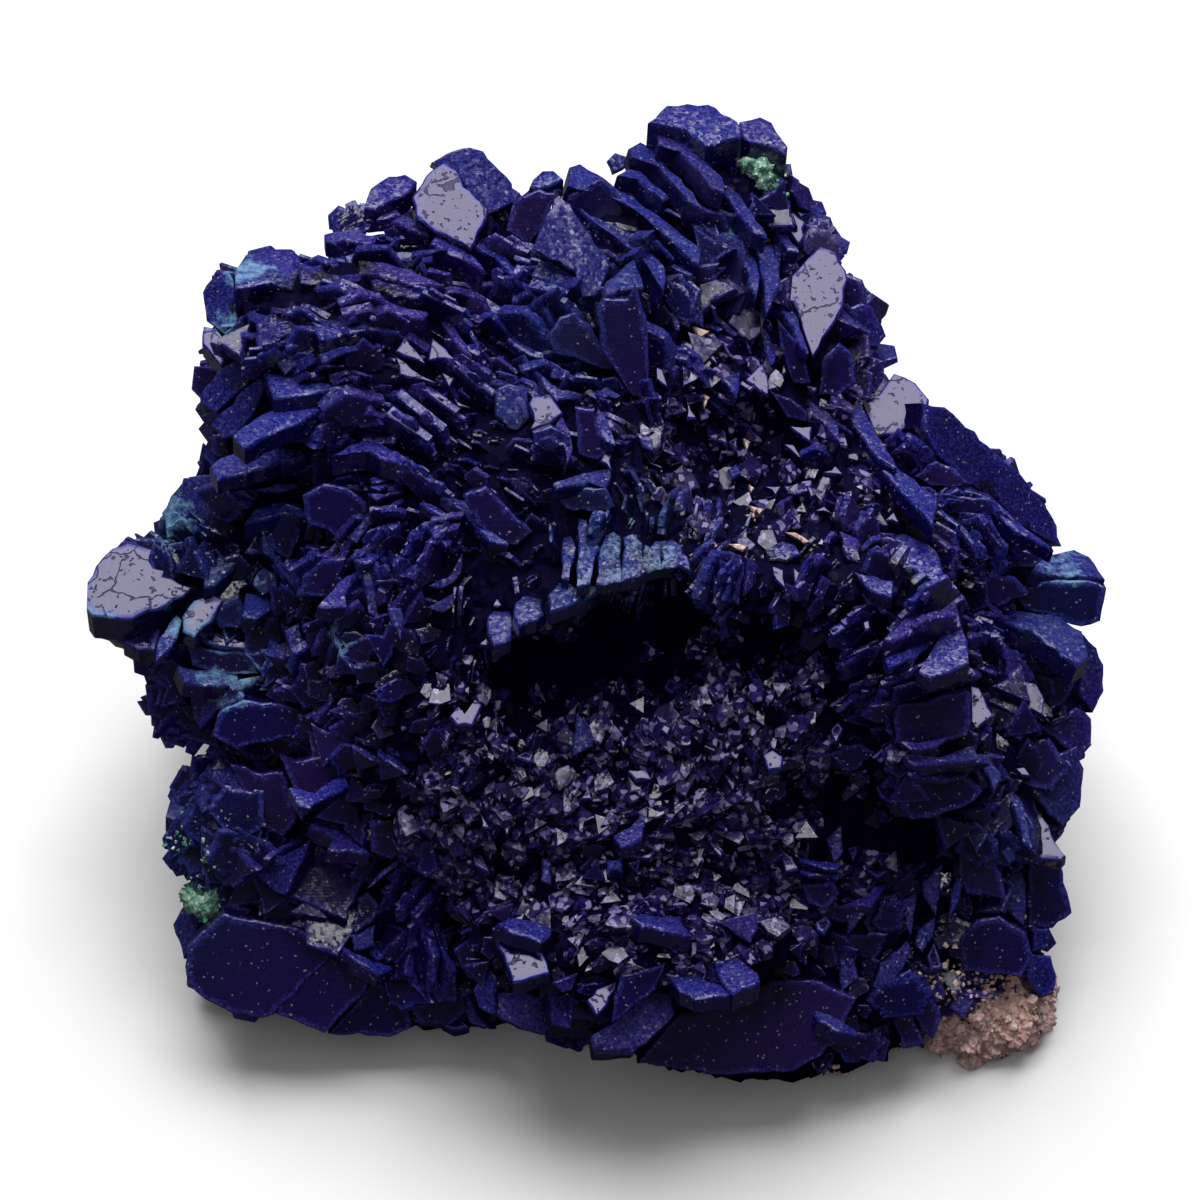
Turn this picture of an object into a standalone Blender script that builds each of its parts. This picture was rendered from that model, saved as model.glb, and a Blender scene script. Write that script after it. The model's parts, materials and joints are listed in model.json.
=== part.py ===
"""Azurite specimen: a loose cluster of intergrown azurite blades, standing on the flat break it was
taken off the rock at, with a remnant of the host rock at one corner and two crusts of malachite.

The show face, the side that the crystals open towards, leans back. Places on it are given in
millimetres as (across, up, out): across to the right, up the face, and out of it.
"""

import math
import random

import bmesh
import bpy
from mathutils import Matrix, Vector
from mathutils.bvhtree import BVHTree

MM = 0.001
SEED = 7

# Driving dimensions
SHOW_FACE_ELEVATION = math.radians(48)  # how far above the horizon the show face looks
FACE_CENTRE_HEIGHT = 20.4  # mm, the middle of the show face above the surface it stands on
SLIVER = 0.02  # mm, edges shorter than this are merged
GAP = 0.3  # mm, between the azurite and the other minerals set into it
CORE_VOXEL = 1.0  # mm
CORE_FACES = 480
BASE_CUT_SIZE = 120.0  # mm
FAR_BLADES = 120  # tried all round; those that face the show side are left out
FAR_SIDE_LIMIT = -0.1
GOLDEN_ANGLE = math.pi * (3 - math.sqrt(5))

AZURITE_BLUE = (0.012, 0.010, 0.07)
# Other minerals set into the azurite: name, then (place, radii, roughness), colour and dullness
OTHER_MINERALS = (
    ("matrix_corner", ((20.4, -22.2, -6.6), (3.6, 2.9, 4.2), 0.10), (0.20, 0.13, 0.12), 0.9),
    ("malachite_peak", ((9.0, 22.0, -5.0), (0.95, 0.85, 1.3), 0.12), (0.10, 0.30, 0.20), 0.8),
    ("malachite_left", ((-20.1, -16.2, -2.8), (1.0, 0.75, 1.2), 0.12), (0.16, 0.28, 0.26), 0.8),
)

# The massive azurite under the crystals, as rounded lobes: centre (across, up, out), then radii, in mm
LOBES = (
    ((1.0, -2.8, -5.8), (19.5, 16.8, 15.5)),  # the main mass
    ((3.0, -13.0, -6.0), (17.0, 10.5, 9.5)),  # its foot, in front
    ((-1.0, -2.0, -17.0), (18.0, 13.0, 14.0)),  # its back
    ((-14.0, -2.4, -13.6), (8.0, 8.0, 10.0)),
    ((15.0, -2.0, -14.0), (8.4, 8.6, 10.0)),
    ((-12.0, 10.4, -3.0), (7.6, 6.8, 7.4)),  # upper left rosette
    ((-16.8, 14.0, -4.6), (2.8, 2.8, 4.4)),
    ((-6.8, 16.8, -6.5), (4.0, 3.8, 5.0)),
    ((1.2, 14.2, -4.6), (6.0, 5.6, 6.6)),  # the tall blades
    ((6.8, 18.6, -8.0), (4.6, 4.8, 5.6)),  # the peak
    ((11.0, 11.4, -7.0), (4.2, 5.8, 6.6)),
    ((18.6, 1.4, -6.6), (5.2, 6.2, 7.0)),  # right shoulder
    ((21.8, -6.4, -7.0), (3.6, 6.0, 6.0)),
    ((19.4, -10.4, -6.6), (5.0, 7.0, 7.4)),
    ((18.8, -18.0, -7.0), (4.6, 5.0, 6.0)),
    ((-20.0, -0.4, -5.0), (5.0, 3.8, 5.6)),  # left lobe
    ((-18.4, -5.2, -4.6), (4.2, 2.4, 5.2)),
    ((-17.6, -12.4, -5.0), (3.8, 3.6, 6.2)),
    ((-15.0, -18.2, -6.0), (5.6, 4.4, 5.6)),
    ((-1.6, -1.4, 8.0), (3.2, 1.8, 3.0)),  # the crest, from left to right
    ((3.0, 0.0, 8.6), (3.4, 1.9, 3.2)),
    ((8.4, -0.4, 8.0), (3.6, 1.8, 3.2)),
    ((13.4, -0.4, 6.4), (3.4, 2.6, 3.4)),
    ((16.4, -3.4, 4.8), (3.4, 3.2, 4.0)),
    ((17.4, -8.2, 3.6), (3.0, 2.6, 3.6)),
    ((2.0, -18.4, 2.6), (9.0, 3.4, 4.6)),  # front sill
    ((9.2, -20.4, -4.2), (10.0, 5.6, 5.6)),
    ((-7.6, -19.0, -6.4), (8.0, 4.4, 5.6)),
)

# Open hollows cut into the lobes
HOLLOWS = (
    ((8.6, 7.2, 9.0), (6.4, 5.0, 7.2)),  # the hollow above the crest
    ((-0.6, -4.2, 10.2), (6.2, 2.1, 6.0)),  # under the crest
    ((7.4, -3.6, 10.2), (4.8, 1.7, 5.2)),
    ((-0.6, -10.4, 14.0), (11.0, 5.4, 7.6)),  # the bowl below it
    ((10.4, -10.4, 8.2), (4.6, 1.2, 4.6)),  # under the ledge
    ((-17.4, -8.5, 1.4), (5.4, 0.9, 4.2)),
    ((-5.2, 16.6, 1.6), (0.9, 3.6, 4.4)),
)

# Single blades: across, up, trace, lean, length, depth, thickness, lift.
# Trace is the angle of the blade's long edge on the show face. Lean is 0 where the blade lies flat on
# the face, and positive where the edge above its trace comes forward. Lift is how far the middle of the
# blade stands off the massive azurite.
BLADES = (
    # upper left rosette
    (-12.6, 18.1, -6, 62, 3.4, 3.4, 1.0, 0.4),
    (-12.2, 17.1, -9, 62, 3.6, 3.6, 1.0, 0.6),
    (-9.8, 18.0, -5, 60, 3.0, 3.2, 0.9, 0.6),
    (-10.6, 16.4, -12, 62, 4.2, 3.6, 0.9, 0.7),
    (-9.5, 15.2, -14, 62, 4.4, 3.4, 0.9, 0.7),
    (-17.0, 15.7, -12, 48, 3.8, 3.8, 2.3, 0.4),
    (-14.0, 15.0, -22, 50, 4.4, 4.0, 2.1, 0.5),
    (-19.3, 14.8, 82, -40, 3.4, 3.4, 1.5, -0.4),
    (-15.6, 13.0, 12, 56, 3.2, 3.4, 1.5, 0.8),
    (-12.4, 13.2, -4, 54, 4.6, 3.8, 1.6, 0.8),
    (-19.1, 12.9, -45, -25, 2.8, 1.9, 1.0, -0.2),
    (-18.4, 11.2, 55, -45, 3.4, 3.2, 1.3, -0.3),
    (-16.2, 11.6, 10, 60, 3.4, 3.2, 0.8, 0.5),
    (-15.0, 10.6, -6, 62, 5.0, 3.4, 0.9, 0.7),
    (-18.7, 9.2, 60, -35, 3.0, 3.0, 1.1, -0.3),
    (-16.0, 8.9, 20, 58, 5.6, 3.6, 1.2, 0.7),
    (-14.2, 9.0, 24, 46, 3.4, 3.2, 1.3, 0.9),
    (-16.8, 7.1, 18, 60, 5.6, 3.4, 0.9, 0.5),
    (-17.2, 6.1, 16, 60, 5.0, 3.2, 0.9, 0.3),
    (-16.4, 4.2, 24, 38, 4.4, 3.8, 1.2, 0.7),
    (-13.6, 5.2, 14, 48, 4.0, 3.4, 1.0, 0.7),
    (-12.2, 7.3, 28, 58, 4.6, 3.2, 0.8, 0.6),
    # top left
    (-7.5, 19.8, -50, -22, 4.6, 4.2, 1.8, 0.4),
    (-5.9, 21.0, -35, -5, 4.4, 4.0, 2.0, -0.8),
    (-10.2, 20.6, 20, -15, 3.4, 2.6, 1.6, -0.7),
    (-12.4, 19.1, 30, -10, 2.4, 2.2, 1.4, -0.4),
    # tall blades and the peak
    (-1.1, 18.1, -75, 10, 5.0, 3.9, 1.3, 1.3),
    (2.4, 19.4, -38, 60, 8.2, 4.4, 1.1, 0.7),
    (1.6, 17.7, -36, 58, 6.6, 3.8, 0.8, 0.9),
    (3.4, 20.9, -40, 60, 4.6, 3.8, 1.0, 0.2),
    (4.3, 20.9, -48, 58, 6.8, 4.0, 1.3, 0.0),
    (5.6, 21.7, -48, 56, 5.8, 4.0, 1.3, -0.1),
    (7.2, 19.8, -60, 52, 6.4, 3.8, 1.3, 0.0),
    (7.3, 16.6, -75, 32, 5.0, 2.8, 1.3, 0.6),
    (8.9, 17.1, -82, 48, 5.0, 3.2, 1.1, 0.4),
    (9.7, 17.5, -80, 48, 4.4, 3.0, 1.0, 0.1),
    (2.1, 13.6, -84, 36, 7.2, 3.2, 1.5, 1.3),
    (-1.2, 14.2, -45, 43, 4.2, 3.4, 1.0, 1.1),
    (-0.6, 12.4, -50, 48, 4.2, 3.4, 0.9, 0.9),
    (-4.0, 17.1, -35, 50, 3.6, 3.2, 1.0, 0.5),
    (-3.9, 15.1, -30, 48, 3.4, 3.2, 1.0, 0.6),
    (-3.0, 20.4, 25, -10, 2.8, 2.6, 1.4, -0.6),
    (-2.6, 19.3, 50, 38, 3.0, 3.0, 1.1, 0.1),
    (5.4, 24.0, 20, -25, 5.0, 3.4, 2.4, -0.9),
    (8.6, 23.5, -40, -15, 3.0, 2.8, 2.2, -0.9),
    (10.8, 20.7, -65, -10, 3.0, 2.4, 1.6, -0.6),
    (9.7, 20.3, -55, -22, 2.2, 1.9, 1.1, 0.1),
    (10.8, 19.0, -50, -22, 2.4, 2.0, 1.1, 0.2),
    (12.0, 18.0, -60, -5, 3.0, 2.6, 1.4, -0.3),
    # right of the hollow
    (11.5, 15.2, -62, -20, 5.4, 3.6, 1.5, 0.6),
    (10.2, 13.9, -60, 38, 3.0, 2.6, 1.1, 0.7),
    (12.6, 11.7, -62, 33, 3.4, 2.8, 1.9, 0.5),
    (14.2, 12.9, -60, 10, 4.0, 2.8, 1.8, -0.1),
    (15.0, 12.2, -60, 20, 4.0, 2.4, 1.4, -0.3),
    (16.0, 9.3, -25, -20, 3.8, 3.0, 1.5, 0.2),
    (19.0, 7.6, -46, -12, 6.4, 4.0, 2.0, -0.6),
    (21.4, 4.8, -48, -10, 6.6, 3.6, 2.0, -0.6),
    (18.2, 5.8, -10, 38, 4.0, 3.0, 1.0, 0.3),
    (16.6, 6.9, -30, 43, 3.0, 2.6, 1.0, 0.4),
    # the crest's right end
    (16.4, 2.0, -28, -35, 4.6, 3.4, 1.0, 0.6),
    (14.3, 1.2, -20, -30, 3.4, 3.2, 1.0, 0.6),
    (18.7, -2.1, 86, -30, 4.2, 2.2, 1.1, 0.6),
    (17.6, -6.7, -4, -12, 4.4, 3.0, 2.0, 0.8),
    (20.3, -6.0, -70, -25, 3.4, 1.6, 1.0, 0.6),
    (17.8, -10.6, -5, 33, 5.0, 3.2, 0.9, 0.4),
    # right side
    (24.2, 0.4, 8, -30, 5.6, 3.4, 2.4, -0.1),
    (23.2, -2.8, -32, -30, 5.8, 3.6, 1.4, 0.0),
    (25.7, -4.3, -80, 0, 3.6, 2.6, 1.6, -0.6),
    (21.8, -4.4, -45, -15, 3.6, 3.4, 1.1, 0.4),
    (24.7, -7.7, -60, -5, 3.4, 3.2, 1.4, -0.2),
    (23.9, -10.0, -62, 0, 5.0, 4.0, 1.6, 0.0),
    (24.0, -12.9, -60, -20, 3.2, 2.4, 1.2, 0.2),
    (22.4, -11.6, -72, 28, 6.2, 2.8, 1.0, 0.5),
    (24.0, -16.2, -20, 5, 3.2, 3.2, 2.0, -0.4),
    (22.3, -16.4, -65, 23, 4.0, 2.8, 1.5, 0.1),
    (22.2, -19.0, -15, 10, 4.6, 3.4, 2.2, -0.2),
    (20.4, -17.0, -80, 33, 3.6, 2.6, 1.1, 0.3),
    (20.4, -13.2, -40, 23, 3.6, 3.2, 1.3, 0.3),
    # left side
    (-23.6, 0.3, 20, -22, 5.4, 3.9, 2.2, 0.0),
    (-22.4, -2.3, -20, -15, 2.4, 2.4, 1.8, 0.1),
    (-19.6, -1.9, -30, -22, 3.8, 2.4, 2.0, 0.5),
    (-21.1, 4.3, 35, -8, 3.6, 3.0, 1.6, -0.5),
    (-20.0, 1.2, -15, -20, 2.8, 2.2, 1.4, 0.1),
    (-17.0, 1.9, 75, 20, 2.6, 2.4, 1.3, 0.6),
    (-16.9, -0.4, 70, 15, 3.0, 2.6, 1.7, 0.6),
    (-13.1, -0.4, 55, 38, 3.0, 2.6, 1.0, 0.8),
    (-15.2, -2.7, 40, 28, 2.6, 2.4, 1.3, 0.6),
    (-10.3, -1.6, -60, 20, 2.6, 2.0, 1.0, 0.8),
    (-11.0, 0.6, -70, 38, 2.8, 2.4, 0.9, 0.8),
    (-18.2, -5.8, -5, 23, 5.4, 3.6, 2.8, 0.2),
    (-15.2, -6.2, -20, 20, 2.6, 2.6, 1.5, 0.2),
    (-21.9, -6.6, -60, -10, 4.4, 3.0, 2.2, -0.6),
    (-21.8, -4.2, -40, -5, 3.0, 2.8, 2.0, -0.4),
    # lower left
    (-20.9, -10.6, 60, -20, 2.8, 2.4, 1.6, -0.5),
    (-19.9, -10.4, 80, 10, 2.4, 2.0, 1.5, 0.2),
    (-17.4, -10.7, -60, 28, 3.6, 2.8, 1.3, 0.3),
    (-18.6, -11.0, -58, 33, 3.4, 2.6, 0.9, 0.2),
    (-14.6, -9.9, 10, 28, 3.4, 3.0, 1.9, 0.4),
    (-14.3, -15.0, -18, -6, 6.2, 4.2, 1.6, 0.7),
    (-12.8, -12.9, -42, 10, 3.2, 2.1, 1.0, 0.8),
    (-11.6, -17.0, 72, 10, 3.9, 1.8, 1.1, 0.8),
    (-17.0, -19.4, -12, 12, 8.2, 5.2, 2.6, -0.2),
    (-13.9, -20.5, -50, 14, 5.0, 3.8, 2.2, -0.3),
    (-11.6, -21.4, -5, 26, 5.2, 3.0, 2.4, -0.4),
    (-7.6, -21.6, -8, 24, 4.4, 3.0, 2.0, -0.3),
    (-21.0, -17.4, 80, 0, 3.4, 2.2, 1.8, -0.4),
    (-20.6, -13.6, 80, 5, 3.6, 2.6, 2.0, -0.3),
    (-18.5, -14.0, -10, 23, 3.2, 2.8, 1.5, 0.2),
    # front foot
    (-3.6, -18.6, -68, -25, 3.5, 2.8, 1.3, 1.0),
    (-3.7, -21.0, 0, 5, 5.2, 3.2, 2.2, 0.5),
    (2.0, -22.2, 48, 13, 6.8, 4.6, 2.0, 0.3),
    (5.6, -20.2, 35, -5, 5.6, 3.8, 1.6, 0.5),
    (8.2, -22.4, 10, 20, 8.0, 4.4, 2.0, 0.2),
    (12.2, -22.4, -38, 12, 3.8, 3.4, 2.4, 0.4),
    (-1.0, -23.0, -18, 28, 3.6, 2.2, 1.5, 0.0),
    (12.6, -15.9, -8, 15, 3.0, 2.6, 1.5, 0.6),
    (15.2, -17.0, 65, 20, 2.8, 2.4, 1.1, 0.7),
    (16.7, -16.0, 70, 23, 3.0, 2.4, 1.1, 0.7),
    (17.8, -14.8, 72, 23, 3.2, 2.2, 1.0, 0.5),
    (17.2, -17.8, 60, 20, 2.6, 2.2, 1.1, 0.6),
    (15.0, -19.6, 65, 15, 2.8, 2.4, 1.1, 0.6),
    (16.0, -21.0, 10, 18, 3.4, 2.4, 1.7, 0.4),
    (17.8, -21.6, -50, 10, 3.2, 2.8, 1.5, 0.2),
    (14.0, -23.6, 0, 18, 3.4, 2.4, 1.8, -0.1),
    (8.4, -17.8, -15, 15, 2.6, 2.2, 1.3, 0.6),
    (2.5, -17.6, -5, 38, 4.0, 2.6, 1.1, 0.7),
)

# Stacks of thin blades, like the pages of an open book: first and last place (across, up), then the first
# and last trace and lean, then length, depth, thickness of a blade, how many, and lift.
BOOKS = (
    ((-10.8, 6.2), (-6.2, 10.2), (-38, -42), (62, 62), 4.5, 3.2, 1.0, 4, 0.7),
    ((-10.3, 5.8), (-10.2, 3.6), (-4, -4), (66, 66), 2.4, 2.4, 0.9, 2, 0.6),
    ((-7.6, 14.2), (-6.4, 10.8), (-30, -34), (58, 60), 3.2, 3.0, 1.0, 3, 0.7),
    ((-8.2, 4.8), (-5.2, 2.8), (-45, -30), (58, 55), 4.4, 3.0, 1.0, 3, 0.7),
    ((-4.8, -1.4), (-0.4, 0.2), (80, 75), (68, 68), 2.2, 3.2, 1.1, 3, 0.6),
    ((-1.2, 1.4), (0.4, 2.4), (70, 85), (62, 66), 3.4, 3.2, 1.0, 2, 0.7),
    ((1.4, 1.5), (4.8, 1.3), (80, 96), (66, 66), 2.8, 3.6, 1.2, 3, 0.8),
    ((6.2, 0.4), (8.2, 0.2), (72, 66), (62, 62), 2.8, 3.2, 1.0, 2, 0.7),
    ((9.8, 0.4), (12.4, 0.3), (68, 60), (62, 62), 2.6, 3.2, 1.0, 2, 0.7),
    ((16.8, -0.4), (16.6, -4.8), (48, 18), (62, 58), 4.5, 3.2, 1.0, 4, 0.7),
    ((13.4, -2.0), (14.4, -5.2), (40, 10), (60, 58), 3.2, 2.8, 1.0, 2, 0.6),
    ((17.8, -9.0), (17.8, -9.0), (0, 0), (62, 62), 4.8, 2.6, 1.2, 1, 0.7),
    ((-20.6, 2.6), (-19.6, 3.7), (-38, -38), (56, 56), 3.6, 2.8, 1.0, 2, 0.2),
    ((-11.4, 2.4), (-7.8, 1.6), (38, 66), (58, 58), 2.9, 2.6, 0.9, 3, 0.7),
    ((-9.4, -18.4), (-7.0, -19.4), (-82, -62), (56, 54), 4.6, 2.8, 1.0, 3, 0.6),
    ((-9.6, -15.4), (-8.0, -16.4), (42, 50), (54, 54), 3.4, 2.6, 1.0, 2, 0.6),
    ((19.4, 1.9), (21.2, 2.8), (-62, -58), (56, 56), 3.4, 2.8, 1.0, 2, 0.5),
    ((20.0, -1.8), (20.4, -3.0), (-20, -20), (56, 56), 2.8, 2.6, 1.0, 2, 0.5),
    ((0.5, 8.8), (1.0, 6.8), (-36, -36), (56, 56), 2.6, 2.6, 1.0, 2, 0.8),
    ((-2.1, 9.0), (-1.9, 6.8), (-8, -5), (48, 60), 2.2, 2.6, 1.1, 2, 0.9),
)

# Patches of small crystals turned every way: middle and half-widths on the show face, how many, and size
DRUSES = (
    ((9.2, 7.6), (6.0, 4.6), 20, 2.4),  # the hollow
    ((0.0, -8.6), (10.0, 3.6), 18, 2.6),  # the bowl
    ((2.0, -14.2), (12.0, 2.8), 18, 2.6),
    ((-3.6, 11.4), (3.0, 3.0), 6, 2.6),
    ((-2.6, 5.0), (3.2, 2.2), 5, 2.4),
    ((-8.4, -4.6), (2.6, 3.4), 5, 2.4),
    ((4.6, 13.2), (1.8, 2.6), 3, 2.2),
)


def face_frame():
    """The show face as a matrix: millimetres across, up and out of it, to metres in the specimen's frame."""
    rise, run = math.sin(SHOW_FACE_ELEVATION), math.cos(SHOW_FACE_ELEVATION)
    axes = Matrix(((1, 0, 0), (0, rise, -run), (0, run, rise))).to_4x4()
    return Matrix.Scale(MM, 4) @ Matrix.Translation((0, 0, FACE_CENTRE_HEIGHT)) @ axes


FACE = face_frame()


def clear_scene():
    for obj in list(bpy.data.objects):
        bpy.data.objects.remove(obj)


def new_object(name, mesh, collection):
    obj = bpy.data.objects.new(name, mesh)
    collection.objects.link(obj)
    return obj


def new_collection(name):
    collection = bpy.data.collections.new(name)
    bpy.context.scene.collection.children.link(collection)
    return collection


def mesh_of(obj):
    """The object's mesh as its modifiers leave it, on its own."""
    bpy.context.view_layer.update()
    graph = bpy.context.evaluated_depsgraph_get()
    return bpy.data.meshes.new_from_object(obj.evaluated_get(graph), depsgraph=graph)


def settle(obj):
    """Applies the object's modifiers."""
    mesh = mesh_of(obj)
    obj.modifiers.clear()
    obj.data = mesh
    return obj


def balls(name, shapes, collection, divisions=3):
    """One mesh of overlapping ellipsoids, each a centre and radii on the show face."""
    bm = bmesh.new()
    for centre, radii in shapes:
        place = FACE @ Matrix.Translation(centre) @ Matrix.Diagonal((*radii, 1))
        bmesh.ops.create_icosphere(bm, subdivisions=divisions, radius=1, matrix=place)
    mesh = bpy.data.meshes.new(name)
    bm.to_mesh(mesh)
    bm.free()
    return new_object(name, mesh, collection)


def fuse(obj, voxel):
    """Overlapping closed shapes become one closed surface."""
    remesh = obj.modifiers.new("fuse", "REMESH")
    remesh.mode = "VOXEL"
    remesh.voxel_size = voxel * MM
    return obj


def boolean(obj, operation, other):
    cut = obj.modifiers.new(operation.lower(), "BOOLEAN")
    cut.operation = operation
    cut.solver = "EXACT"
    if isinstance(other, bpy.types.Collection):
        cut.operand_type = "COLLECTION"
        cut.collection = other
    else:
        cut.object = other
    return obj


def core(collection):
    """The massive azurite that the crystals stand on."""
    body = settle(fuse(balls("core", LOBES, collection), CORE_VOXEL))
    hollows = settle(fuse(balls("hollows", HOLLOWS, collection), CORE_VOXEL / 2))
    settle(boolean(body, "DIFFERENCE", hollows))
    bpy.data.objects.remove(hollows)
    fuse(body, CORE_VOXEL)
    smooth = body.modifiers.new("smooth", "SMOOTH")
    smooth.factor = 0.5
    smooth.iterations = 3
    settle(body)
    thin = body.modifiers.new("thin", "DECIMATE")
    thin.ratio = CORE_FACES / (2 * len(body.data.polygons))
    return settle(body)


LONG_HEXAGON = ((8, 1.0), (58, 1.06), (122, 1.06), (180, 1.0), (236, 1.04), (304, 1.04))
STEEP = 30  # degrees of lean past which a blade shows its edge more than its face
SLAT = ((14, 1.0), (66, 1.08), (138, 1.08), (204, 1.1), (328, 1.16))
WEDGE = ((35, 1.1), (150, 1.1), (215, 1.2), (325, 1.2))


def outline(rng, length, breadth, corners_at):
    """Corners of a tabular azurite crystal seen face on."""
    corners = []
    for angle, reach in corners_at:
        turn = math.radians(angle + rng.uniform(-9, 9))
        reach *= rng.uniform(0.94, 1.04)
        corners.append((0.5 * length * reach * math.cos(turn), 0.5 * breadth * reach * math.sin(turn)))
    return corners


def blade_mesh(name, rng, length, breadth, thickness, corners_at=LONG_HEXAGON):
    """A flat-faced blade in millimetres, its large faces square to Z and its edges sloping a little."""
    corners = outline(rng, length, breadth, corners_at)
    bm = bmesh.new()
    taper = rng.uniform(0.82, 0.92)
    rings = []
    for height, grow in ((-0.5 * thickness, 1.0), (0.5 * thickness, taper)):
        rings.append([bm.verts.new((x * grow, y * grow, height)) for x, y in corners])
    bm.faces.new(reversed(rings[0]))
    bm.faces.new(rings[1])
    for here in range(len(corners)):
        after = (here + 1) % len(corners)
        bm.faces.new((rings[0][here], rings[0][after], rings[1][after], rings[1][here]))
    mesh = bpy.data.meshes.new(name)
    bm.to_mesh(mesh)
    bm.free()
    return mesh


def blade_axes(trace, lean):
    """A blade's turn on the show face: its X along the trace, its Y into the rock, its Z out of the blade."""
    along = Vector((math.cos(trace), math.sin(trace), 0))
    across = Vector((-math.sin(trace), math.cos(trace), 0))
    up = math.cos(lean) * across + math.sin(lean) * Vector((0, 0, 1))
    return Matrix((along, up, along.cross(up))).transposed().to_4x4()


def depth_at(tree, across, up):
    """How far out of the show face the massive azurite stands at one place on it, in mm."""
    start = FACE @ Vector((across, up, 60))
    aim = (FACE.to_3x3() @ Vector((0, 0, -1))).normalized()
    point = tree.ray_cast(start, aim)[0]
    if point is None:
        point = tree.find_nearest(FACE @ Vector((across, up, -4)))[0]
    return (FACE.inverted() @ point).z


def add_blade(tree, rng, collection, place, trace, lean, size, lift):
    across, up = place
    out = depth_at(tree, across, up) + lift
    corners_at = SLAT if abs(lean) > STEEP else LONG_HEXAGON
    mesh = blade_mesh("blade", rng, *size, corners_at)
    turn = blade_axes(math.radians(trace), math.radians(lean))
    mesh.transform(FACE @ Matrix.Translation((across, up, out)) @ turn)
    return new_object("blade", mesh, collection)


def mix(pair, share):
    return pair[0] + (pair[1] - pair[0]) * share


def add_book(tree, rng, collection, first, last, traces, leans, length, depth, thickness, count, lift):
    """A stack of parallel blades, stepped from the first place to the last."""
    for leaf in range(count):
        share = leaf / max(count - 1, 1)
        place = (mix((first[0], last[0]), share), mix((first[1], last[1]), share))
        size = (length * rng.uniform(0.88, 1.08), depth, thickness * rng.uniform(0.85, 1.1))
        trace = mix(traces, share) + rng.uniform(-3, 3)
        add_blade(tree, rng, collection, place, trace, mix(leans, share), size, lift)


def add_druse(tree, rng, collection, middle, spread, count, size):
    """Small wedge-shaped crystals scattered over an oval patch."""
    for grain in range(count):
        reach = math.sqrt((grain + 0.5) / count)
        swing = grain * GOLDEN_ANGLE
        across = middle[0] + spread[0] * reach * math.cos(swing) + rng.uniform(-0.4, 0.4)
        up = middle[1] + spread[1] * reach * math.sin(swing) + rng.uniform(-0.4, 0.4)
        length = size * rng.uniform(0.85, 1.25)
        mesh = blade_mesh("grain", rng, length, 0.9 * length, 0.45 * length, WEDGE)
        turn = blade_axes(rng.uniform(0, math.tau), math.radians(rng.uniform(20, 70)))
        out = depth_at(tree, across, up) + 0.25
        mesh.transform(FACE @ Matrix.Translation((across, up, out)) @ turn)
        new_object("grain", mesh, collection)


def add_far_side(tree, rng, collection):
    """Blades on the back, the ends and under the overhang, where the show face's list doesn't reach."""
    middle = FACE @ Vector((0.5, -1.0, -8.0))
    show = FACE.to_3x3() @ Vector((0, 0, 1))
    show.normalize()
    for leaf in range(FAR_BLADES):
        height = 1 - 2 * (leaf + 0.5) / FAR_BLADES
        swing = leaf * GOLDEN_ANGLE
        flat = math.sqrt(1 - height * height)
        aim = Vector((flat * math.cos(swing), flat * math.sin(swing), height))
        if aim.dot(show) > FAR_SIDE_LIMIT or aim.z < -0.25:
            continue
        point, normal = tree.ray_cast(middle + aim * 0.08, -aim)[:2]
        if point is None or point.z < 1.5 * MM:
            continue
        spin = rng.uniform(0, math.pi)
        tip = normal.orthogonal().normalized()
        tip.rotate(Matrix.Rotation(spin, 3, normal))
        side = normal.cross(tip)
        grow = (normal * 0.9 + side * rng.uniform(-0.5, 0.5)).normalized()
        face = tip.cross(grow).normalized()
        turn = Matrix((tip, grow, face)).transposed().to_4x4()
        size = (rng.uniform(5.0, 7.5), rng.uniform(4.2, 5.6), rng.uniform(1.2, 2.0))
        mesh = blade_mesh("blade", rng, *size, SLAT)
        mesh.transform(Matrix.Translation(point + grow * 0.6 * MM) @ turn @ Matrix.Scale(MM, 4))
        new_object("blade", mesh, collection)


def lump(name, rng, centre, radii, roughness, collection, divisions=2):
    """A rough-faced lump of another mineral, as an ellipsoid with every corner pushed in or out."""
    body = balls(name, [(centre, radii)], collection, divisions)
    middle = FACE @ Vector(centre)
    for vert in body.data.vertices:
        vert.co = middle + (vert.co - middle) * (1 + rng.uniform(-roughness, roughness))
    return body


def grown(body, name, collection):
    """A copy of the body with its surface moved out by the gap, as the socket it sits in."""
    socket = new_object(name, body.data.copy(), collection)
    swell = socket.modifiers.new("gap", "DISPLACE")
    swell.strength = GAP * MM
    swell.mid_level = 0
    return settle(socket)


def base_cutter(collection):
    bpy.ops.mesh.primitive_cube_add(size=BASE_CUT_SIZE * MM, location=(0, 0, -BASE_CUT_SIZE * MM / 2))
    cutter = bpy.context.active_object
    cutter.name = "base_cut"
    for owner in list(cutter.users_collection):
        owner.objects.unlink(cutter)
    collection.objects.link(cutter)
    return cutter


def material(name, colour, roughness):
    made = bpy.data.materials.new(name)
    made.use_nodes = True
    shader = made.node_tree.nodes["Principled BSDF"]
    shader.inputs["Base Color"].default_value = (*colour, 1)
    shader.inputs["Roughness"].default_value = roughness
    made.diffuse_color = (*colour, 1)
    return made


def connected(start):
    """Every corner joined to this one by edges."""
    found, waiting = {start}, [start]
    while waiting:
        for edge in waiting.pop().link_edges:
            for vert in edge.verts:
                if vert not in found:
                    found.add(vert)
                    waiting.append(vert)
    return found


def neighbours(vert):
    return {edge.other_vert(vert) for edge in vert.link_edges}


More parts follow.
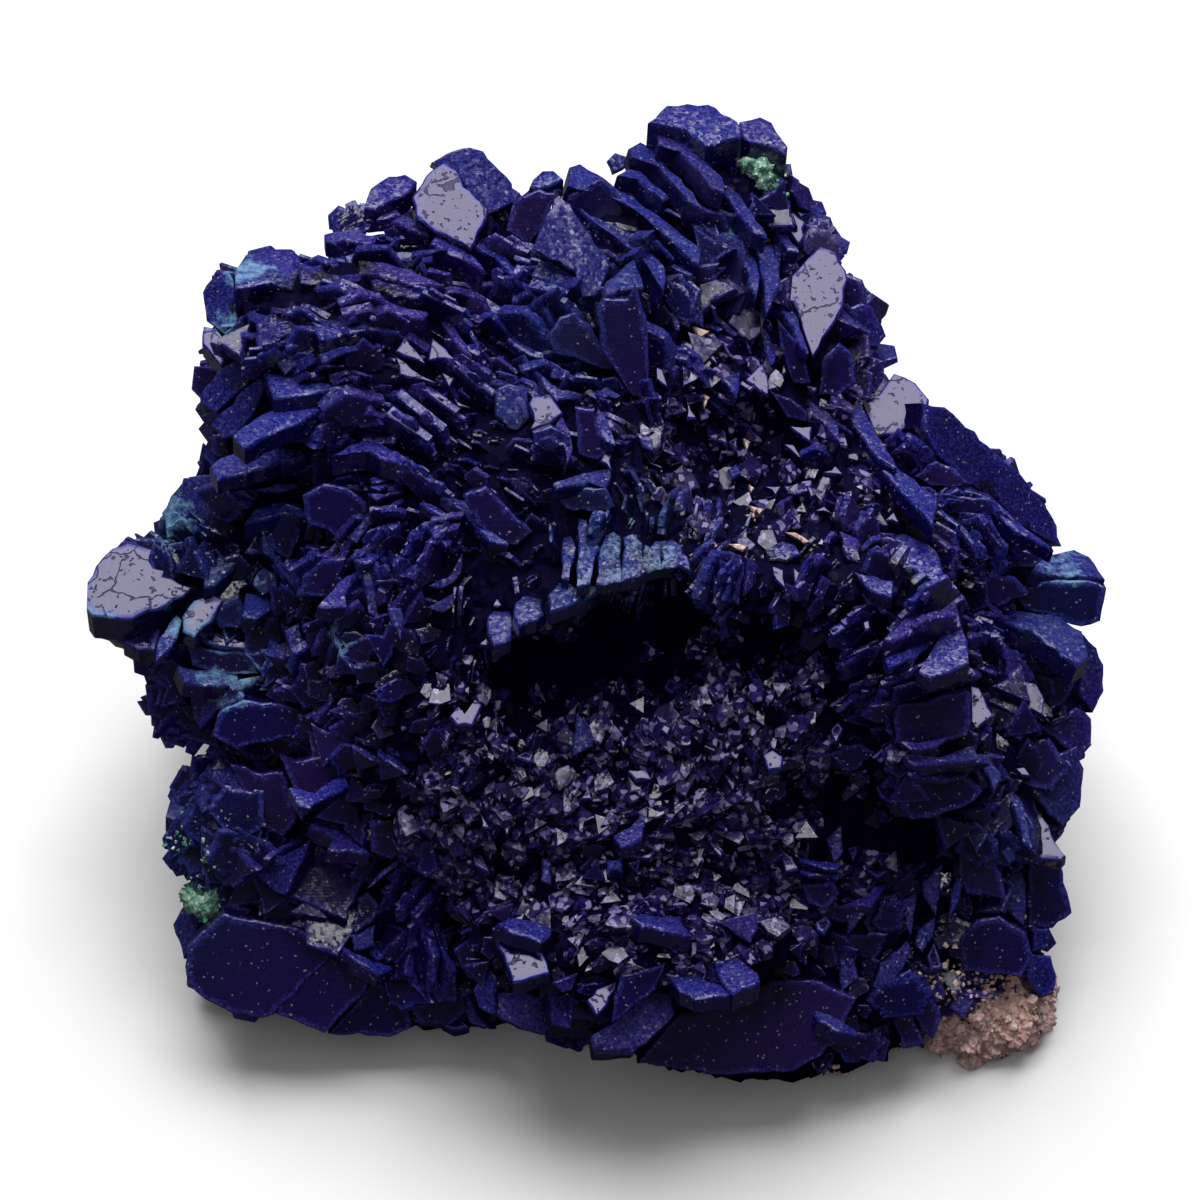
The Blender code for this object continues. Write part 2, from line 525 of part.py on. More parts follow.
def merge_short_edges(bm, shortest):
    """Closes each very short edge whose ends can meet without pinching the surface."""
    for edge in [edge for edge in bm.edges if edge.calc_length() < shortest]:
        if not edge.is_valid:
            continue
        first, second = edge.verts
        if len(neighbours(first) & neighbours(second)) == 2:
            bmesh.ops.pointmerge(bm, verts=[first, second], merge_co=first.co)


def tidy_mesh(body):
    """Fills the pockets shut in between crystals and merges the slivers that the unions leave."""
    bm = bmesh.new()
    bm.from_mesh(body.data)
    whole = connected(max(bm.verts, key=lambda vert: vert.co.z))
    bmesh.ops.delete(bm, geom=[vert for vert in bm.verts if vert not in whole], context="VERTS")
    bmesh.ops.triangulate(bm, faces=bm.faces)
    merge_short_edges(bm, SLIVER * MM)
    bm.to_mesh(body.data)
    bm.free()


def main():
    clear_scene()
    rng = random.Random(SEED)
    parts = new_collection("azurite_specimen")
    cutters = new_collection("cutters")
    blades = new_collection("blades")

    cluster = core(parts)
    cluster.name = "azurite_cluster"
    bm = bmesh.new()
    bm.from_mesh(cluster.data)
    tree = BVHTree.FromBMesh(bm)
    bm.free()

    for across, up, trace, lean, length, depth, thickness, lift in BLADES:
        add_blade(tree, rng, blades, (across, up), trace, lean, (length, depth, thickness), lift)
    for book in BOOKS:
        add_book(tree, rng, blades, *book)
    for druse in DRUSES:
        add_druse(tree, rng, blades, *druse)
    add_far_side(tree, rng, blades)
    settle(boolean(cluster, "UNION", blades))
    for blade in list(blades.objects):
        bpy.data.objects.remove(blade)

    floor_cut = base_cutter(cutters)
    sockets = []
    for name, (centre, radii, roughness), colour, dullness in OTHER_MINERALS:
        body = lump(name, rng, centre, radii, roughness, parts)
        sockets.append(grown(body, name + "_socket", cutters))
        settle(boolean(body, "DIFFERENCE", floor_cut))
        body.data.materials.append(material(name, colour, dullness))
    settle(boolean(cluster, "DIFFERENCE", cutters))
    tidy_mesh(cluster)
    cluster.data.materials.clear()
    cluster.data.materials.append(material("azurite", AZURITE_BLUE, 0.3))
    for cutter in cutters.objects:
        cutter.hide_render = True
        cutter.display_type = "WIRE"


main()
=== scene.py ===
"""The dressed azurite specimen: blades, druse, host rock and malachite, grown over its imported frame.

Places on the show face are given in millimetres as (across, up, out): across to the right, up the
face, and out of it. The show face leans back and looks up at SHOW_FACE_ELEVATION.
"""

import json
import math
import random

import bmesh
import bpy
import numpy as np
from bpy.props import FloatProperty, FloatVectorProperty, IntProperty, PointerProperty
from mathutils import Euler, Matrix, Vector, noise
from mathutils.bvhtree import BVHTree

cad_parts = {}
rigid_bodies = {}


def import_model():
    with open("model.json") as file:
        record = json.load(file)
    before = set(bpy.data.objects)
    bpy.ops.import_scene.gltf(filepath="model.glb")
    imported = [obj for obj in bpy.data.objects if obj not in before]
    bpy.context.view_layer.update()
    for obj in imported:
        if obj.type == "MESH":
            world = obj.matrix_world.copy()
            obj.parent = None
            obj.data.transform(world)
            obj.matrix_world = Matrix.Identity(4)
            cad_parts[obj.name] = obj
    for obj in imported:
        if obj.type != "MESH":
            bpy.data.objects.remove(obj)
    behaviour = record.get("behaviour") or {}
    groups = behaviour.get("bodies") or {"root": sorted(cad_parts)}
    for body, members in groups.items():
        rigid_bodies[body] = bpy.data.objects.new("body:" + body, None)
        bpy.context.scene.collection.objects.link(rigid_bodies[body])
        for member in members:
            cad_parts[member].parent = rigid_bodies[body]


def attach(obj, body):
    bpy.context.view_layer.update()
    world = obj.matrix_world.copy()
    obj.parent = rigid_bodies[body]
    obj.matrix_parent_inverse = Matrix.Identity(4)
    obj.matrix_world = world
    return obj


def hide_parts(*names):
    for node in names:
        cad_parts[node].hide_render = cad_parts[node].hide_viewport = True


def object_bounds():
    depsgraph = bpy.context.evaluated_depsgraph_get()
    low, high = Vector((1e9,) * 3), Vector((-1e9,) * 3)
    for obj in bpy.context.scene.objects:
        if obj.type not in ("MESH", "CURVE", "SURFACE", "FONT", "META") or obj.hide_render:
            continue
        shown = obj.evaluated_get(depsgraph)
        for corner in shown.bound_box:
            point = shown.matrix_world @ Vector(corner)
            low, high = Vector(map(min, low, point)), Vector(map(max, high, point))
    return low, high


bl_info = {
    "name": "Azurite Specimen",
    "version": (1, 0, 0),
    "blender": (4, 5, 0),
    "location": "3D View > Sidebar > Azurite",
    "description": "Grows a dressed azurite cluster over its packed frame",
    "category": "Add Mesh",
}

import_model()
CAD_BOX = [list(corner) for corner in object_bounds()]

MM = 0.001
BODY = "root"
SHOW_FACE_ELEVATION = math.radians(48)
FACE_CENTRE_HEIGHT = 20.4  # mm
AIM = np.array((0.5, -0.6))  # where the camera looks, across and up the show face, in mm
VIEW_DISTANCE = 345.0  # from there to the camera, in mm
SKYWARD = (0.0, 0.515, 0.857)  # the way a plate faces on the show face to mirror the softbox

# The massive azurite under the crystals, as rounded lobes: centre (across, up, out), then radii, in mm
LOBES = (
    ((1.0, -2.8, -5.8), (19.5, 16.8, 15.5)),  # the main mass
    ((3.0, -13.0, -6.0), (17.0, 10.5, 9.5)),  # its foot, in front
    ((-1.0, -2.0, -17.0), (18.0, 13.0, 14.0)),  # its back
    ((-14.0, -2.4, -13.6), (8.0, 8.0, 10.0)),
    ((15.0, -2.0, -14.0), (8.4, 8.6, 10.0)),
    ((-12.0, 10.4, -3.0), (7.6, 6.8, 7.4)),  # upper left rosette
    ((-16.8, 14.0, -4.6), (2.8, 2.8, 4.4)),
    ((-16.8, 4.6, -5.0), (4.0, 3.6, 5.4)),
    ((-6.8, 16.8, -6.5), (4.0, 3.8, 5.0)),
    ((1.2, 14.2, -4.6), (6.0, 5.6, 6.6)),  # the tall blades
    ((6.8, 18.6, -8.0), (4.6, 4.8, 5.6)),  # the peak
    ((11.0, 11.4, -7.0), (4.2, 5.8, 6.6)),
    ((18.6, 1.4, -6.6), (5.2, 6.2, 7.0)),  # right shoulder
    ((21.8, -6.4, -7.0), (3.6, 6.0, 6.0)),
    ((19.4, -10.4, -6.6), (5.0, 7.0, 7.4)),
    ((18.8, -18.0, -7.0), (4.6, 5.0, 6.0)),
    ((-20.0, -0.4, -5.0), (5.0, 3.8, 5.6)),  # left lobe
    ((-18.4, -5.2, -4.6), (4.2, 2.4, 5.2)),
    ((-17.6, -12.4, -5.0), (3.8, 3.6, 6.2)),
    ((-15.0, -18.2, -6.0), (5.6, 4.4, 5.6)),
    ((-1.6, -1.4, 8.0), (3.2, 1.8, 3.0)),  # the crest, from left to right
    ((3.0, 0.0, 8.6), (3.4, 1.9, 3.2)),
    ((8.4, -0.4, 8.0), (3.6, 1.8, 3.2)),
    ((13.4, -0.4, 6.4), (3.4, 2.6, 3.4)),
    ((16.4, -3.4, 4.8), (3.4, 3.2, 4.0)),
    ((17.4, -8.2, 3.6), (3.0, 2.6, 3.6)),
    ((2.0, -18.4, 2.6), (9.0, 3.4, 4.6)),  # front sill
    ((9.2, -20.4, -4.2), (10.0, 5.6, 5.6)),
    ((-7.6, -19.0, -6.4), (8.0, 4.4, 5.6)),
)

# Open hollows cut into the lobes
HOLLOWS = (
    ((8.6, 7.6, 9.0), (6.2, 5.2, 9.6)),  # the hollow above the crest
    ((-2.2, -4.8, 12.0), (4.2, 3.4, 8.4)),  # under the crest
    ((2.8, -3.6, 12.0), (4.2, 4.3, 8.4)),
    ((7.4, -3.6, 10.2), (4.8, 1.7, 5.2)),
    ((-0.6, -10.4, 14.0), (11.0, 5.4, 7.6)),  # the bowl below it
    ((13.0, -11.3, 8.0), (5.4, 1.9, 5.6)),  # under the ledge
    ((-17.4, -8.5, 1.4), (5.4, 0.9, 4.2)),
    ((-5.2, 16.6, 1.6), (0.9, 3.6, 4.4)),
)

# Single blades: across, up, trace, lean, length, depth, thickness, lift.
# Trace is the angle of the blade's long edge on the show face. Lean is 0 where the blade lies flat on
# the face, and positive where the edge above its trace comes forward. Lift is how far the middle of the
# blade stands off the massive azurite.
BLADES = (
    # upper left rosette
    (-12.6, 18.1, -6, 62, 3.4, 3.4, 1.0, 0.4),
    (-12.2, 17.1, -9, 62, 3.6, 3.6, 1.0, 0.6),
    (-9.8, 18.0, -5, 60, 3.0, 3.2, 0.9, 0.6),
    (-10.6, 16.4, -12, 62, 4.2, 3.6, 0.9, 0.7),
    (-9.5, 15.2, -14, 62, 4.4, 3.4, 0.9, 0.7),
    (-17.0, 15.7, -12, 48, 3.8, 3.8, 2.3, 0.4),
    (-14.0, 15.0, -22, 50, 4.4, 4.0, 2.1, 0.5),
    (-19.3, 14.8, 82, -40, 3.4, 3.4, 1.5, -0.4),
    (-15.6, 13.0, 12, 56, 3.2, 3.4, 1.5, 0.8),
    (-12.4, 13.2, -4, 54, 4.6, 3.8, 1.6, 0.8),
    (-19.1, 12.9, -45, -25, 2.8, 1.9, 1.0, -0.2),
    (-18.4, 11.2, 55, -45, 3.4, 3.2, 1.3, -0.3),
    (-16.2, 11.6, 10, 60, 3.4, 3.2, 0.8, 0.5),
    (-15.0, 10.6, -6, 62, 5.0, 3.4, 0.9, 0.7),
    (-18.7, 9.2, 60, -35, 3.0, 3.0, 1.1, -0.3),
    (-16.0, 8.9, 20, 58, 5.6, 3.6, 1.2, 0.7),
    (-14.2, 9.0, 24, 46, 3.4, 3.2, 1.3, 0.9),
    (-16.8, 7.1, 18, 60, 5.6, 3.4, 0.9, 0.5),
    (-17.2, 6.1, 16, 60, 5.0, 3.2, 0.9, 0.3),
    (-16.4, 4.2, 24, 38, 4.4, 3.8, 1.2, 0.7),
    (-13.6, 5.2, 14, 48, 4.0, 3.4, 1.0, 0.7),
    (-12.2, 7.3, 28, 58, 4.6, 3.2, 0.8, 0.6),
    # top left
    (-7.5, 19.8, -50, -22, 4.6, 4.2, 1.8, 0.4),
    (-5.9, 21.0, -35, -5, 4.4, 4.0, 2.0, -0.8),
    (-10.2, 20.6, 20, -15, 3.4, 2.6, 1.6, -0.7),
    (-12.4, 19.1, 30, -10, 2.4, 2.2, 1.4, -0.4),
    # tall blades and the peak
    (-1.1, 18.1, -75, 10, 5.0, 3.9, 1.3, 1.3),
    (2.4, 19.4, -38, 60, 8.2, 4.4, 1.1, 0.7),
    (1.6, 17.7, -36, 58, 6.6, 3.8, 0.8, 0.9),
    (3.4, 20.9, -40, 60, 4.6, 3.8, 1.0, 0.2),
    (4.3, 20.9, -48, 58, 6.8, 4.0, 1.3, 0.0),
    (5.6, 21.7, -48, 56, 5.8, 4.0, 1.3, -0.1),
    (7.2, 19.8, -60, 52, 6.4, 3.8, 1.3, 0.0),
    (7.3, 16.6, -75, 32, 5.0, 2.8, 1.3, 0.6),
    (8.9, 17.1, -82, 48, 5.0, 3.2, 1.1, 0.4),
    (9.7, 17.5, -80, 48, 4.4, 3.0, 1.0, 0.1),
    (2.1, 13.6, -84, 36, 7.2, 3.2, 1.5, 1.3),
    (-1.2, 14.2, -45, 43, 4.2, 3.4, 1.0, 1.1),
    (-0.6, 12.4, -50, 48, 4.2, 3.4, 0.9, 0.9),
    (-4.0, 17.1, -35, 50, 3.6, 3.2, 1.0, 0.5),
    (-3.9, 15.1, -30, 48, 3.4, 3.2, 1.0, 0.6),
    (-3.0, 20.4, 25, -10, 2.8, 2.6, 1.4, -0.6),
    (-2.6, 19.3, 50, 38, 3.0, 3.0, 1.1, 0.1),
    (5.4, 24.0, 20, -25, 5.0, 3.4, 2.4, -0.9),
    (8.6, 23.5, -40, -15, 3.0, 2.8, 2.2, -0.9),
    (10.8, 20.7, -65, -10, 3.0, 2.4, 1.6, -0.6),
    (9.7, 20.3, -55, -22, 2.2, 1.9, 1.1, 0.1),
    (10.8, 19.0, -50, -22, 2.4, 2.0, 1.1, 0.2),
    (12.0, 18.0, -60, -5, 3.0, 2.6, 1.4, -0.3),
    # right of the hollow
    (11.5, 15.2, -62, -20, 5.4, 3.6, 1.5, 0.6),
    (10.2, 13.9, -60, 38, 3.0, 2.6, 1.1, 0.7),
    (12.6, 11.7, -62, 33, 3.4, 2.8, 1.9, 0.5),
    (14.2, 12.9, -60, 10, 4.0, 2.8, 1.8, -0.1),
    (15.0, 12.2, -60, 20, 4.0, 2.4, 1.4, -0.3),
    (16.0, 9.3, -25, -20, 3.8, 3.0, 1.5, 0.2),
    (19.0, 7.6, -46, -12, 6.4, 4.0, 2.0, -0.6),
    (21.4, 4.8, -48, -10, 6.6, 3.6, 2.0, -0.6),
    (18.2, 5.8, -10, 38, 4.0, 3.0, 1.0, 0.3),
    (16.6, 6.9, -30, 43, 3.0, 2.6, 1.0, 0.4),
    # the crest's right end
    (16.4, 2.0, -28, -35, 4.6, 3.4, 1.0, 0.6),
    (18.7, -2.1, 86, -30, 4.2, 2.2, 1.1, 0.6),
    (17.6, -6.7, -4, -12, 4.4, 3.0, 2.0, 0.8),
    (20.3, -6.0, -70, -25, 3.4, 1.6, 1.0, 0.6),
    (17.8, -10.6, -5, 33, 5.0, 3.2, 0.9, 0.4),
    # right side
    (24.2, 0.4, 8, -30, 5.6, 3.4, 2.4, -0.1),
    (23.2, -2.8, -32, -30, 5.8, 3.6, 1.4, 0.0),
    (25.7, -4.3, -80, 0, 3.6, 2.6, 1.6, -0.6),
    (21.8, -4.4, -45, -15, 3.6, 3.4, 1.1, 0.4),
    (24.7, -7.7, -60, -5, 3.4, 3.2, 1.4, -0.2),
    (23.9, -10.0, -62, 0, 5.0, 4.0, 1.6, 0.0),
    (24.0, -12.9, -60, -20, 3.2, 2.4, 1.2, 0.2),
    (22.4, -11.6, -72, 28, 6.2, 2.8, 1.0, 0.5),
    (24.0, -16.2, -20, 5, 3.2, 3.2, 2.0, -0.4),
    (22.3, -16.4, -65, 23, 4.0, 2.8, 1.5, 0.1),
    (22.2, -19.0, -15, 10, 4.6, 3.4, 2.2, -0.2),
    (20.4, -17.0, -80, 33, 3.6, 2.6, 1.1, 0.3),
    (20.4, -13.2, -40, 23, 3.6, 3.2, 1.3, 0.3),
    # left side
    (-23.6, 0.3, 20, -22, 5.4, 3.9, 2.2, 0.0),
    (-22.4, -2.3, -20, -15, 2.4, 2.4, 1.8, 0.1),
    (-19.6, -1.9, -30, -22, 3.8, 2.4, 2.0, 0.5),
    (-21.1, 4.3, 35, -8, 3.6, 3.0, 1.6, -0.5),
    (-17.0, 1.9, 75, 20, 2.6, 2.4, 1.3, 0.6),
    (-16.9, -0.4, 70, 15, 3.0, 2.6, 1.7, 0.6),
    (-13.1, -0.4, 55, 38, 3.0, 2.6, 1.0, 0.8),
    (-15.2, -2.7, 40, 28, 2.6, 2.4, 1.3, 0.6),
    (-10.3, -1.6, -60, 20, 2.6, 2.0, 1.0, 0.8),
    (-11.0, 0.6, -70, 38, 2.8, 2.4, 0.9, 0.8),
    (-18.2, -5.8, -5, 23, 5.4, 3.6, 2.8, 0.2),
    (-15.2, -6.2, -20, 20, 2.6, 2.6, 1.5, 0.2),
    (-21.9, -6.6, -60, -10, 4.4, 3.0, 2.2, -0.6),
    (-21.8, -4.2, -40, -5, 3.0, 2.8, 2.0, -0.4),
    # lower left
    (-20.9, -10.6, 60, -20, 2.8, 2.4, 1.6, -0.5),
    (-19.9, -10.4, 80, 10, 2.4, 2.0, 1.5, 0.2),
    (-17.4, -10.7, -60, 28, 3.6, 2.8, 1.3, 0.3),
    (-18.6, -11.0, -58, 33, 3.4, 2.6, 0.9, 0.2),
    (-14.6, -9.9, 10, 28, 3.4, 3.0, 1.9, 0.4),
    (-14.3, -15.0, -18, -6, 6.2, 4.2, 1.6, 0.7),
    (-12.8, -12.9, -42, 10, 3.2, 2.1, 1.0, 0.8),
    (-11.6, -17.0, 72, 10, 3.9, 1.8, 1.1, 0.8),
    (-17.0, -19.4, -12, 12, 8.2, 5.2, 2.6, -0.2),
    (-13.9, -20.5, -50, 14, 5.0, 3.8, 2.2, -0.3),
    (-11.6, -21.4, -5, 26, 5.2, 3.0, 2.4, -0.4),
    (-7.6, -21.6, -8, 24, 4.4, 3.0, 2.0, -0.3),
    (-21.0, -17.4, 80, 0, 3.4, 2.2, 1.8, -0.4),
    (-20.6, -13.6, 80, 5, 3.6, 2.6, 2.0, -0.3),
    (-18.5, -14.0, -10, 23, 3.2, 2.8, 1.5, 0.2),
    # front foot
    (-3.6, -18.6, -68, -25, 3.5, 2.8, 1.3, 1.0),
    (-3.7, -21.0, 0, 5, 5.2, 3.2, 2.2, 0.5),
    (2.0, -22.2, 48, 13, 6.8, 4.6, 2.0, 0.3),
    (5.6, -20.2, 35, -5, 5.6, 3.8, 1.6, 0.5),
    (8.2, -22.4, 10, 20, 8.0, 4.4, 2.0, 0.2),
    (12.2, -22.4, -38, 12, 3.8, 3.4, 2.4, 0.4),
    (-1.0, -23.0, -18, 28, 3.6, 2.2, 1.5, 0.0),
    (12.6, -15.9, -8, 15, 3.0, 2.6, 1.5, 0.6),
    (15.2, -17.0, 65, 20, 2.8, 2.4, 1.1, 0.7),
    (16.7, -16.0, 70, 23, 3.0, 2.4, 1.1, 0.7),
    (17.8, -14.8, 72, 23, 3.2, 2.2, 1.0, 0.5),
    (17.2, -17.8, 60, 20, 2.6, 2.2, 1.1, 0.6),
    (15.0, -19.6, 65, 15, 2.8, 2.4, 1.1, 0.6),
    (16.0, -21.0, 10, 18, 3.4, 2.4, 1.7, 0.4),
    (17.8, -21.6, -50, 10, 3.2, 2.8, 1.5, 0.2),
    (14.0, -23.6, 0, 18, 3.4, 2.4, 1.8, -0.1),
    (8.4, -17.8, -15, 15, 2.6, 2.2, 1.3, 0.6),
    (2.5, -17.6, -5, 38, 4.0, 2.6, 1.1, 0.7),
)

# Stacks of thin blades, like the pages of an open book: first and last place (across, up), then the first
# and last trace and lean, then length, depth, thickness of a blade, how many, and lift.
BOOKS = (
    ((-10.8, 6.2), (-6.2, 10.2), (-38, -42), (62, 62), 4.5, 3.2, 1.0, 4, 0.7),
    ((-10.3, 5.8), (-10.2, 3.6), (-4, -4), (66, 66), 2.4, 2.4, 0.9, 2, 0.6),
    ((-7.6, 14.2), (-6.4, 10.8), (-30, -34), (58, 60), 3.2, 3.0, 1.0, 3, 0.7),
    ((-8.2, 4.8), (-5.2, 2.8), (-45, -30), (58, 55), 4.4, 3.0, 1.0, 3, 0.7),
    ((-4.8, -1.4), (-0.4, 0.2), (80, 75), (68, 68), 2.2, 3.2, 1.1, 3, 0.6),
    ((-1.2, 1.4), (0.4, 2.4), (70, 85), (62, 66), 3.4, 3.2, 1.0, 2, 0.7),
    ((1.4, 1.5), (4.8, 1.3), (80, 96), (66, 66), 2.8, 3.6, 1.2, 3, 0.8),
    ((6.2, 0.4), (8.2, 0.2), (72, 66), (62, 62), 2.8, 3.2, 1.0, 2, 0.7),
    ((9.8, 0.4), (12.4, 0.3), (68, 60), (62, 62), 2.6, 3.2, 1.0, 2, 0.7),
    ((16.8, -0.4), (16.6, -4.8), (48, 18), (62, 58), 4.5, 3.2, 1.0, 4, 0.7),
    ((13.4, -2.0), (14.4, -5.2), (40, 10), (60, 58), 3.2, 2.8, 1.0, 2, 0.6),
    ((17.8, -9.0), (17.8, -9.0), (0, 0), (62, 62), 4.8, 2.6, 1.2, 1, 0.7),
    ((-20.6, 2.6), (-19.6, 3.7), (-38, -38), (56, 56), 3.6, 2.8, 1.0, 2, 0.2),
    ((-11.4, 2.4), (-7.8, 1.6), (38, 66), (58, 58), 2.9, 2.6, 0.9, 3, 0.7),
    ((-9.4, -18.4), (-7.0, -19.4), (-82, -62), (56, 54), 4.6, 2.8, 1.0, 3, 0.6),
    ((-9.6, -15.4), (-8.0, -16.4), (42, 50), (54, 54), 3.4, 2.6, 1.0, 2, 0.6),
    ((19.4, 1.9), (21.2, 2.8), (-62, -58), (56, 56), 3.4, 2.8, 1.0, 2, 0.5),
    ((20.0, -1.8), (20.4, -3.0), (-20, -20), (56, 56), 2.8, 2.6, 1.0, 2, 0.5),
    ((0.5, 8.8), (1.0, 6.8), (-36, -36), (56, 56), 2.6, 2.6, 1.0, 2, 0.8),
    ((-2.1, 9.0), (-1.9, 6.8), (-8, -5), (48, 60), 2.2, 2.6, 1.1, 2, 0.9),
)


# How a plate's visible face can lie: the way it faces, as (across, up, out), and how pale it is painted.
# The paleness is partly worn azurite and partly painted light: faces that met the light are painted paler.
FACINGS = {
    "mirror": (SKYWARD, 0.0),
    "haze": ((0.05, 0.76, 0.65), 1.0),
    "shelf": ((0.0, 0.85, 0.52), 1.0),
    "slope": ((0.25, 0.8, 0.54), 1.0),
    "sheen": ((0.1, 0.08, 0.99), 1.0),
    "face": ((0.0, -0.15, 1.0), 0.0),
    "satin": ((0.0, 0.24, 0.97), 0.1),
    "left": ((-0.42, 0.0, 0.9), 0.75),
    "right": ((0.45, 0.0, 0.88), 0.6),
}

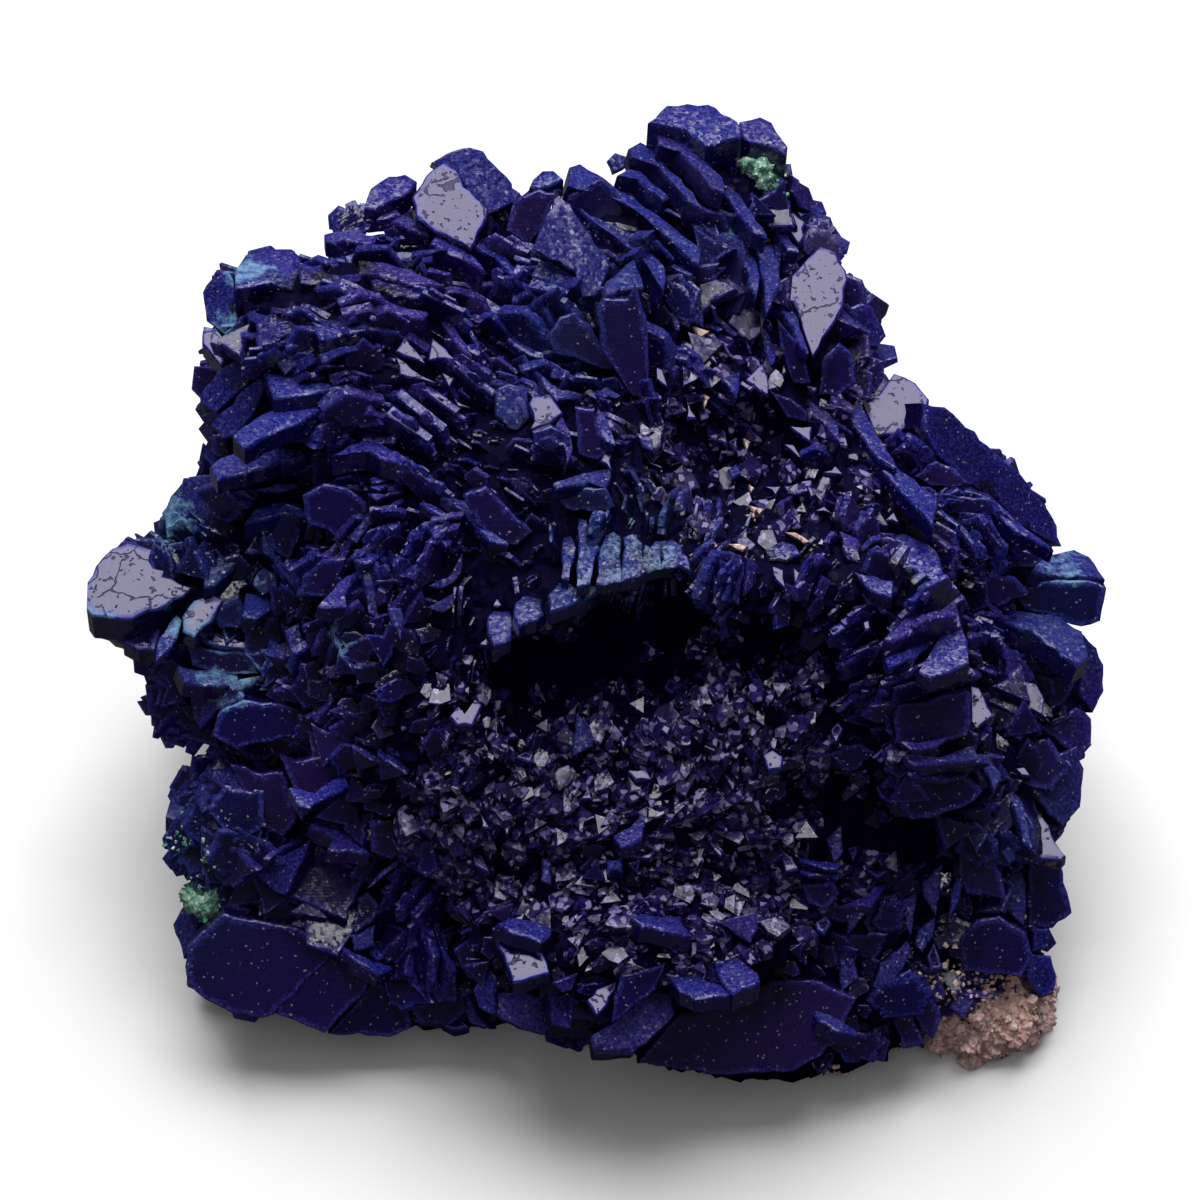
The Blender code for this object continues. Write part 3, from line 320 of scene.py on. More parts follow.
# Plates with the outline that they show: how they lie, their lift off the massive azurite, their thickness,
# and their corners (across, up)
FACETS = (
    # upper left rosette
    ("left", 0.3, 1.6, ((-18.8, 16.4), (-19.7, 16.1), (-20.2, 15.4), (-20.0, 13.9), (-18.3, 12.7),
        (-18.4, 14.7))),
    ("shelf", 0.3, 2.2, ((-18.5, 16.5), (-18.0, 17.5), (-17.2, 17.8), (-15.6, 17.8), (-14.9, 17.1),
        (-15.4, 15.5), (-16.9, 15.9), (-18.4, 15.6))),
    ("shelf", 0.2, 1.5, ((-15.2, 17.0), (-14.1, 16.7), (-12.9, 15.9), (-15.0, 15.9))),
    ("shelf", 0.4, 1.4, ((-14.7, 14.1), (-12.7, 14.2), (-10.0, 13.3), (-12.1, 13.3), (-14.0, 12.9))),
    ("sheen", 0.4, 1.0, ((-17.3, 13.7), (-15.0, 13.9), (-14.6, 13.7), (-15.7, 13.0), (-16.4, 12.1),
        (-17.2, 12.4))),
    ("mirror", 0.5, 1.4, ((-20.0, 13.6), (-19.4, 13.5), (-18.4, 12.3), (-19.1, 11.5), (-20.1, 12.7))),
    ("left", 0.4, 1.8, ((-18.0, 12.1), (-17.0, 11.9), (-16.8, 11.3), (-19.4, 9.1), (-20.2, 9.5),
        (-20.2, 10.0), (-19.0, 11.5))),
    ("left", 0.3, 1.6, ((-18.3, 10.0), (-17.0, 11.0), (-16.9, 10.2), (-18.0, 8.0), (-19.0, 7.7),
        (-19.7, 8.4))),
    ("sheen", 0.5, 0.8, ((-16.4, 12.0), (-14.2, 12.4), (-15.8, 11.0))),
    ("shelf", 0.4, 1.0, ((-16.9, 11.2), (-12.7, 10.5), (-13.2, 10.2), (-16.4, 9.9))),
    ("shelf", 0.4, 1.1, ((-18.5, 7.9), (-16.9, 9.1), (-14.8, 10.0), (-13.4, 9.5), (-17.9, 7.3))),
    ("shelf", 0.4, 0.9, ((-19.7, 6.3), (-18.8, 6.9), (-15.9, 7.7), (-14.1, 7.1), (-19.3, 5.6))),
    ("mirror", 0.2, 0.8, ((-18.8, 5.7), (-15.4, 6.3), (-16.9, 5.7), (-18.7, 5.3))),
    ("shelf", 0.4, 1.1, ((-17.9, 3.4), (-17.4, 4.1), (-15.8, 4.7), (-15.0, 4.4), (-14.6, 3.8), (-16.0, 3.9))),
    ("sheen", 0.4, 0.8, ((-17.4, 5.1), (-16.2, 5.5), (-14.9, 5.3), (-16.0, 4.9))),
    ("shelf", 0.5, 1.2, ((-13.4, 6.9), (-11.6, 7.9), (-9.9, 7.1), (-8.7, 6.2), (-10.0, 6.5), (-11.7, 7.2))),
    ("mirror", 0.6, 0.5, ((-12.2, 6.1), (-11.7, 5.9), (-11.6, 5.5), (-11.9, 5.3))),
    ("mirror", 0.8, 0.6, ((-9.6, 13.1), (-8.5, 11.6), (-10.1, 12.3))),
    ("mirror", 0.8, 0.6, ((-10.1, 12.0), (-7.9, 10.6), (-9.9, 11.1))),
    ("mirror", 0.8, 0.6, ((-8.2, 13.0), (-6.9, 11.8), (-8.4, 11.8))),
    ("mirror", 0.8, 0.6, ((-6.0, 11.9), (-5.5, 10.7), (-6.5, 11.3))),
    ("mirror", 0.8, 0.5, ((-7.7, 11.2), (-7.0, 10.9), (-7.3, 10.4))),
    ("mirror", 0.8, 0.5, ((-6.6, 10.8), (-6.2, 9.8), (-6.8, 10.2))),
    ("shelf", 0.3, 1.0, ((-13.9, 18.5), (-12.4, 18.9), (-11.1, 18.4), (-11.3, 18.0), (-13.8, 18.1))),
    ("shelf", 0.3, 0.8, ((-13.7, 17.6), (-12.6, 17.8), (-11.6, 17.3), (-12.0, 16.9), (-13.6, 17.2))),
    ("shelf", 0.3, 1.0, ((-12.0, 17.0), (-10.6, 16.9), (-9.2, 16.5), (-7.5, 15.6), (-12.0, 16.3))),
    ("shelf", 0.3, 0.8, ((-11.4, 16.0), (-10.4, 16.0), (-8.2, 15.4), (-7.8, 15.0), (-11.2, 15.4))),
    ("shelf", 0.3, 0.9, ((-11.4, 15.1), (-8.4, 14.3), (-8.6, 14.0), (-10.2, 14.2), (-11.4, 14.6))),
    ("slope", 0.4, 2.2, ((-8.3, 18.0), (-7.9, 18.6), (-6.6, 17.8), (-5.4, 16.4))),
    ("slope", 0.4, 1.2, ((-6.0, 17.8), (-5.7, 18.3), (-4.6, 17.5), (-3.0, 15.3), (-3.9, 16.0), (-5.0, 17.3))),
    ("slope", 0.4, 0.9, ((-7.7, 13.8), (-7.3, 14.3), (-6.1, 12.0), (-6.8, 12.6))),
    ("sheen", 0.5, 1.2, ((-5.0, 10.2), (-4.2, 10.6), (-3.2, 10.4), (-3.1, 8.8), (-3.8, 8.1), (-4.9, 8.9))),
    # top left
    ("haze", 0.1, 1.4, ((-11.8, 19.9), (-11.5, 21.0), (-10.6, 21.7), (-9.7, 21.8), (-9.1, 21.4), (-9.4, 20.9),
        (-11.2, 19.8))),
    ("shelf", 0.2, 0.9, ((-12.0, 20.1), (-10.3, 20.1), (-9.9, 19.6), (-11.7, 19.3))),
    ("shelf", 0.3, 1.0, ((-10.5, 19.2), (-9.9, 19.6), (-9.0, 19.2), (-8.4, 18.4))),
    ("mirror", 0.7, 1.8, ((-9.3, 20.4), (-8.3, 21.9), (-7.7, 22.3), (-7.0, 21.9), (-6.6, 21.0), (-5.3, 19.7),
        (-6.2, 17.6), (-8.4, 18.8), (-9.1, 19.4))),
    ("sheen", 0.2, 1.8, ((-8.3, 22.3), (-7.2, 22.9), (-6.3, 23.1), (-5.6, 22.9), (-4.1, 21.2), (-3.9, 20.2),
        (-5.4, 19.5), (-6.7, 21.2))),
    ("face", 0.3, 1.2, ((-4.0, 20.1), (-3.1, 20.6), (-1.8, 20.6), (-2.3, 18.9), (-3.2, 17.9), (-4.4, 18.6))),
    ("shelf", 0.2, 0.8, ((-4.0, 20.2), (-3.2, 20.9), (-2.2, 21.1), (-1.5, 20.9))),
    ("haze", 0.2, 1.2, ((-3.2, 20.9), (-3.0, 21.4), (-2.5, 21.9), (-1.9, 21.9), (-1.4, 21.4), (-2.2, 21.0))),
    ("slope", 0.4, 0.9, ((-4.4, 18.3), (-4.0, 18.7), (-3.0, 17.3), (-3.6, 17.4))),
    # tall blades
    ("sheen", 1.0, 1.2, ((-3.0, 17.6), (-1.6, 20.7), (1.0, 16.7), (0.4, 15.1), (-0.4, 15.0), (-0.8, 16.4))),
    ("sheen", 1.0, 0.8, ((-2.4, 14.9), (-2.0, 16.4), (-0.9, 14.5), (-1.8, 14.6))),
    ("face", 1.0, 0.9, ((-2.3, 13.0), (-1.6, 14.0), (-0.8, 14.3), (0.0, 13.6), (1.2, 11.3), (-1.8, 12.1))),
    ("face", 1.4, 1.4, ((0.3, 14.5), (0.7, 15.0), (1.9, 15.0), (2.3, 15.7), (2.9, 14.0), (3.1, 9.8),
        (2.2, 9.9), (0.5, 12.5))),
    ("slope", 1.4, 0.8, ((0.8, 15.9), (2.3, 17.1), (2.8, 15.6), (1.6, 15.5), (0.8, 15.1))),
    ("slope", 0.4, 1.6, ((-1.1, 22.1), (-0.6, 22.3), (3.6, 19.4), (5.6, 17.7), (5.7, 16.8), (4.6, 17.6),
        (2.6, 19.7), (0.4, 20.9), (-1.2, 21.0))),
    ("slope", 0.8, 1.2, ((-0.6, 19.8), (3.4, 17.2), (3.9, 16.6), (3.8, 15.4), (3.4, 16.2), (2.4, 17.4),
        (-0.2, 19.3))),
    ("slope", 0.3, 1.1, ((1.4, 21.6), (2.0, 22.0), (2.6, 21.9), (4.1, 20.4), (3.8, 20.2), (2.4, 21.5))),
    ("slope", 0.3, 1.2, ((2.0, 23.1), (2.6, 23.5), (3.4, 22.9), (5.4, 20.6), (6.0, 19.6), (5.2, 20.1),
        (3.2, 22.4), (2.2, 22.6))),
    ("slope", 0.3, 1.2, ((3.5, 23.9), (4.4, 24.1), (6.9, 21.4), (7.0, 20.6), (6.2, 21.0), (4.4, 23.2),
        (3.6, 23.2))),
    ("sheen", 0.3, 0.8, ((0.9, 22.4), (1.3, 22.8), (1.9, 22.6), (1.8, 22.0), (1.2, 21.7))),
    # the peak and its right slope
    ("haze", 0.2, 2.0, ((3.0, 24.4), (4.0, 25.4), (6.2, 25.5), (7.7, 24.5), (7.9, 23.6), (6.0, 23.1),
        (5.0, 24.0))),
    ("haze", 0.2, 1.6, ((7.8, 24.5), (8.9, 24.8), (9.5, 24.5), (10.3, 23.1), (10.2, 22.6), (9.2, 23.2),
        (8.0, 23.6))),
    ("right", 0.2, 1.2, ((10.6, 21.6), (11.5, 21.0), (11.8, 20.2), (11.6, 19.7), (11.0, 20.0), (10.5, 20.8))),
    ("mirror", 0.4, 0.9, ((9.1, 20.5), (9.3, 21.1), (9.9, 21.1), (9.8, 20.5), (9.4, 19.9))),
    ("mirror", 0.4, 0.9, ((10.2, 19.5), (10.6, 19.8), (11.3, 19.2), (10.9, 18.0), (10.2, 19.0))),
    ("mirror", 0.6, 1.6, ((10.0, 15.0), (10.0, 15.9), (12.0, 17.9), (12.8, 17.6), (13.4, 16.1), (13.1, 14.6),
        (11.5, 12.0), (10.5, 14.9))),
    ("right", 0.3, 1.4, ((13.0, 13.9), (13.5, 14.6), (14.2, 14.9), (14.8, 14.7), (15.5, 13.2), (15.0, 12.6),
        (13.9, 12.8))),
    ("right", 0.3, 1.4, ((14.0, 12.4), (14.9, 12.9), (15.5, 12.1), (15.4, 11.0), (14.9, 10.2), (14.2, 10.1))),
    ("face", 0.4, 1.2, ((12.1, 12.0), (12.9, 12.7), (13.4, 12.3), (13.8, 10.6), (12.8, 9.9), (11.8, 10.0))),
    ("mirror", 0.5, 1.5, ((14.1, 9.9), (15.0, 10.1), (15.9, 11.3), (17.0, 10.8), (17.7, 9.9), (17.3, 8.4),
        (14.9, 7.9))),
    ("sheen", 0.5, 1.0, ((6.2, 18.2), (6.9, 18.6), (7.9, 18.3), (8.2, 17.4), (6.9, 17.0))),
    ("slope", 0.5, 1.0, ((7.8, 18.2), (8.6, 17.2), (8.8, 16.2), (8.6, 15.0), (7.8, 17.3))),
    ("slope", 0.5, 1.0, ((8.7, 18.1), (9.5, 18.0), (9.9, 17.0), (9.8, 15.6), (9.1, 14.2))),
    ("slope", 0.4, 0.9, ((9.6, 19.0), (10.3, 18.6), (10.9, 17.6), (10.3, 17.7))),
    ("slope", 0.6, 0.9, ((9.9, 14.6), (10.6, 14.5), (11.3, 12.2), (10.9, 12.6))),
    ("slope", 0.3, 1.1, ((7.1, 21.2), (7.8, 20.6), (9.2, 18.2), (8.5, 18.5), (7.0, 20.6))),
    # the hollow
    ("mirror", 0.8, 0.6, ((8.9, 11.7), (8.0, 10.8), (9.2, 10.0), (9.2, 11.0))),
    ("mirror", 0.8, 0.5, ((10.0, 11.7), (10.2, 11.2), (9.9, 11.0))),
    ("mirror", 0.8, 0.6, ((6.3, 12.7), (5.6, 12.2), (6.6, 11.6))),
    ("mirror", 0.8, 0.6, ((10.3, 8.4), (11.5, 8.4), (11.4, 7.6))),
    ("mirror", 0.8, 0.5, ((10.0, 7.5), (10.5, 7.5), (11.0, 6.6))),
    ("mirror", 0.8, 0.6, ((6.9, 8.3), (6.3, 7.6), (7.1, 7.5))),
    ("mirror", 0.8, 0.5, ((7.1, 7.6), (7.6, 7.0), (7.6, 7.9))),
    ("mirror", 0.8, 0.5, ((5.0, 9.8), (5.5, 8.8), (5.0, 8.8))),
    ("mirror", 0.8, 0.5, ((12.0, 6.0), (12.7, 6.4), (13.1, 5.9))),
    ("mirror", 0.8, 0.5, ((9.0, 5.3), (9.9, 5.3), (9.6, 4.8))),
    ("slope", 0.6, 1.0, ((11.4, 9.7), (12.3, 9.2), (12.9, 8.3), (12.9, 7.6), (12.2, 8.5), (11.5, 9.0))),
    ("slope", 0.6, 1.4, ((13.0, 9.3), (14.2, 9.3), (15.9, 6.2), (14.9, 6.8))),
    ("slope", 0.6, 0.8, ((8.8, 14.0), (9.3, 13.2), (9.6, 11.8), (9.3, 11.6))),
    ("face", 0.6, 1.0, ((9.7, 13.9), (11.1, 12.2), (11.4, 10.6), (10.5, 10.6), (9.8, 12.6))),
    ("face", 0.6, 0.9, ((9.3, 10.2), (10.4, 9.8), (11.3, 9.0), (11.2, 8.6), (10.2, 8.8))),
    ("mirror", 0.8, 0.6, ((10.0, 5.3), (10.8, 5.5), (10.8, 4.8), (10.2, 4.9))),
    ("mirror", 0.8, 0.5, ((11.2, 5.3), (12.0, 5.0), (11.4, 4.7))),
    ("mirror", 0.8, 0.6, ((12.7, 5.0), (13.6, 5.1), (13.5, 4.5))),
    ("mirror", 0.8, 0.5, ((11.6, 4.0), (12.1, 4.3), (12.5, 3.9))),
    # the plates above the crest
    ("sheen", 0.6, 0.9, ((-2.0, 5.4), (-0.6, 5.9), (1.2, 6.2), (1.0, 5.3), (0.0, 5.5))),
    ("face", 0.6, 1.0, ((-1.6, 5.2), (0.8, 5.2), (1.3, 4.2), (0.0, 3.9), (-1.4, 4.2))),
    ("face", 0.6, 1.1, ((-6.6, 4.8), (-5.4, 5.3), (-3.0, 2.9), (-3.8, 2.2), (-5.0, 2.4), (-6.0, 3.4))),
    # the crest: its pale ribs, its comb and its dark underside
    ("haze", 0.6, 0.8, ((0.3, 0.3), (0.4, 1.7), (0.8, 2.8), (1.2, 3.0), (1.6, 2.7), (1.6, 0.4))),
    ("haze", 0.65, 0.8, ((1.6, 0.4), (1.7, 2.7), (2.2, 2.9), (2.7, 2.4), (2.8, 1.4), (2.6, 0.7))),
    ("haze", 0.6, 0.8, ((2.6, 0.7), (2.8, 2.3), (3.1, 2.2), (3.4, 2.5), (3.7, 2.5), (3.7, 1.1))),
    ("haze", 0.65, 0.8, ((3.6, 1.1), (3.7, 2.5), (4.2, 2.6), (4.7, 2.3), (5.1, 1.6), (5.2, 0.9), (4.6, 1.2))),
    ("haze", 0.5, 0.8, ((-1.5, 0.6), (-1.4, 2.7), (-1.0, 2.8), (-0.7, 2.2), (-1.1, 0.5))),
    ("haze", 0.7, 0.8, ((-0.7, 0.1), (-0.6, 3.7), (-0.2, 3.6), (0.0, 2.6), (0.5, 2.2), (0.0, 0.3))),
    ("haze", 0.6, 1.0, ((-5.3, -1.4), (-5.0, -1.1), (-4.2, -1.1), (-4.0, -1.5), (-4.1, -2.6), (-5.0, -2.9),
        (-5.3, -2.3))),
    ("haze", 0.6, 1.0, ((-3.9, -0.7), (-3.4, -0.3), (-2.5, -0.5), (-2.4, -1.3), (-3.7, -2.0), (-4.0, -1.4))),
    ("haze", 0.6, 1.0, ((-2.2, -0.3), (-1.7, 0.3), (-1.1, 0.3), (-0.6, 0.0), (1.0, 0.3), (0.2, -0.3),
        (-2.1, -1.2))),
    ("mirror", 1.0, 0.5, ((-4.8, -1.7), (-4.4, -1.5), (-4.3, -1.9))),
    ("mirror", 0.8, 0.5, ((-5.8, -2.9), (-5.3, -2.5), (-5.3, -3.0))),
    ("mirror", 0.9, 0.7, ((5.7, 1.5), (6.5, 1.0), (6.0, 0.5))),
    ("haze", 0.7, 0.7, ((7.1, 2.0), (7.9, 1.7), (7.5, 1.1))),
    ("right", 0.6, 0.8, ((6.7, 1.6), (7.1, 1.3), (7.1, -0.2), (6.8, 0.0))),
    ("right", 0.6, 0.8, ((7.6, 1.5), (8.0, 1.2), (7.7, -0.9), (7.4, -0.6))),
    ("right", 0.6, 0.8, ((8.2, 1.6), (8.7, 1.2), (8.4, 0.0), (8.0, -0.4))),
    ("haze", 0.7, 1.0, ((9.0, 2.0), (9.9, 2.5), (10.6, 2.3), (10.9, 1.8), (10.2, 1.4), (9.2, 1.5))),
    ("mirror", 0.9, 0.7, ((9.4, 1.2), (10.0, 1.0), (10.1, 0.0), (9.6, 0.4))),
    ("mirror", 0.9, 0.6, ((10.5, 1.1), (11.0, 0.7), (10.6, 0.2))),
    ("mirror", 0.9, 0.6, ((11.1, 1.0), (11.9, 0.8), (11.3, 0.4))),
    ("right", 0.6, 0.7, ((10.1, 0.3), (10.6, 0.1), (10.3, -0.8), (10.0, -0.5))),
    ("right", 0.6, 0.7, ((11.1, 0.3), (11.6, 0.3), (11.3, -0.7), (10.9, -0.5))),
    ("right", 0.6, 0.7, ((12.0, 0.7), (12.5, 0.4), (12.0, -0.7), (11.6, -0.3))),
    ("haze", 0.6, 0.9, ((12.9, 3.0), (13.9, 2.6), (14.0, 1.4), (13.3, 1.6))),
    # glints of the bowl
    ("mirror", 0.8, 0.8, ((-7.3, -6.6), (-6.9, -6.1), (-6.6, -6.6), (-5.9, -5.7), (-5.6, -6.0), (-6.1, -7.1),
        (-6.9, -7.1))),
    ("mirror", 0.8, 0.6, ((-3.9, -8.7), (-3.4, -8.4), (-2.9, -8.6), (-3.1, -9.0))),
    ("mirror", 0.8, 0.6, ((3.6, -7.3), (3.8, -7.0), (4.2, -7.2), (4.0, -7.6))),
    ("mirror", 0.9, 0.8, ((8.9, -8.6), (9.4, -8.3), (10.0, -8.7), (9.9, -9.3), (9.2, -9.4))),
    ("mirror", 0.8, 0.6, ((4.1, -4.6), (4.6, -5.0), (4.2, -5.5), (3.8, -5.1))),
    ("mirror", 0.8, 0.5, ((2.5, -5.3), (3.0, -5.1), (3.3, -5.6))),
    ("mirror", 0.8, 0.5, ((1.5, -7.8), (2.0, -7.6), (1.7, -8.3))),
    ("mirror", 0.8, 0.6, ((8.1, -4.2), (8.6, -4.3), (8.9, -4.8), (8.4, -4.8))),
    ("mirror", 0.8, 0.5, ((10.7, -4.9), (11.5, -5.0), (11.0, -5.3))),
    ("mirror", 0.8, 0.6, ((12.4, -7.3), (12.8, -6.9), (13.1, -7.2), (12.7, -8.0))),
    ("mirror", 0.8, 0.6, ((1.9, -9.4), (2.9, -9.3), (3.2, -9.9), (2.3, -9.9))),
    ("sheen", 0.6, 1.0, ((-0.7, -6.4), (0.2, -7.6), (0.2, -8.2), (-0.9, -8.7))),
    # left lobe
    ("left", 0.1, 1.6, ((-22.3, 3.9), (-21.9, 4.8), (-20.9, 5.8), (-19.6, 5.9), (-18.4, 3.0), (-19.4, 2.4),
        (-20.9, 2.9), (-22.1, 2.6))),
    ("mirror", 0.6, 0.5, ((-20.9, 4.1), (-19.0, 2.7), (-19.6, 2.9))),
    ("mirror", 0.4, 2.4, ((-26.4, -0.6), (-25.6, 1.2), (-24.8, 2.1), (-24.0, 2.4), (-22.5, 2.0), (-21.8, 1.6),
        (-22.1, 0.6), (-20.6, 0.0), (-22.0, -0.9), (-23.7, -1.6), (-25.8, -1.4))),
    ("satin", 0.2, 1.4, ((-26.1, -1.5), (-24.2, -2.0), (-24.1, -3.1), (-25.7, -2.3))),
    ("mirror", 0.5, 1.4, ((-24.1, -2.2), (-23.7, -1.5), (-22.8, -1.2), (-22.2, -1.8), (-22.5, -3.2),
        (-23.4, -3.2), (-24.2, -2.8))),
    ("left", 0.2, 1.4, ((-24.2, -3.2), (-22.6, -3.4), (-22.2, -4.3), (-23.0, -4.9), (-23.9, -4.4))),
    ("haze", 0.5, 0.9, ((-22.4, -2.6), (-21.4, -1.3), (-21.1, -1.6), (-21.6, -2.9), (-22.5, -3.8))),
    ("mirror", 0.7, 1.4, ((-21.1, -1.4), (-20.5, -0.6), (-19.6, -0.2), (-19.0, -0.6), (-19.6, -1.7),
        (-20.5, -2.5), (-21.1, -2.2))),
    ("mirror", 0.7, 0.8, ((-20.4, -2.5), (-19.8, -2.2), (-17.5, -2.8), (-17.8, -3.1), (-19.4, -3.0))),
    ("face", 0.8, 1.2, ((-19.5, -1.6), (-19.0, -0.7), (-18.2, -0.4), (-17.9, -1.4), (-18.2, -2.1),
        (-19.2, -2.1))),
    ("face", 0.5, 1.4, ((-21.0, -2.7), (-19.4, -3.2), (-17.8, -3.3), (-17.2, -4.4), (-18.8, -4.5),
        (-20.6, -4.0))),
    ("slope", 0.4, 1.0, ((-21.4, -4.0), (-18.2, -4.4), (-18.2, -4.9), (-19.6, -5.0), (-21.0, -4.8))),
    ("left", 0.4, 1.4, ((-20.9, -5.0), (-18.4, -5.0), (-17.9, -5.6), (-19.4, -6.4), (-20.2, -7.3),
        (-20.7, -6.2))),
    ("face", 0.4, 2.0, ((-19.2, -6.4), (-18.0, -5.8), (-16.0, -6.0), (-14.5, -6.4), (-14.9, -7.6),
        (-18.4, -8.3), (-19.6, -7.6))),
    ("haze", 0.4, 1.0, ((-20.0, 0.9), (-19.5, 1.6), (-18.6, 1.8), (-18.2, 1.4), (-19.4, 0.2), (-20.0, 0.1))),
    ("mirror", 0.7, 0.9, ((-17.9, 1.9), (-17.1, 3.1), (-16.9, 1.9))),
    ("right", 0.7, 0.9, ((-17.0, 3.1), (-16.3, 1.8), (-15.7, 1.1), (-16.8, 1.8))),
    ("sheen", 0.6, 1.0, ((-17.5, 0.2), (-16.9, 1.1), (-16.2, 0.6), (-16.1, -0.2), (-17.0, -0.4))),
    ("slope", 0.6, 0.9, ((-17.8, -0.2), (-16.8, -0.3), (-16.2, -0.9), (-17.2, -1.5), (-18.0, -1.4))),
    ("slope", 0.8, 0.9, ((-14.1, -0.9), (-13.0, 0.4), (-12.4, 0.8), (-12.6, -0.9))),
    ("slope", 0.7, 0.7, ((-14.5, -1.8), (-13.6, -1.1), (-12.8, -1.1), (-13.4, -1.5))),
    ("sheen", 0.8, 0.9, ((-11.8, 0.9), (-11.3, 1.0), (-10.9, -1.7), (-11.5, -1.3))),
    ("sheen", 0.8, 0.9, ((-10.5, -1.0), (-9.8, -1.0), (-9.6, -2.0), (-9.8, -2.8), (-10.3, -1.9))),
    ("mirror", 0.8, 0.7, ((-9.7, 2.2), (-8.9, 3.3), (-8.7, 2.1))),
    ("sheen", 0.7, 0.7, ((-11.9, 2.0), (-11.1, 2.8), (-10.8, 2.3), (-11.6, 1.6))),
    ("face", 0.4, 1.2, ((-17.2, 3.2), (-15.8, 4.4), (-14.9, 4.1), (-15.0, 2.6), (-15.6, 1.4), (-16.4, 1.9))),
    ("face", 0.5, 1.2, ((-14.9, 4.8), (-13.8, 5.4), (-12.6, 5.2), (-11.6, 4.4), (-11.5, 3.9), (-12.3, 3.2),
        (-12.9, 2.3), (-13.6, 3.0), (-14.6, 3.3))),
    ("slope", 0.5, 0.8, ((-9.9, 6.9), (-9.5, 6.9), (-8.6, 6.0), (-7.8, 5.7), (-8.6, 5.6), (-9.2, 5.9))),
    ("shelf", 0.6, 0.25, ((-11.3, 6.3), (-10.1, 6.4), (-10.0, 6.2), (-11.2, 6.1))),
    ("shelf", 0.6, 0.25, ((-11.4, 5.7), (-10.2, 6.0), (-10.0, 5.8), (-11.3, 5.5))),
    ("shelf", 0.6, 0.25, ((-11.4, 5.3), (-9.9, 5.6), (-10.0, 5.4), (-11.0, 5.1))),
    ("shelf", 0.6, 0.25, ((-11.5, 4.9), (-10.8, 4.8), (-9.6, 5.2), (-9.7, 5.0), (-11.0, 4.6))),
    ("shelf", 0.6, 0.25, ((-10.8, 4.2), (-9.6, 4.7), (-9.6, 4.5), (-10.6, 4.0))),
    ("shelf", 0.7, 0.4, ((-12.2, 1.5), (-10.5, 2.0), (-11.3, 1.4), (-11.8, 1.3))),
    ("slope", 0.7, 0.6, ((-8.8, 4.5), (-8.0, 4.3), (-7.0, 3.7), (-7.1, 3.4))),
    ("slope", 0.7, 0.6, ((-7.7, 4.8), (-6.4, 4.6), (-5.2, 2.9), (-4.2, 2.3), (-5.2, 2.5), (-6.4, 3.8))),
    ("slope", 0.7, 0.6, ((-8.7, 3.4), (-7.7, 3.1), (-7.1, 2.4), (-7.4, 2.2))),
    ("sheen", 0.7, 0.6, ((-10.0, 0.6), (-9.4, 1.1), (-8.2, 1.6), (-8.4, 1.0), (-9.2, 0.4))),
    ("sheen", 0.7, 0.7, ((-8.4, 0.1), (-7.4, 0.5), (-6.6, 1.9), (-6.6, 0.9), (-7.0, 0.3), (-7.6, 0.0))),
    ("sheen", 0.6, 0.7, ((-8.5, -1.0), (-7.0, -0.2), (-7.0, -0.9), (-7.6, -1.3))),
    ("sheen", 0.6, 0.8, ((-12.6, 2.6), (-11.6, 3.7), (-10.8, 3.9), (-12.1, 2.3))),
    ("mirror", 0.7, 0.6, ((-13.0, -2.9), (-12.7, -2.7), (-12.5, -3.1), (-13.0, -3.4))),
    ("sheen", 0.6, 0.8, ((-16.9, -4.6), (-16.6, -2.6), (-16.2, -2.8), (-16.3, -4.0))),
    ("sheen", 0.6, 0.9, ((-15.8, -2.2), (-15.1, -1.8), (-14.8, -2.8), (-14.9, -3.6), (-15.5, -3.4))),
    # lower left
    ("haze", 0.1, 1.2, ((-21.9, -10.9), (-21.2, -9.9), (-20.9, -9.9), (-21.1, -12.0), (-22.1, -11.8))),
    ("sheen", 0.4, 1.0, ((-20.5, -10.6), (-20.1, -10.1), (-19.4, -10.2), (-19.1, -11.0), (-20.1, -11.7))),
    ("face", 0.5, 1.0, ((-18.7, -9.1), (-17.9, -9.2), (-17.0, -9.6), (-15.9, -9.5), (-15.2, -11.8),
        (-15.9, -12.9), (-16.5, -12.6), (-17.6, -11.6), (-17.9, -10.6))),
    ("left", 0.5, 0.8, ((-19.0, -9.5), (-18.6, -9.4), (-17.6, -11.4), (-18.3, -10.9), (-18.9, -10.1))),
    ("slope", 0.8, 0.5, ((-18.3, -9.2), (-17.6, -9.2), (-17.3, -9.7), (-17.7, -10.3))),
    ("face", 0.5, 1.1, ((-16.1, -8.7), (-15.3, -9.0), (-14.0, -8.7), (-12.9, -8.2), (-12.3, -9.3),
        (-12.6, -9.9), (-14.6, -11.0), (-15.4, -10.4))),
    ("slope", 1.0, 0.6, ((-15.6, -10.3), (-15.2, -10.6), (-14.4, -10.8), (-13.3, -9.9), (-12.6, -9.6),
        (-12.5, -10.2), (-14.5, -11.3), (-15.1, -11.2))),
    ("left", 0.6, 1.0, ((-15.7, -10.3), (-15.1, -11.1), (-14.6, -11.4), (-14.9, -12.1), (-15.3, -11.6))),
    ("slope", 0.8, 0.9, ((-14.5, -12.2), (-13.1, -11.8), (-11.4, -13.7), (-13.6, -13.5), (-13.3, -12.8))),
    ("slope", 0.4, 0.7, ((-16.9, -13.9), (-15.2, -12.7), (-14.8, -12.9), (-16.6, -14.0))),
    ("left", 0.9, 1.2, ((-17.4, -14.2), (-16.2, -14.0), (-14.5, -13.0), (-15.8, -15.9), (-16.5, -15.6),
        (-17.4, -14.8))),
    ("satin", 1.0, 1.4, ((-15.2, -14.4), (-14.3, -12.9), (-13.7, -13.6), (-11.6, -14.7), (-12.6, -17.2),
        (-15.7, -15.9))),
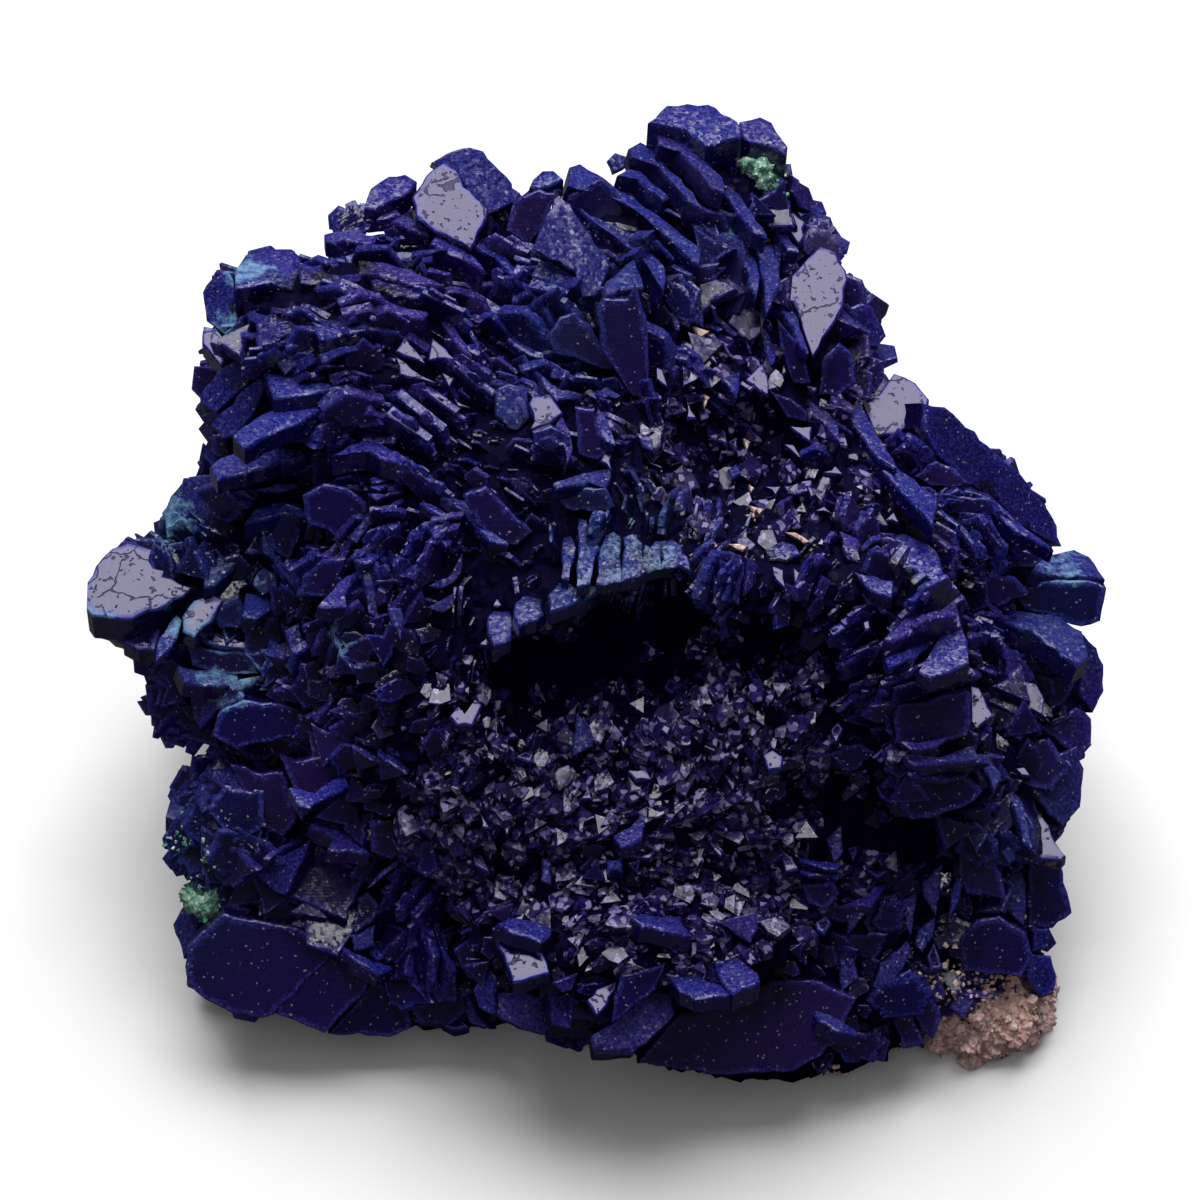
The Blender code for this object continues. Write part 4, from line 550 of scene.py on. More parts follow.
    ("mirror", 0.6, 0.6, ((-17.8, -16.2), (-17.1, -15.8), (-16.8, -16.5))),
    ("satin", 0.9, 1.0, ((-12.1, -16.0), (-11.5, -15.7), (-10.9, -16.4), (-11.2, -17.2), (-12.2, -17.9),
        (-12.3, -17.2))),
    ("sheen", 0.9, 1.2, ((-12.4, -17.9), (-11.1, -17.4), (-11.2, -18.5), (-12.2, -18.8))),
    ("slope", 0.7, 1.0, ((-13.6, -18.1), (-12.2, -19.2), (-10.9, -19.9), (-10.2, -19.6), (-12.6, -18.7))),
    ("mirror", 1.0, 0.5, ((-13.7, -18.1), (-13.0, -19.0), (-13.4, -18.9))),
    ("sheen", 0.3, 0.9, ((-19.7, -15.5), (-19.4, -15.0), (-18.6, -15.4), (-18.9, -16.2))),
    ("left", 0.1, 1.4, ((-21.9, -17.6), (-21.2, -16.5), (-20.3, -17.3), (-21.3, -19.4))),
    ("face", 0.5, 2.6, ((-21.0, -19.6), (-20.9, -18.6), (-19.0, -16.8), (-14.9, -17.7), (-13.3, -18.8),
        (-16.4, -22.1), (-17.0, -22.3), (-18.5, -22.1), (-20.0, -21.3), (-20.8, -20.5))),
    ("face", 0.4, 2.2, ((-14.9, -17.9), (-11.4, -20.1), (-11.6, -20.9), (-13.8, -23.1), (-16.3, -22.1))),
    ("face", 0.3, 1.8, ((-11.3, -20.3), (-9.5, -21.6), (-9.3, -22.9), (-10.5, -23.4), (-13.7, -23.2),
        (-12.2, -21.6))),
    # front foot
    ("mirror", 0.9, 1.4, ((-5.1, -17.5), (-4.0, -17.9), (-3.5, -18.6), (-2.6, -18.4), (-2.1, -19.9),
        (-4.0, -20.4))),
    ("slope", 0.7, 1.0, ((-4.9, -17.4), (-4.0, -17.0), (-2.6, -17.2), (-1.9, -17.6), (-2.5, -18.3))),
    ("left", 0.5, 1.2, ((-6.1, -20.8), (-5.2, -19.4), (-4.8, -20.2), (-5.0, -22.1), (-5.8, -21.7))),
    ("sheen", 0.5, 1.4, ((-4.9, -20.9), (-2.1, -20.7), (-2.0, -22.6), (-2.4, -23.1), (-3.6, -22.8),
        (-4.9, -22.1))),
    ("right", 0.4, 1.2, ((-2.0, -21.0), (-1.0, -20.9), (-0.8, -21.6), (-1.0, -22.8), (-1.9, -22.6))),
    ("right", 0.7, 0.8, ((-1.9, -20.4), (-0.6, -19.9), (-0.9, -20.8), (-1.4, -20.9))),
    ("mirror", 0.8, 0.9, ((-0.2, -21.3), (0.3, -20.7), (1.4, -20.3), (0.9, -21.5), (0.3, -22.1))),
    ("mirror", 0.5, 0.8, ((-8.0, -22.0), (-6.8, -22.4), (-6.3, -22.8), (-7.1, -23.0), (-7.7, -22.7))),
    ("left", 0.5, 0.9, ((-9.7, -19.3), (-9.3, -19.2), (-8.4, -21.5), (-9.8, -20.1))),
    ("face", 0.5, 1.2, ((-8.8, -19.6), (-7.9, -21.5), (-6.9, -21.5), (-7.0, -19.4), (-7.9, -19.2))),
    ("left", 0.5, 0.9, ((-6.9, -21.2), (-6.4, -21.1), (-5.9, -22.2), (-5.2, -22.9), (-6.3, -22.6))),
    ("left", 0.6, 0.9, ((-9.1, -16.3), (-8.6, -16.1), (-8.4, -18.4), (-9.6, -18.9))),
    ("face", 0.6, 0.9, ((-8.8, -13.2), (-8.2, -12.9), (-7.9, -14.6), (-8.5, -15.0), (-9.0, -14.6))),
    ("sheen", 0.7, 0.8, ((-11.6, -15.6), (-10.8, -14.6), (-9.8, -13.9), (-9.9, -14.3))),
    ("slope", 0.8, 1.1, ((2.1, -17.0), (2.6, -16.8), (4.6, -17.0), (5.3, -18.0), (2.7, -17.5))),
    ("sheen", 0.6, 1.6, ((0.2, -24.4), (0.0, -23.2), (1.0, -22.6), (3.0, -20.7), (4.2, -20.6), (4.4, -22.0),
        (2.2, -24.3))),
    ("face", 0.7, 1.4, ((1.2, -21.2), (1.6, -20.0), (3.9, -19.4), (3.4, -20.7), (1.1, -22.5))),
    ("shelf", 0.7, 1.0, ((3.9, -20.0), (5.2, -19.9), (7.1, -20.6), (7.3, -21.0), (5.4, -21.2), (4.6, -20.8))),
    ("haze", 0.7, 1.4, ((6.4, -19.2), (7.6, -19.0), (8.7, -19.9), (8.8, -20.3), (7.4, -21.0), (6.9, -20.4))),
    ("face", 0.5, 2.0, ((4.6, -22.0), (7.2, -21.3), (8.9, -20.2), (11.5, -20.3), (13.8, -21.2), (12.8, -23.6),
        (10.5, -25.0), (7.0, -25.2), (2.4, -24.6))),
    ("sheen", 0.8, 1.2, ((6.6, -17.3), (8.6, -16.7), (8.7, -17.6), (8.3, -18.4))),
    ("mirror", 0.8, 0.5, ((5.6, -16.3), (6.1, -16.0), (6.2, -16.5))),
    ("mirror", 0.8, 0.6, ((-0.5, -10.9), (-0.1, -10.3), (0.1, -10.9))),
    ("mirror", 0.8, 0.5, ((1.9, -14.2), (2.6, -14.0), (2.4, -14.7))),
    ("mirror", 0.8, 0.5, ((2.0, -13.9), (3.5, -13.5), (3.1, -14.0))),
    ("mirror", 0.8, 0.8, ((9.8, -13.8), (10.4, -13.8), (10.8, -14.5), (10.1, -14.7))),
    ("mirror", 0.8, 0.5, ((6.0, -12.9), (6.9, -13.5), (6.8, -13.9), (6.4, -13.6))),
    ("mirror", 0.8, 0.6, ((-6.1, -13.6), (-5.6, -13.8), (-5.2, -14.7), (-6.0, -14.3))),
    ("mirror", 0.8, 0.5, ((-4.7, -12.0), (-4.1, -12.2), (-4.3, -12.8))),
    ("mirror", 0.8, 0.4, ((-5.7, -11.6), (-5.2, -12.4), (-5.6, -12.4))),
    ("mirror", 0.8, 0.4, ((-0.6, -12.0), (-0.3, -12.0), (-0.4, -12.7), (-0.6, -12.6))),
    ("haze", 0.8, 0.7, ((0.8, -14.0), (1.6, -13.9), (1.7, -14.6), (0.9, -14.7))),
    ("haze", 0.7, 0.9, ((1.2, -12.8), (2.4, -11.9), (3.0, -11.8), (2.7, -12.9), (1.6, -13.4))),
    ("sheen", 0.7, 0.7, ((-2.5, -14.0), (-2.0, -13.9), (-2.0, -15.4), (-2.5, -15.2))),
    # right shoulder
    ("right", 0.2, 2.0, ((17.2, 9.6), (18.4, 9.4), (22.6, 5.8), (24.2, 3.7), (24.7, 2.2), (21.9, 3.5),
        (18.0, 6.9), (17.2, 8.3))),
    ("face", 0.5, 0.9, ((16.8, 5.8), (17.9, 6.6), (18.9, 6.2), (19.8, 5.4), (18.8, 5.2), (17.6, 5.3))),
    ("slope", 0.6, 0.7, ((16.6, 6.0), (17.0, 6.5), (18.0, 6.9), (17.6, 6.4))),
    ("slope", 0.4, 1.0, ((13.9, 7.0), (14.6, 7.4), (15.3, 7.2), (16.0, 6.2), (18.0, 4.7), (17.8, 3.2),
        (15.0, 6.3))),
    ("slope", 0.5, 0.9, ((20.1, 5.1), (20.6, 5.0), (22.6, 3.0), (24.0, 2.0), (21.9, 3.1))),
    ("face", 0.5, 0.9, ((18.0, 4.9), (20.8, 4.6), (21.2, 3.8), (20.2, 3.7), (18.2, 3.9))),
    ("slope", 0.1, 1.0, ((22.9, 0.9), (23.4, 1.6), (25.4, 2.1), (26.2, 1.7), (26.9, 0.5))),
    ("face", 0.2, 1.8, ((22.0, -0.2), (24.0, 0.4), (26.0, 0.4), (26.9, 0.0), (26.6, -1.7), (25.6, -2.0),
        (22.6, -1.1))),
    ("face", 0.4, 0.9, ((21.6, 1.8), (22.6, 2.0), (23.6, 1.7), (23.0, 1.1), (21.7, 1.0))),
    ("slope", 0.4, 1.3, ((21.0, -1.0), (24.0, -1.3), (25.6, -2.2), (25.8, -3.6), (25.2, -4.0), (22.9, -2.2),
        (21.2, -1.6))),
    ("right", 0.1, 1.4, ((25.8, -2.4), (26.5, -3.1), (26.9, -4.0), (26.9, -5.4), (26.3, -6.5), (25.6, -5.6))),
    ("right", 0.5, 0.9, ((21.4, -3.0), (22.2, -3.2), (23.2, -4.7), (21.9, -5.9))),
    ("mirror", 0.8, 0.4, ((24.0, -7.1), (25.0, -6.4), (25.1, -6.6))),
    ("right", 0.2, 1.2, ((23.4, -7.2), (25.4, -6.2), (26.2, -6.8), (26.2, -8.2), (25.6, -9.0))),
    ("haze", 0.6, 0.9, ((15.2, 2.5), (16.2, 2.9), (17.9, 2.0), (18.3, 0.8), (17.8, 0.0), (17.2, -0.3),
        (16.4, 0.4))),
    ("haze", 0.6, 0.8, ((13.6, 0.9), (15.7, 0.4), (15.6, -0.5), (14.2, 0.2))),
    ("sheen", 0.6, 0.8, ((14.0, -0.2), (15.0, -0.7), (15.6, -1.3), (15.1, -1.4), (14.3, -0.8))),
    ("slope", 0.7, 0.8, ((15.2, -2.6), (17.6, -0.4), (18.0, -1.2), (15.8, -2.7))),
    ("slope", 0.7, 0.7, ((15.3, -3.6), (17.6, -2.4), (17.8, -2.8), (16.8, -3.6), (15.5, -4.1))),
    ("haze", 0.8, 1.1, ((18.1, -1.0), (18.5, -0.5), (18.9, -0.6), (19.5, -2.6), (19.6, -3.8), (17.6, -4.6),
        (17.0, -4.3), (18.1, -2.4))),
    ("mirror", 0.7, 0.5, ((17.8, -0.3), (18.1, 0.1), (18.1, -0.7))),
    ("mirror", 0.7, 0.5, ((18.3, -0.1), (18.9, 0.6), (18.7, 0.0))),
    ("mirror", 0.8, 0.5, ((19.8, -1.6), (20.1, -1.3), (20.4, -1.9))),
    ("mirror", 0.8, 0.4, ((14.1, -1.7), (14.4, -1.6), (14.5, -2.1), (14.2, -2.2))),
    ("mirror", 0.8, 0.5, ((15.2, -6.4), (15.5, -6.7), (15.7, -7.6), (15.3, -7.3))),
    ("mirror", 0.7, 0.5, ((15.2, 3.5), (15.7, 4.0), (16.0, 3.4))),
    ("face", 0.6, 1.0, ((15.9, -6.0), (16.9, -5.9), (18.5, -5.4), (19.5, -5.3), (19.7, -5.6), (19.7, -7.0),
        (19.5, -7.6), (17.9, -8.2), (16.6, -8.3), (15.8, -8.0), (15.7, -6.4))),
    ("slope", 0.7, 0.3, ((16.1, -7.9), (17.0, -8.0), (18.6, -7.7), (17.9, -8.2), (16.6, -8.3))),
    ("mirror", 1.2, 1.0, ((-3.2, 9.6), (-3.0, 10.0), (-2.1, 10.1), (-1.4, 9.1), (-2.1, 8.5), (-3.1, 8.2),
        (-2.9, 8.6))),
    ("face", 1.0, 0.8, ((-3.0, 8.1), (-2.1, 8.4), (-1.5, 8.2), (-1.1, 7.8), (-1.1, 6.9), (-1.3, 6.4),
        (-2.0, 6.9), (-3.0, 7.0))),
    ("slope", 1.1, 0.8, ((-1.5, 9.1), (-0.95, 7.8), (-0.95, 6.9), (-1.2, 6.4), (-1.3, 7.6), (-1.9, 8.3))),
    ("shelf", 1.3, 0.2, ((-3.0, 7.3), (-1.9, 7.05), (-2.9, 7.1))),
    ("slope", 0.7, 0.7, ((-4.3, 13.0), (-3.0, 12.1), (-2.2, 11.9), (-2.7, 12.7), (-3.5, 13.1))),
    ("sheen", 0.7, 0.7, ((-2.1, 11.8), (-1.0, 11.2), (-1.1, 10.6), (-2.1, 10.9))),
    ("slope", 0.7, 0.5, ((-2.9, 11.3), (-2.2, 10.6), (-1.2, 10.1), (-0.3, 10.0), (-1.7, 9.8))),
    ("slope", 1.0, 0.7, ((0.2, 8.7), (0.4, 9.4), (0.9, 8.8), (1.3, 7.5), (0.7, 7.8))),
    ("face", 0.8, 0.7, ((-0.8, 9.4), (0.2, 9.3), (0.2, 8.6), (0.5, 8.0), (1.3, 7.4), (0.4, 6.6),
        (-0.6, 6.9))),
    ("mirror", 1.0, 0.6, ((0.5, 6.6), (0.7, 7.0), (1.1, 7.0), (1.1, 6.1))),
    ("slope", 0.8, 0.8, ((-1.9, 5.5), (-1.0, 5.8), (1.2, 6.1), (0.8, 5.2), (0.1, 5.6), (-1.7, 5.2))),
    ("mirror", 0.8, 0.4, ((-7.1, 9.9), (-6.1, 9.3), (-6.9, 9.4))),
    ("mirror", 0.8, 0.5, ((3.4, 11.5), (3.7, 11.4), (4.0, 10.4), (3.4, 10.8))),
    ("mirror", 0.8, 0.5, ((6.5, 10.2), (7.0, 10.1), (7.6, 9.5), (6.6, 9.9))),
    ("slope", 0.7, 0.7, ((6.8, 10.9), (7.8, 11.3), (7.6, 9.9))),
    ("haze", 0.7, 0.6, ((7.1, 6.2), (7.6, 6.5), (7.8, 6.0), (7.3, 5.7))),
    ("haze", 0.7, 0.6, ((2.3, 8.1), (3.2, 7.8), (3.3, 7.2), (2.7, 7.4))),
    ("mirror", 0.8, 0.5, ((7.8, 10.8), (8.5, 10.4), (8.3, 10.2), (7.7, 10.6))),
    ("mirror", 0.8, 0.5, ((14.6, 5.1), (15.1, 5.2), (15.0, 4.8))),
    ("mirror", 0.8, 0.9, ((19.7, -5.0), (20.1, -5.1), (20.9, -6.6), (19.9, -7.4), (19.7, -7.2))),
    ("slope", 0.6, 0.5, ((16.3, -8.6), (17.5, -8.8), (18.9, -8.6), (19.9, -8.1), (20.1, -8.8), (17.4, -9.1),
        (16.4, -8.9))),
    ("slope", 0.5, 0.4, ((17.0, -9.2), (18.6, -9.2), (19.8, -8.9), (19.9, -9.2), (17.2, -9.4))),
    ("slope", 0.4, 0.4, ((16.4, -9.5), (18.6, -9.6), (19.7, -9.3), (19.5, -9.7), (18.4, -9.9), (16.6, -9.7))),
    ("face", 0.5, 1.0, ((15.8, -9.6), (18.4, -10.0), (19.6, -9.8), (20.3, -10.5), (19.9, -11.0),
        (17.6, -11.9), (16.6, -12.0), (16.0, -11.3), (15.7, -10.4))),
    ("mirror", 0.7, 0.4, ((15.1, -8.6), (15.9, -9.3), (15.6, -9.6), (15.2, -9.4))),
    ("slope", 0.5, 0.5, ((20.0, -8.3), (20.5, -8.4), (21.3, -9.6), (20.9, -10.4))),
    ("slope", 0.6, 0.6, ((21.7, -10.4), (22.1, -10.7), (22.6, -11.9), (22.9, -13.4), (22.4, -13.0))),
    ("mirror", 0.7, 0.5, ((14.7, -9.9), (15.8, -10.6), (15.6, -11.1), (15.0, -10.8))),
    # lower right
    ("left", 0.3, 1.2, ((21.8, -10.0), (22.8, -12.0), (23.0, -13.8), (22.2, -13.0), (21.8, -11.4))),
    ("mirror", 0.6, 1.0, ((22.8, -12.4), (23.4, -11.4), (24.2, -13.2), (24.7, -13.9), (24.5, -14.1),
        (23.2, -14.1))),
    ("mirror", 0.6, 0.7, ((22.0, -9.3), (22.5, -9.2), (22.8, -9.7), (22.3, -9.7))),
    ("right", 0.3, 1.6, ((22.6, -10.0), (24.4, -8.6), (25.4, -8.2), (25.8, -9.4), (25.6, -11.4),
        (24.6, -12.4), (23.2, -11.0))),
    ("face", 0.3, 1.6, ((23.0, -14.3), (24.6, -14.4), (25.2, -17.0), (24.2, -17.8), (22.9, -17.6),
        (22.8, -16.0))),
    ("sheen", 0.4, 1.0, ((21.5, -14.9), (22.5, -14.8), (22.7, -16.2), (22.6, -17.6), (21.5, -16.6))),
    ("face", 0.4, 1.8, ((20.0, -17.2), (21.2, -17.0), (22.6, -17.9), (23.0, -19.2), (22.4, -20.2),
        (19.4, -19.9), (19.0, -18.4))),
    ("right", 0.2, 1.0, ((23.0, -17.7), (24.1, -17.8), (24.0, -18.8), (23.2, -19.0))),
    ("right", 0.2, 1.4, ((23.1, -19.1), (24.1, -19.2), (24.4, -20.2), (24.2, -21.2), (23.6, -21.4),
        (22.8, -20.2))),
    ("sheen", 0.8, 0.7, ((17.2, -15.2), (18.3, -14.2), (17.9, -17.0), (17.3, -16.0))),
    ("sheen", 0.8, 0.7, ((16.0, -16.3), (16.9, -15.8), (16.6, -18.0))),
    ("slope", 0.8, 0.6, ((13.2, -16.4), (14.6, -16.4), (15.5, -15.2), (14.7, -15.4), (14.0, -16.1))),
    ("sheen", 0.7, 0.7, ((13.3, -16.6), (14.4, -16.7), (13.3, -18.0))),
    ("sheen", 0.8, 0.7, ((17.0, -17.7), (17.9, -17.0), (17.8, -18.0), (17.2, -18.9), (16.8, -18.4))),
    ("mirror", 0.8, 0.7, ((17.4, -19.0), (17.8, -18.3), (18.2, -19.6), (17.6, -19.8))),
    ("sheen", 0.8, 0.9, ((15.0, -19.4), (16.4, -18.2), (16.6, -18.6), (16.2, -19.6), (15.2, -21.2),
        (14.6, -20.6))),
    ("sheen", 0.7, 0.8, ((12.9, -19.2), (13.6, -19.1), (13.9, -20.2), (13.0, -20.9))),
    ("face", 0.8, 0.9, ((10.9, -15.3), (12.6, -15.2), (12.9, -15.8), (12.2, -16.7), (11.2, -16.3))),
    ("shelf", 0.9, 0.3, ((10.8, -13.9), (12.9, -14.3), (12.8, -14.5), (10.8, -14.1))),
    ("shelf", 0.9, 0.3, ((10.8, -14.4), (12.9, -14.8), (12.8, -15.0), (10.8, -14.6))),
    ("sheen", 0.7, 0.8, ((12.2, -13.0), (13.0, -12.2), (13.1, -13.6), (12.6, -14.2))),
    ("mirror", 0.8, 0.5, ((11.6, -17.3), (12.2, -16.9), (12.5, -17.3), (12.1, -17.9))),
    ("slope", 0.8, 1.0, ((11.2, -21.3), (11.9, -21.6), (14.0, -23.1), (12.8, -22.9), (11.8, -22.3))),
    ("face", 0.6, 1.2, ((16.5, -21.6), (17.8, -21.0), (18.2, -22.2), (17.8, -23.4), (17.2, -23.0))),
    ("face", 0.6, 1.2, ((15.6, -22.4), (16.5, -21.8), (17.3, -23.6), (16.2, -23.9))),
    ("sheen", 0.6, 0.9, ((18.6, -21.8), (19.4, -20.8), (20.0, -21.4), (19.4, -22.4))),
    ("mirror", 0.8, 0.5, ((14.8, -13.9), (15.5, -13.6), (15.1, -14.4))),
    ("mirror", 0.8, 0.5, ((14.2, -14.5), (15.4, -14.6), (14.9, -15.0))),
    ("mirror", 0.8, 0.5, ((13.3, -13.4), (13.8, -13.3), (13.6, -14.1))),
    ("slope", 0.6, 0.6, ((18.9, -15.0), (19.2, -14.7), (19.2, -15.8), (18.5, -17.2))),
)

# Host rock caught between the crystals
ROCK_SPECKS = (
    ("sheen", 0.7, 0.6, ((5.1, 1.7), (6.4, 2.5), (6.6, 2.2), (5.4, 1.5))),
    ("sheen", 0.7, 0.5, ((7.1, 2.3), (8.2, 2.2), (7.9, 1.9))),
    ("sheen", 0.7, 0.5, ((10.1, 2.9), (10.6, 2.9), (11.4, 2.4), (11.1, 2.3))),
    ("sheen", 0.7, 0.6, ((8.2, 4.3), (9.0, 4.1), (8.7, 3.7))),
    ("sheen", 0.7, 0.5, ((8.0, 3.8), (8.5, 3.9), (8.6, 3.4))),
    ("sheen", 0.7, 0.6, ((5.3, 13.6), (6.2, 13.3), (5.6, 12.9))),
    ("sheen", 0.7, 0.6, ((5.8, 10.1), (6.2, 9.9), (5.9, 9.3))),
    ("sheen", 0.7, 0.6, ((7.9, 7.8), (8.3, 7.6), (8.1, 7.1))),
    ("sheen", 0.7, 0.5, ((8.2, 5.4), (8.5, 5.2), (8.3, 4.9))),
)

# Hearts of the rosettes on the sides that the lists above don't reach, in mm on the show face's axes
FAR_ROSETTES = (
    (-20.0, 4.0, -16.0), (-12.0, 16.0, -16.0), (2.0, 20.0, -18.0), (13.0, 14.0, -18.0), (22.0, 2.0, -18.0),
    (-16.0, -6.0, -26.0), (-4.0, 6.0, -30.0), (9.0, 8.0, -28.0), (19.0, -6.0, -26.0), (2.0, -4.0, -34.0),
    (-22.0, -12.0, -14.0), (24.0, -12.0, -14.0), (-8.0, 12.0, -24.0), (-14.0, -16.0, -16.0),
    (16.0, -18.0, -14.0), (-24.0, -4.0, -10.0), (6.0, 16.0, -24.0),
)

# Azure dust on the weathered plates: place on the show face, reach and strength
DUST = (
    ((-18.2, 16.6), 1.1, 0.9), ((-16.4, 16.2), 1.0, 0.6), ((-19.0, 13.6), 1.3, 0.8),
    ((-25.4, -1.4), 1.8, 0.9), ((-20.6, -1.6), 1.6, 0.9), ((-17.6, 1.4), 1.6, 0.6),
    ((-21.8, 3.6), 1.8, 0.9), ((-18.4, 7.8), 1.4, 0.5), ((-9.0, 19.6), 1.4, 0.4), ((3.4, 20.6), 4.2, 0.35),
    ((7.4, 17.2), 3.6, 0.4), ((24.6, 1.2), 1.8, 0.7), ((23.4, -3.0), 2.0, 0.5), ((21.0, -13.6), 3.0, 0.4),
    ((2.4, 1.6), 3.4, 0.6), ((-12.8, -2.6), 1.4, 0.8), ((-11.6, -19.0), 1.4, 0.35), ((18.2, -7.2), 1.6, 0.4),
    ((-18.4, -4.6), 2.4, 0.8), ((-21.6, -8.0), 1.6, 0.4), ((15.6, 1.6), 2.0, 0.4), ((19.0, -1.0), 1.6, 0.35),
)

# Where the azurite turns from indigo to sea blue: place on the show face, reach and strength
SEA_BLUE = (
    ((1.0, 1.0), 5.0, 0.9), ((3.0, 18.0), 5.0, 0.5), ((-1.0, 13.0), 3.0, 0.6), ((8.0, 17.0), 3.6, 0.4),
    ((-15.0, 11.0), 4.0, 0.3), ((-20.0, 1.0), 5.0, 0.8), ((22.0, -12.0), 4.4, 0.6), ((25.0, -1.0), 3.0, 0.7),
    ((-20.4, -17.4), 3.0, 0.6), ((-20.0, -13.0), 3.4, 0.6), ((0.0, -2.6), 6.0, 0.6), ((-4.6, 8.8), 2.2, 0.7),
)

# Size of the crystals that grow between the plates: place on the show face, reach and length in mm
CRYSTAL_SIZES = (
    ((9.0, 7.6), 5.4, 1.15), ((0.0, -8.0), 8.0, 0.95), ((3.0, -14.0), 8.0, 1.1), ((10.0, -14.0), 6.0, 1.15),
    ((-14.0, 12.0), 6.0, 2.1), ((-8.0, 6.0), 4.0, 1.3), ((2.0, 17.0), 6.0, 2.4), ((-16.0, -12.0), 5.0, 2.0),
    ((20.0, -12.0), 5.0, 1.9), ((20.0, 2.0), 4.0, 1.7), ((16.0, -3.0), 3.0, 1.5), ((-2.0, 7.0), 3.0, 1.4),
    ((3.0, 1.0), 4.0, 1.5), ((-15.0, 1.0), 5.0, 1.8), ((13.0, 13.0), 3.0, 1.9), ((-14.0, -19.0), 4.0, 2.2),
)

# The host rock left at the lower right: centre and radii of each lump, in mm on the show face's axes
ROCK = (
    ((20.4, -22.2, -6.6), (3.4, 2.6, 3.8)), ((22.6, -21.4, -7.4), (1.6, 1.8, 2.6)),
)
# Where its grains spread: place on the show face, reach and strength
ROCK_GRAINS = (((20.6, -21.6), 3.6, 1.0), ((17.0, -24.0), 1.6, 0.6), ((12.4, -25.2), 0.8, 0.6))

# Malachite lumps by the node that they stand for, in mm on the show face's axes
MALACHITE = {
    "malachite_peak": (
        ((9.0, 22.0, -4.7), (0.7, 0.5, 1.1)), ((9.5, 22.4, -4.7), (0.35, 0.35, 0.9)),
        ((8.4, 22.3, -4.7), (0.35, 0.3, 0.9)), ((9.2, 21.4, -4.7), (0.35, 0.35, 0.9)),
    ),
    "malachite_left": (
        ((-20.2, -16.4, -2.8), (0.75, 0.4, 1.0)), ((-19.6, -16.0, -2.8), (0.4, 0.4, 0.9)),
        ((-20.7, -16.0, -2.8), (0.35, 0.3, 0.7)), ((-19.9, -16.8, -2.8), (0.3, 0.3, 0.7)),
        ((-20.4, -15.7, -2.8), (0.2, 0.3, 0.6)),
    ),
}
# Where no crystals grow over the malachite, and where its crumbs lie: place, reach and strength
MALACHITE_CLEARINGS = (((9.0, 22.0), 1.0, 1.0), ((-20.2, -16.3), 0.9, 1.0))
MALACHITE_CRUMBS = (
    ((-20.2, -16.3), 1.2, 0.7), ((-21.4, -12.9), 0.8, 1.0), ((-20.6, -14.4), 1.0, 0.5),
    ((6.4, 22.3), 0.6, 0.9), ((8.9, 22.0), 1.2, 0.7),
)


def face_frame():
    """The show face as a matrix: from its millimetres to metres in the specimen's frame."""
    rise, run = math.sin(SHOW_FACE_ELEVATION), math.cos(SHOW_FACE_ELEVATION)
    axes = Matrix(((1, 0, 0), (0, rise, -run), (0, run, rise))).to_4x4()
    return Matrix.Scale(MM, 4) @ Matrix.Translation((0, 0, FACE_CENTRE_HEIGHT)) @ axes


FACE = face_frame()
FACE_BACK = np.array(FACE.inverted())
OUT = Vector((0, -math.cos(SHOW_FACE_ELEVATION), math.sin(SHOW_FACE_ELEVATION)))
UP = Vector((0, math.sin(SHOW_FACE_ELEVATION), math.cos(SHOW_FACE_ELEVATION)))


def on_face(points):
    """An array of points in metres as millimetres across, up and out of the show face."""
    return points @ FACE_BACK[:3, :3].T + FACE_BACK[:3, 3]


def new_object(name, mesh):
    """A mesh, camera or light as an object of the scene."""
    obj = bpy.data.objects.new(name, mesh)
    bpy.context.scene.collection.objects.link(obj)
    return obj


def settle(obj):
    """Applies the object's modifiers and leaves a plain mesh."""
    bpy.context.view_layer.update()
    graph = bpy.context.evaluated_depsgraph_get()
    mesh = bpy.data.meshes.new_from_object(obj.evaluated_get(graph), depsgraph=graph)
    obj.modifiers.clear()
    old, obj.data = obj.data, mesh
    bpy.data.meshes.remove(old)
    mesh.name = obj.name
    return obj


def points_of(mesh):
    """A mesh's points as an array, one row for each."""
    flat = np.empty(3 * len(mesh.vertices), np.float32)
    mesh.vertices.foreach_get("co", flat)
    return flat.reshape(-1, 3).astype(np.float64)


def normals_of(mesh):
    """A mesh's point normals as an array, one row for each."""
    flat = np.empty(3 * len(mesh.vertices), np.float32)
    mesh.vertex_normals.foreach_get("vector", flat)
    return flat.reshape(-1, 3).astype(np.float64)


def put_points(mesh, points):
    """Moves a mesh's points to new places."""
    mesh.vertices.foreach_set("co", points.astype(np.float32).ravel())
    mesh.update()


def put_attribute(mesh, name, values, domain="POINT"):
    """Stores a number or a vector for each corner or face under a name."""
    values = np.asarray(values, np.float32)
    kind, key = ("FLOAT_VECTOR", "vector") if values.ndim == 2 else ("FLOAT", "value")
    if name in mesh.attributes:
        mesh.attributes.remove(mesh.attributes[name])
    layer = mesh.attributes.new(name, kind, domain)
    layer.data.foreach_set(key, values.ravel())


def balls(name, shapes, divisions=4):
    """One mesh of overlapping ellipsoids, each a centre and radii on the show face."""
    bm = bmesh.new()
    for centre, radii in shapes:
        place = FACE @ Matrix.Translation(centre) @ Matrix.Diagonal((*radii, 1))
        bmesh.ops.create_icosphere(bm, subdivisions=divisions, radius=1, matrix=place)
    mesh = bpy.data.meshes.new(name)
    bm.to_mesh(mesh)
    bm.free()
    return new_object(name, mesh)


def fuse(obj, voxel):
    """Joins overlapping closed shapes into one surface."""
    remesh = obj.modifiers.new("fuse", "REMESH")
    remesh.mode = "VOXEL"
    remesh.voxel_size = voxel
    return settle(obj)


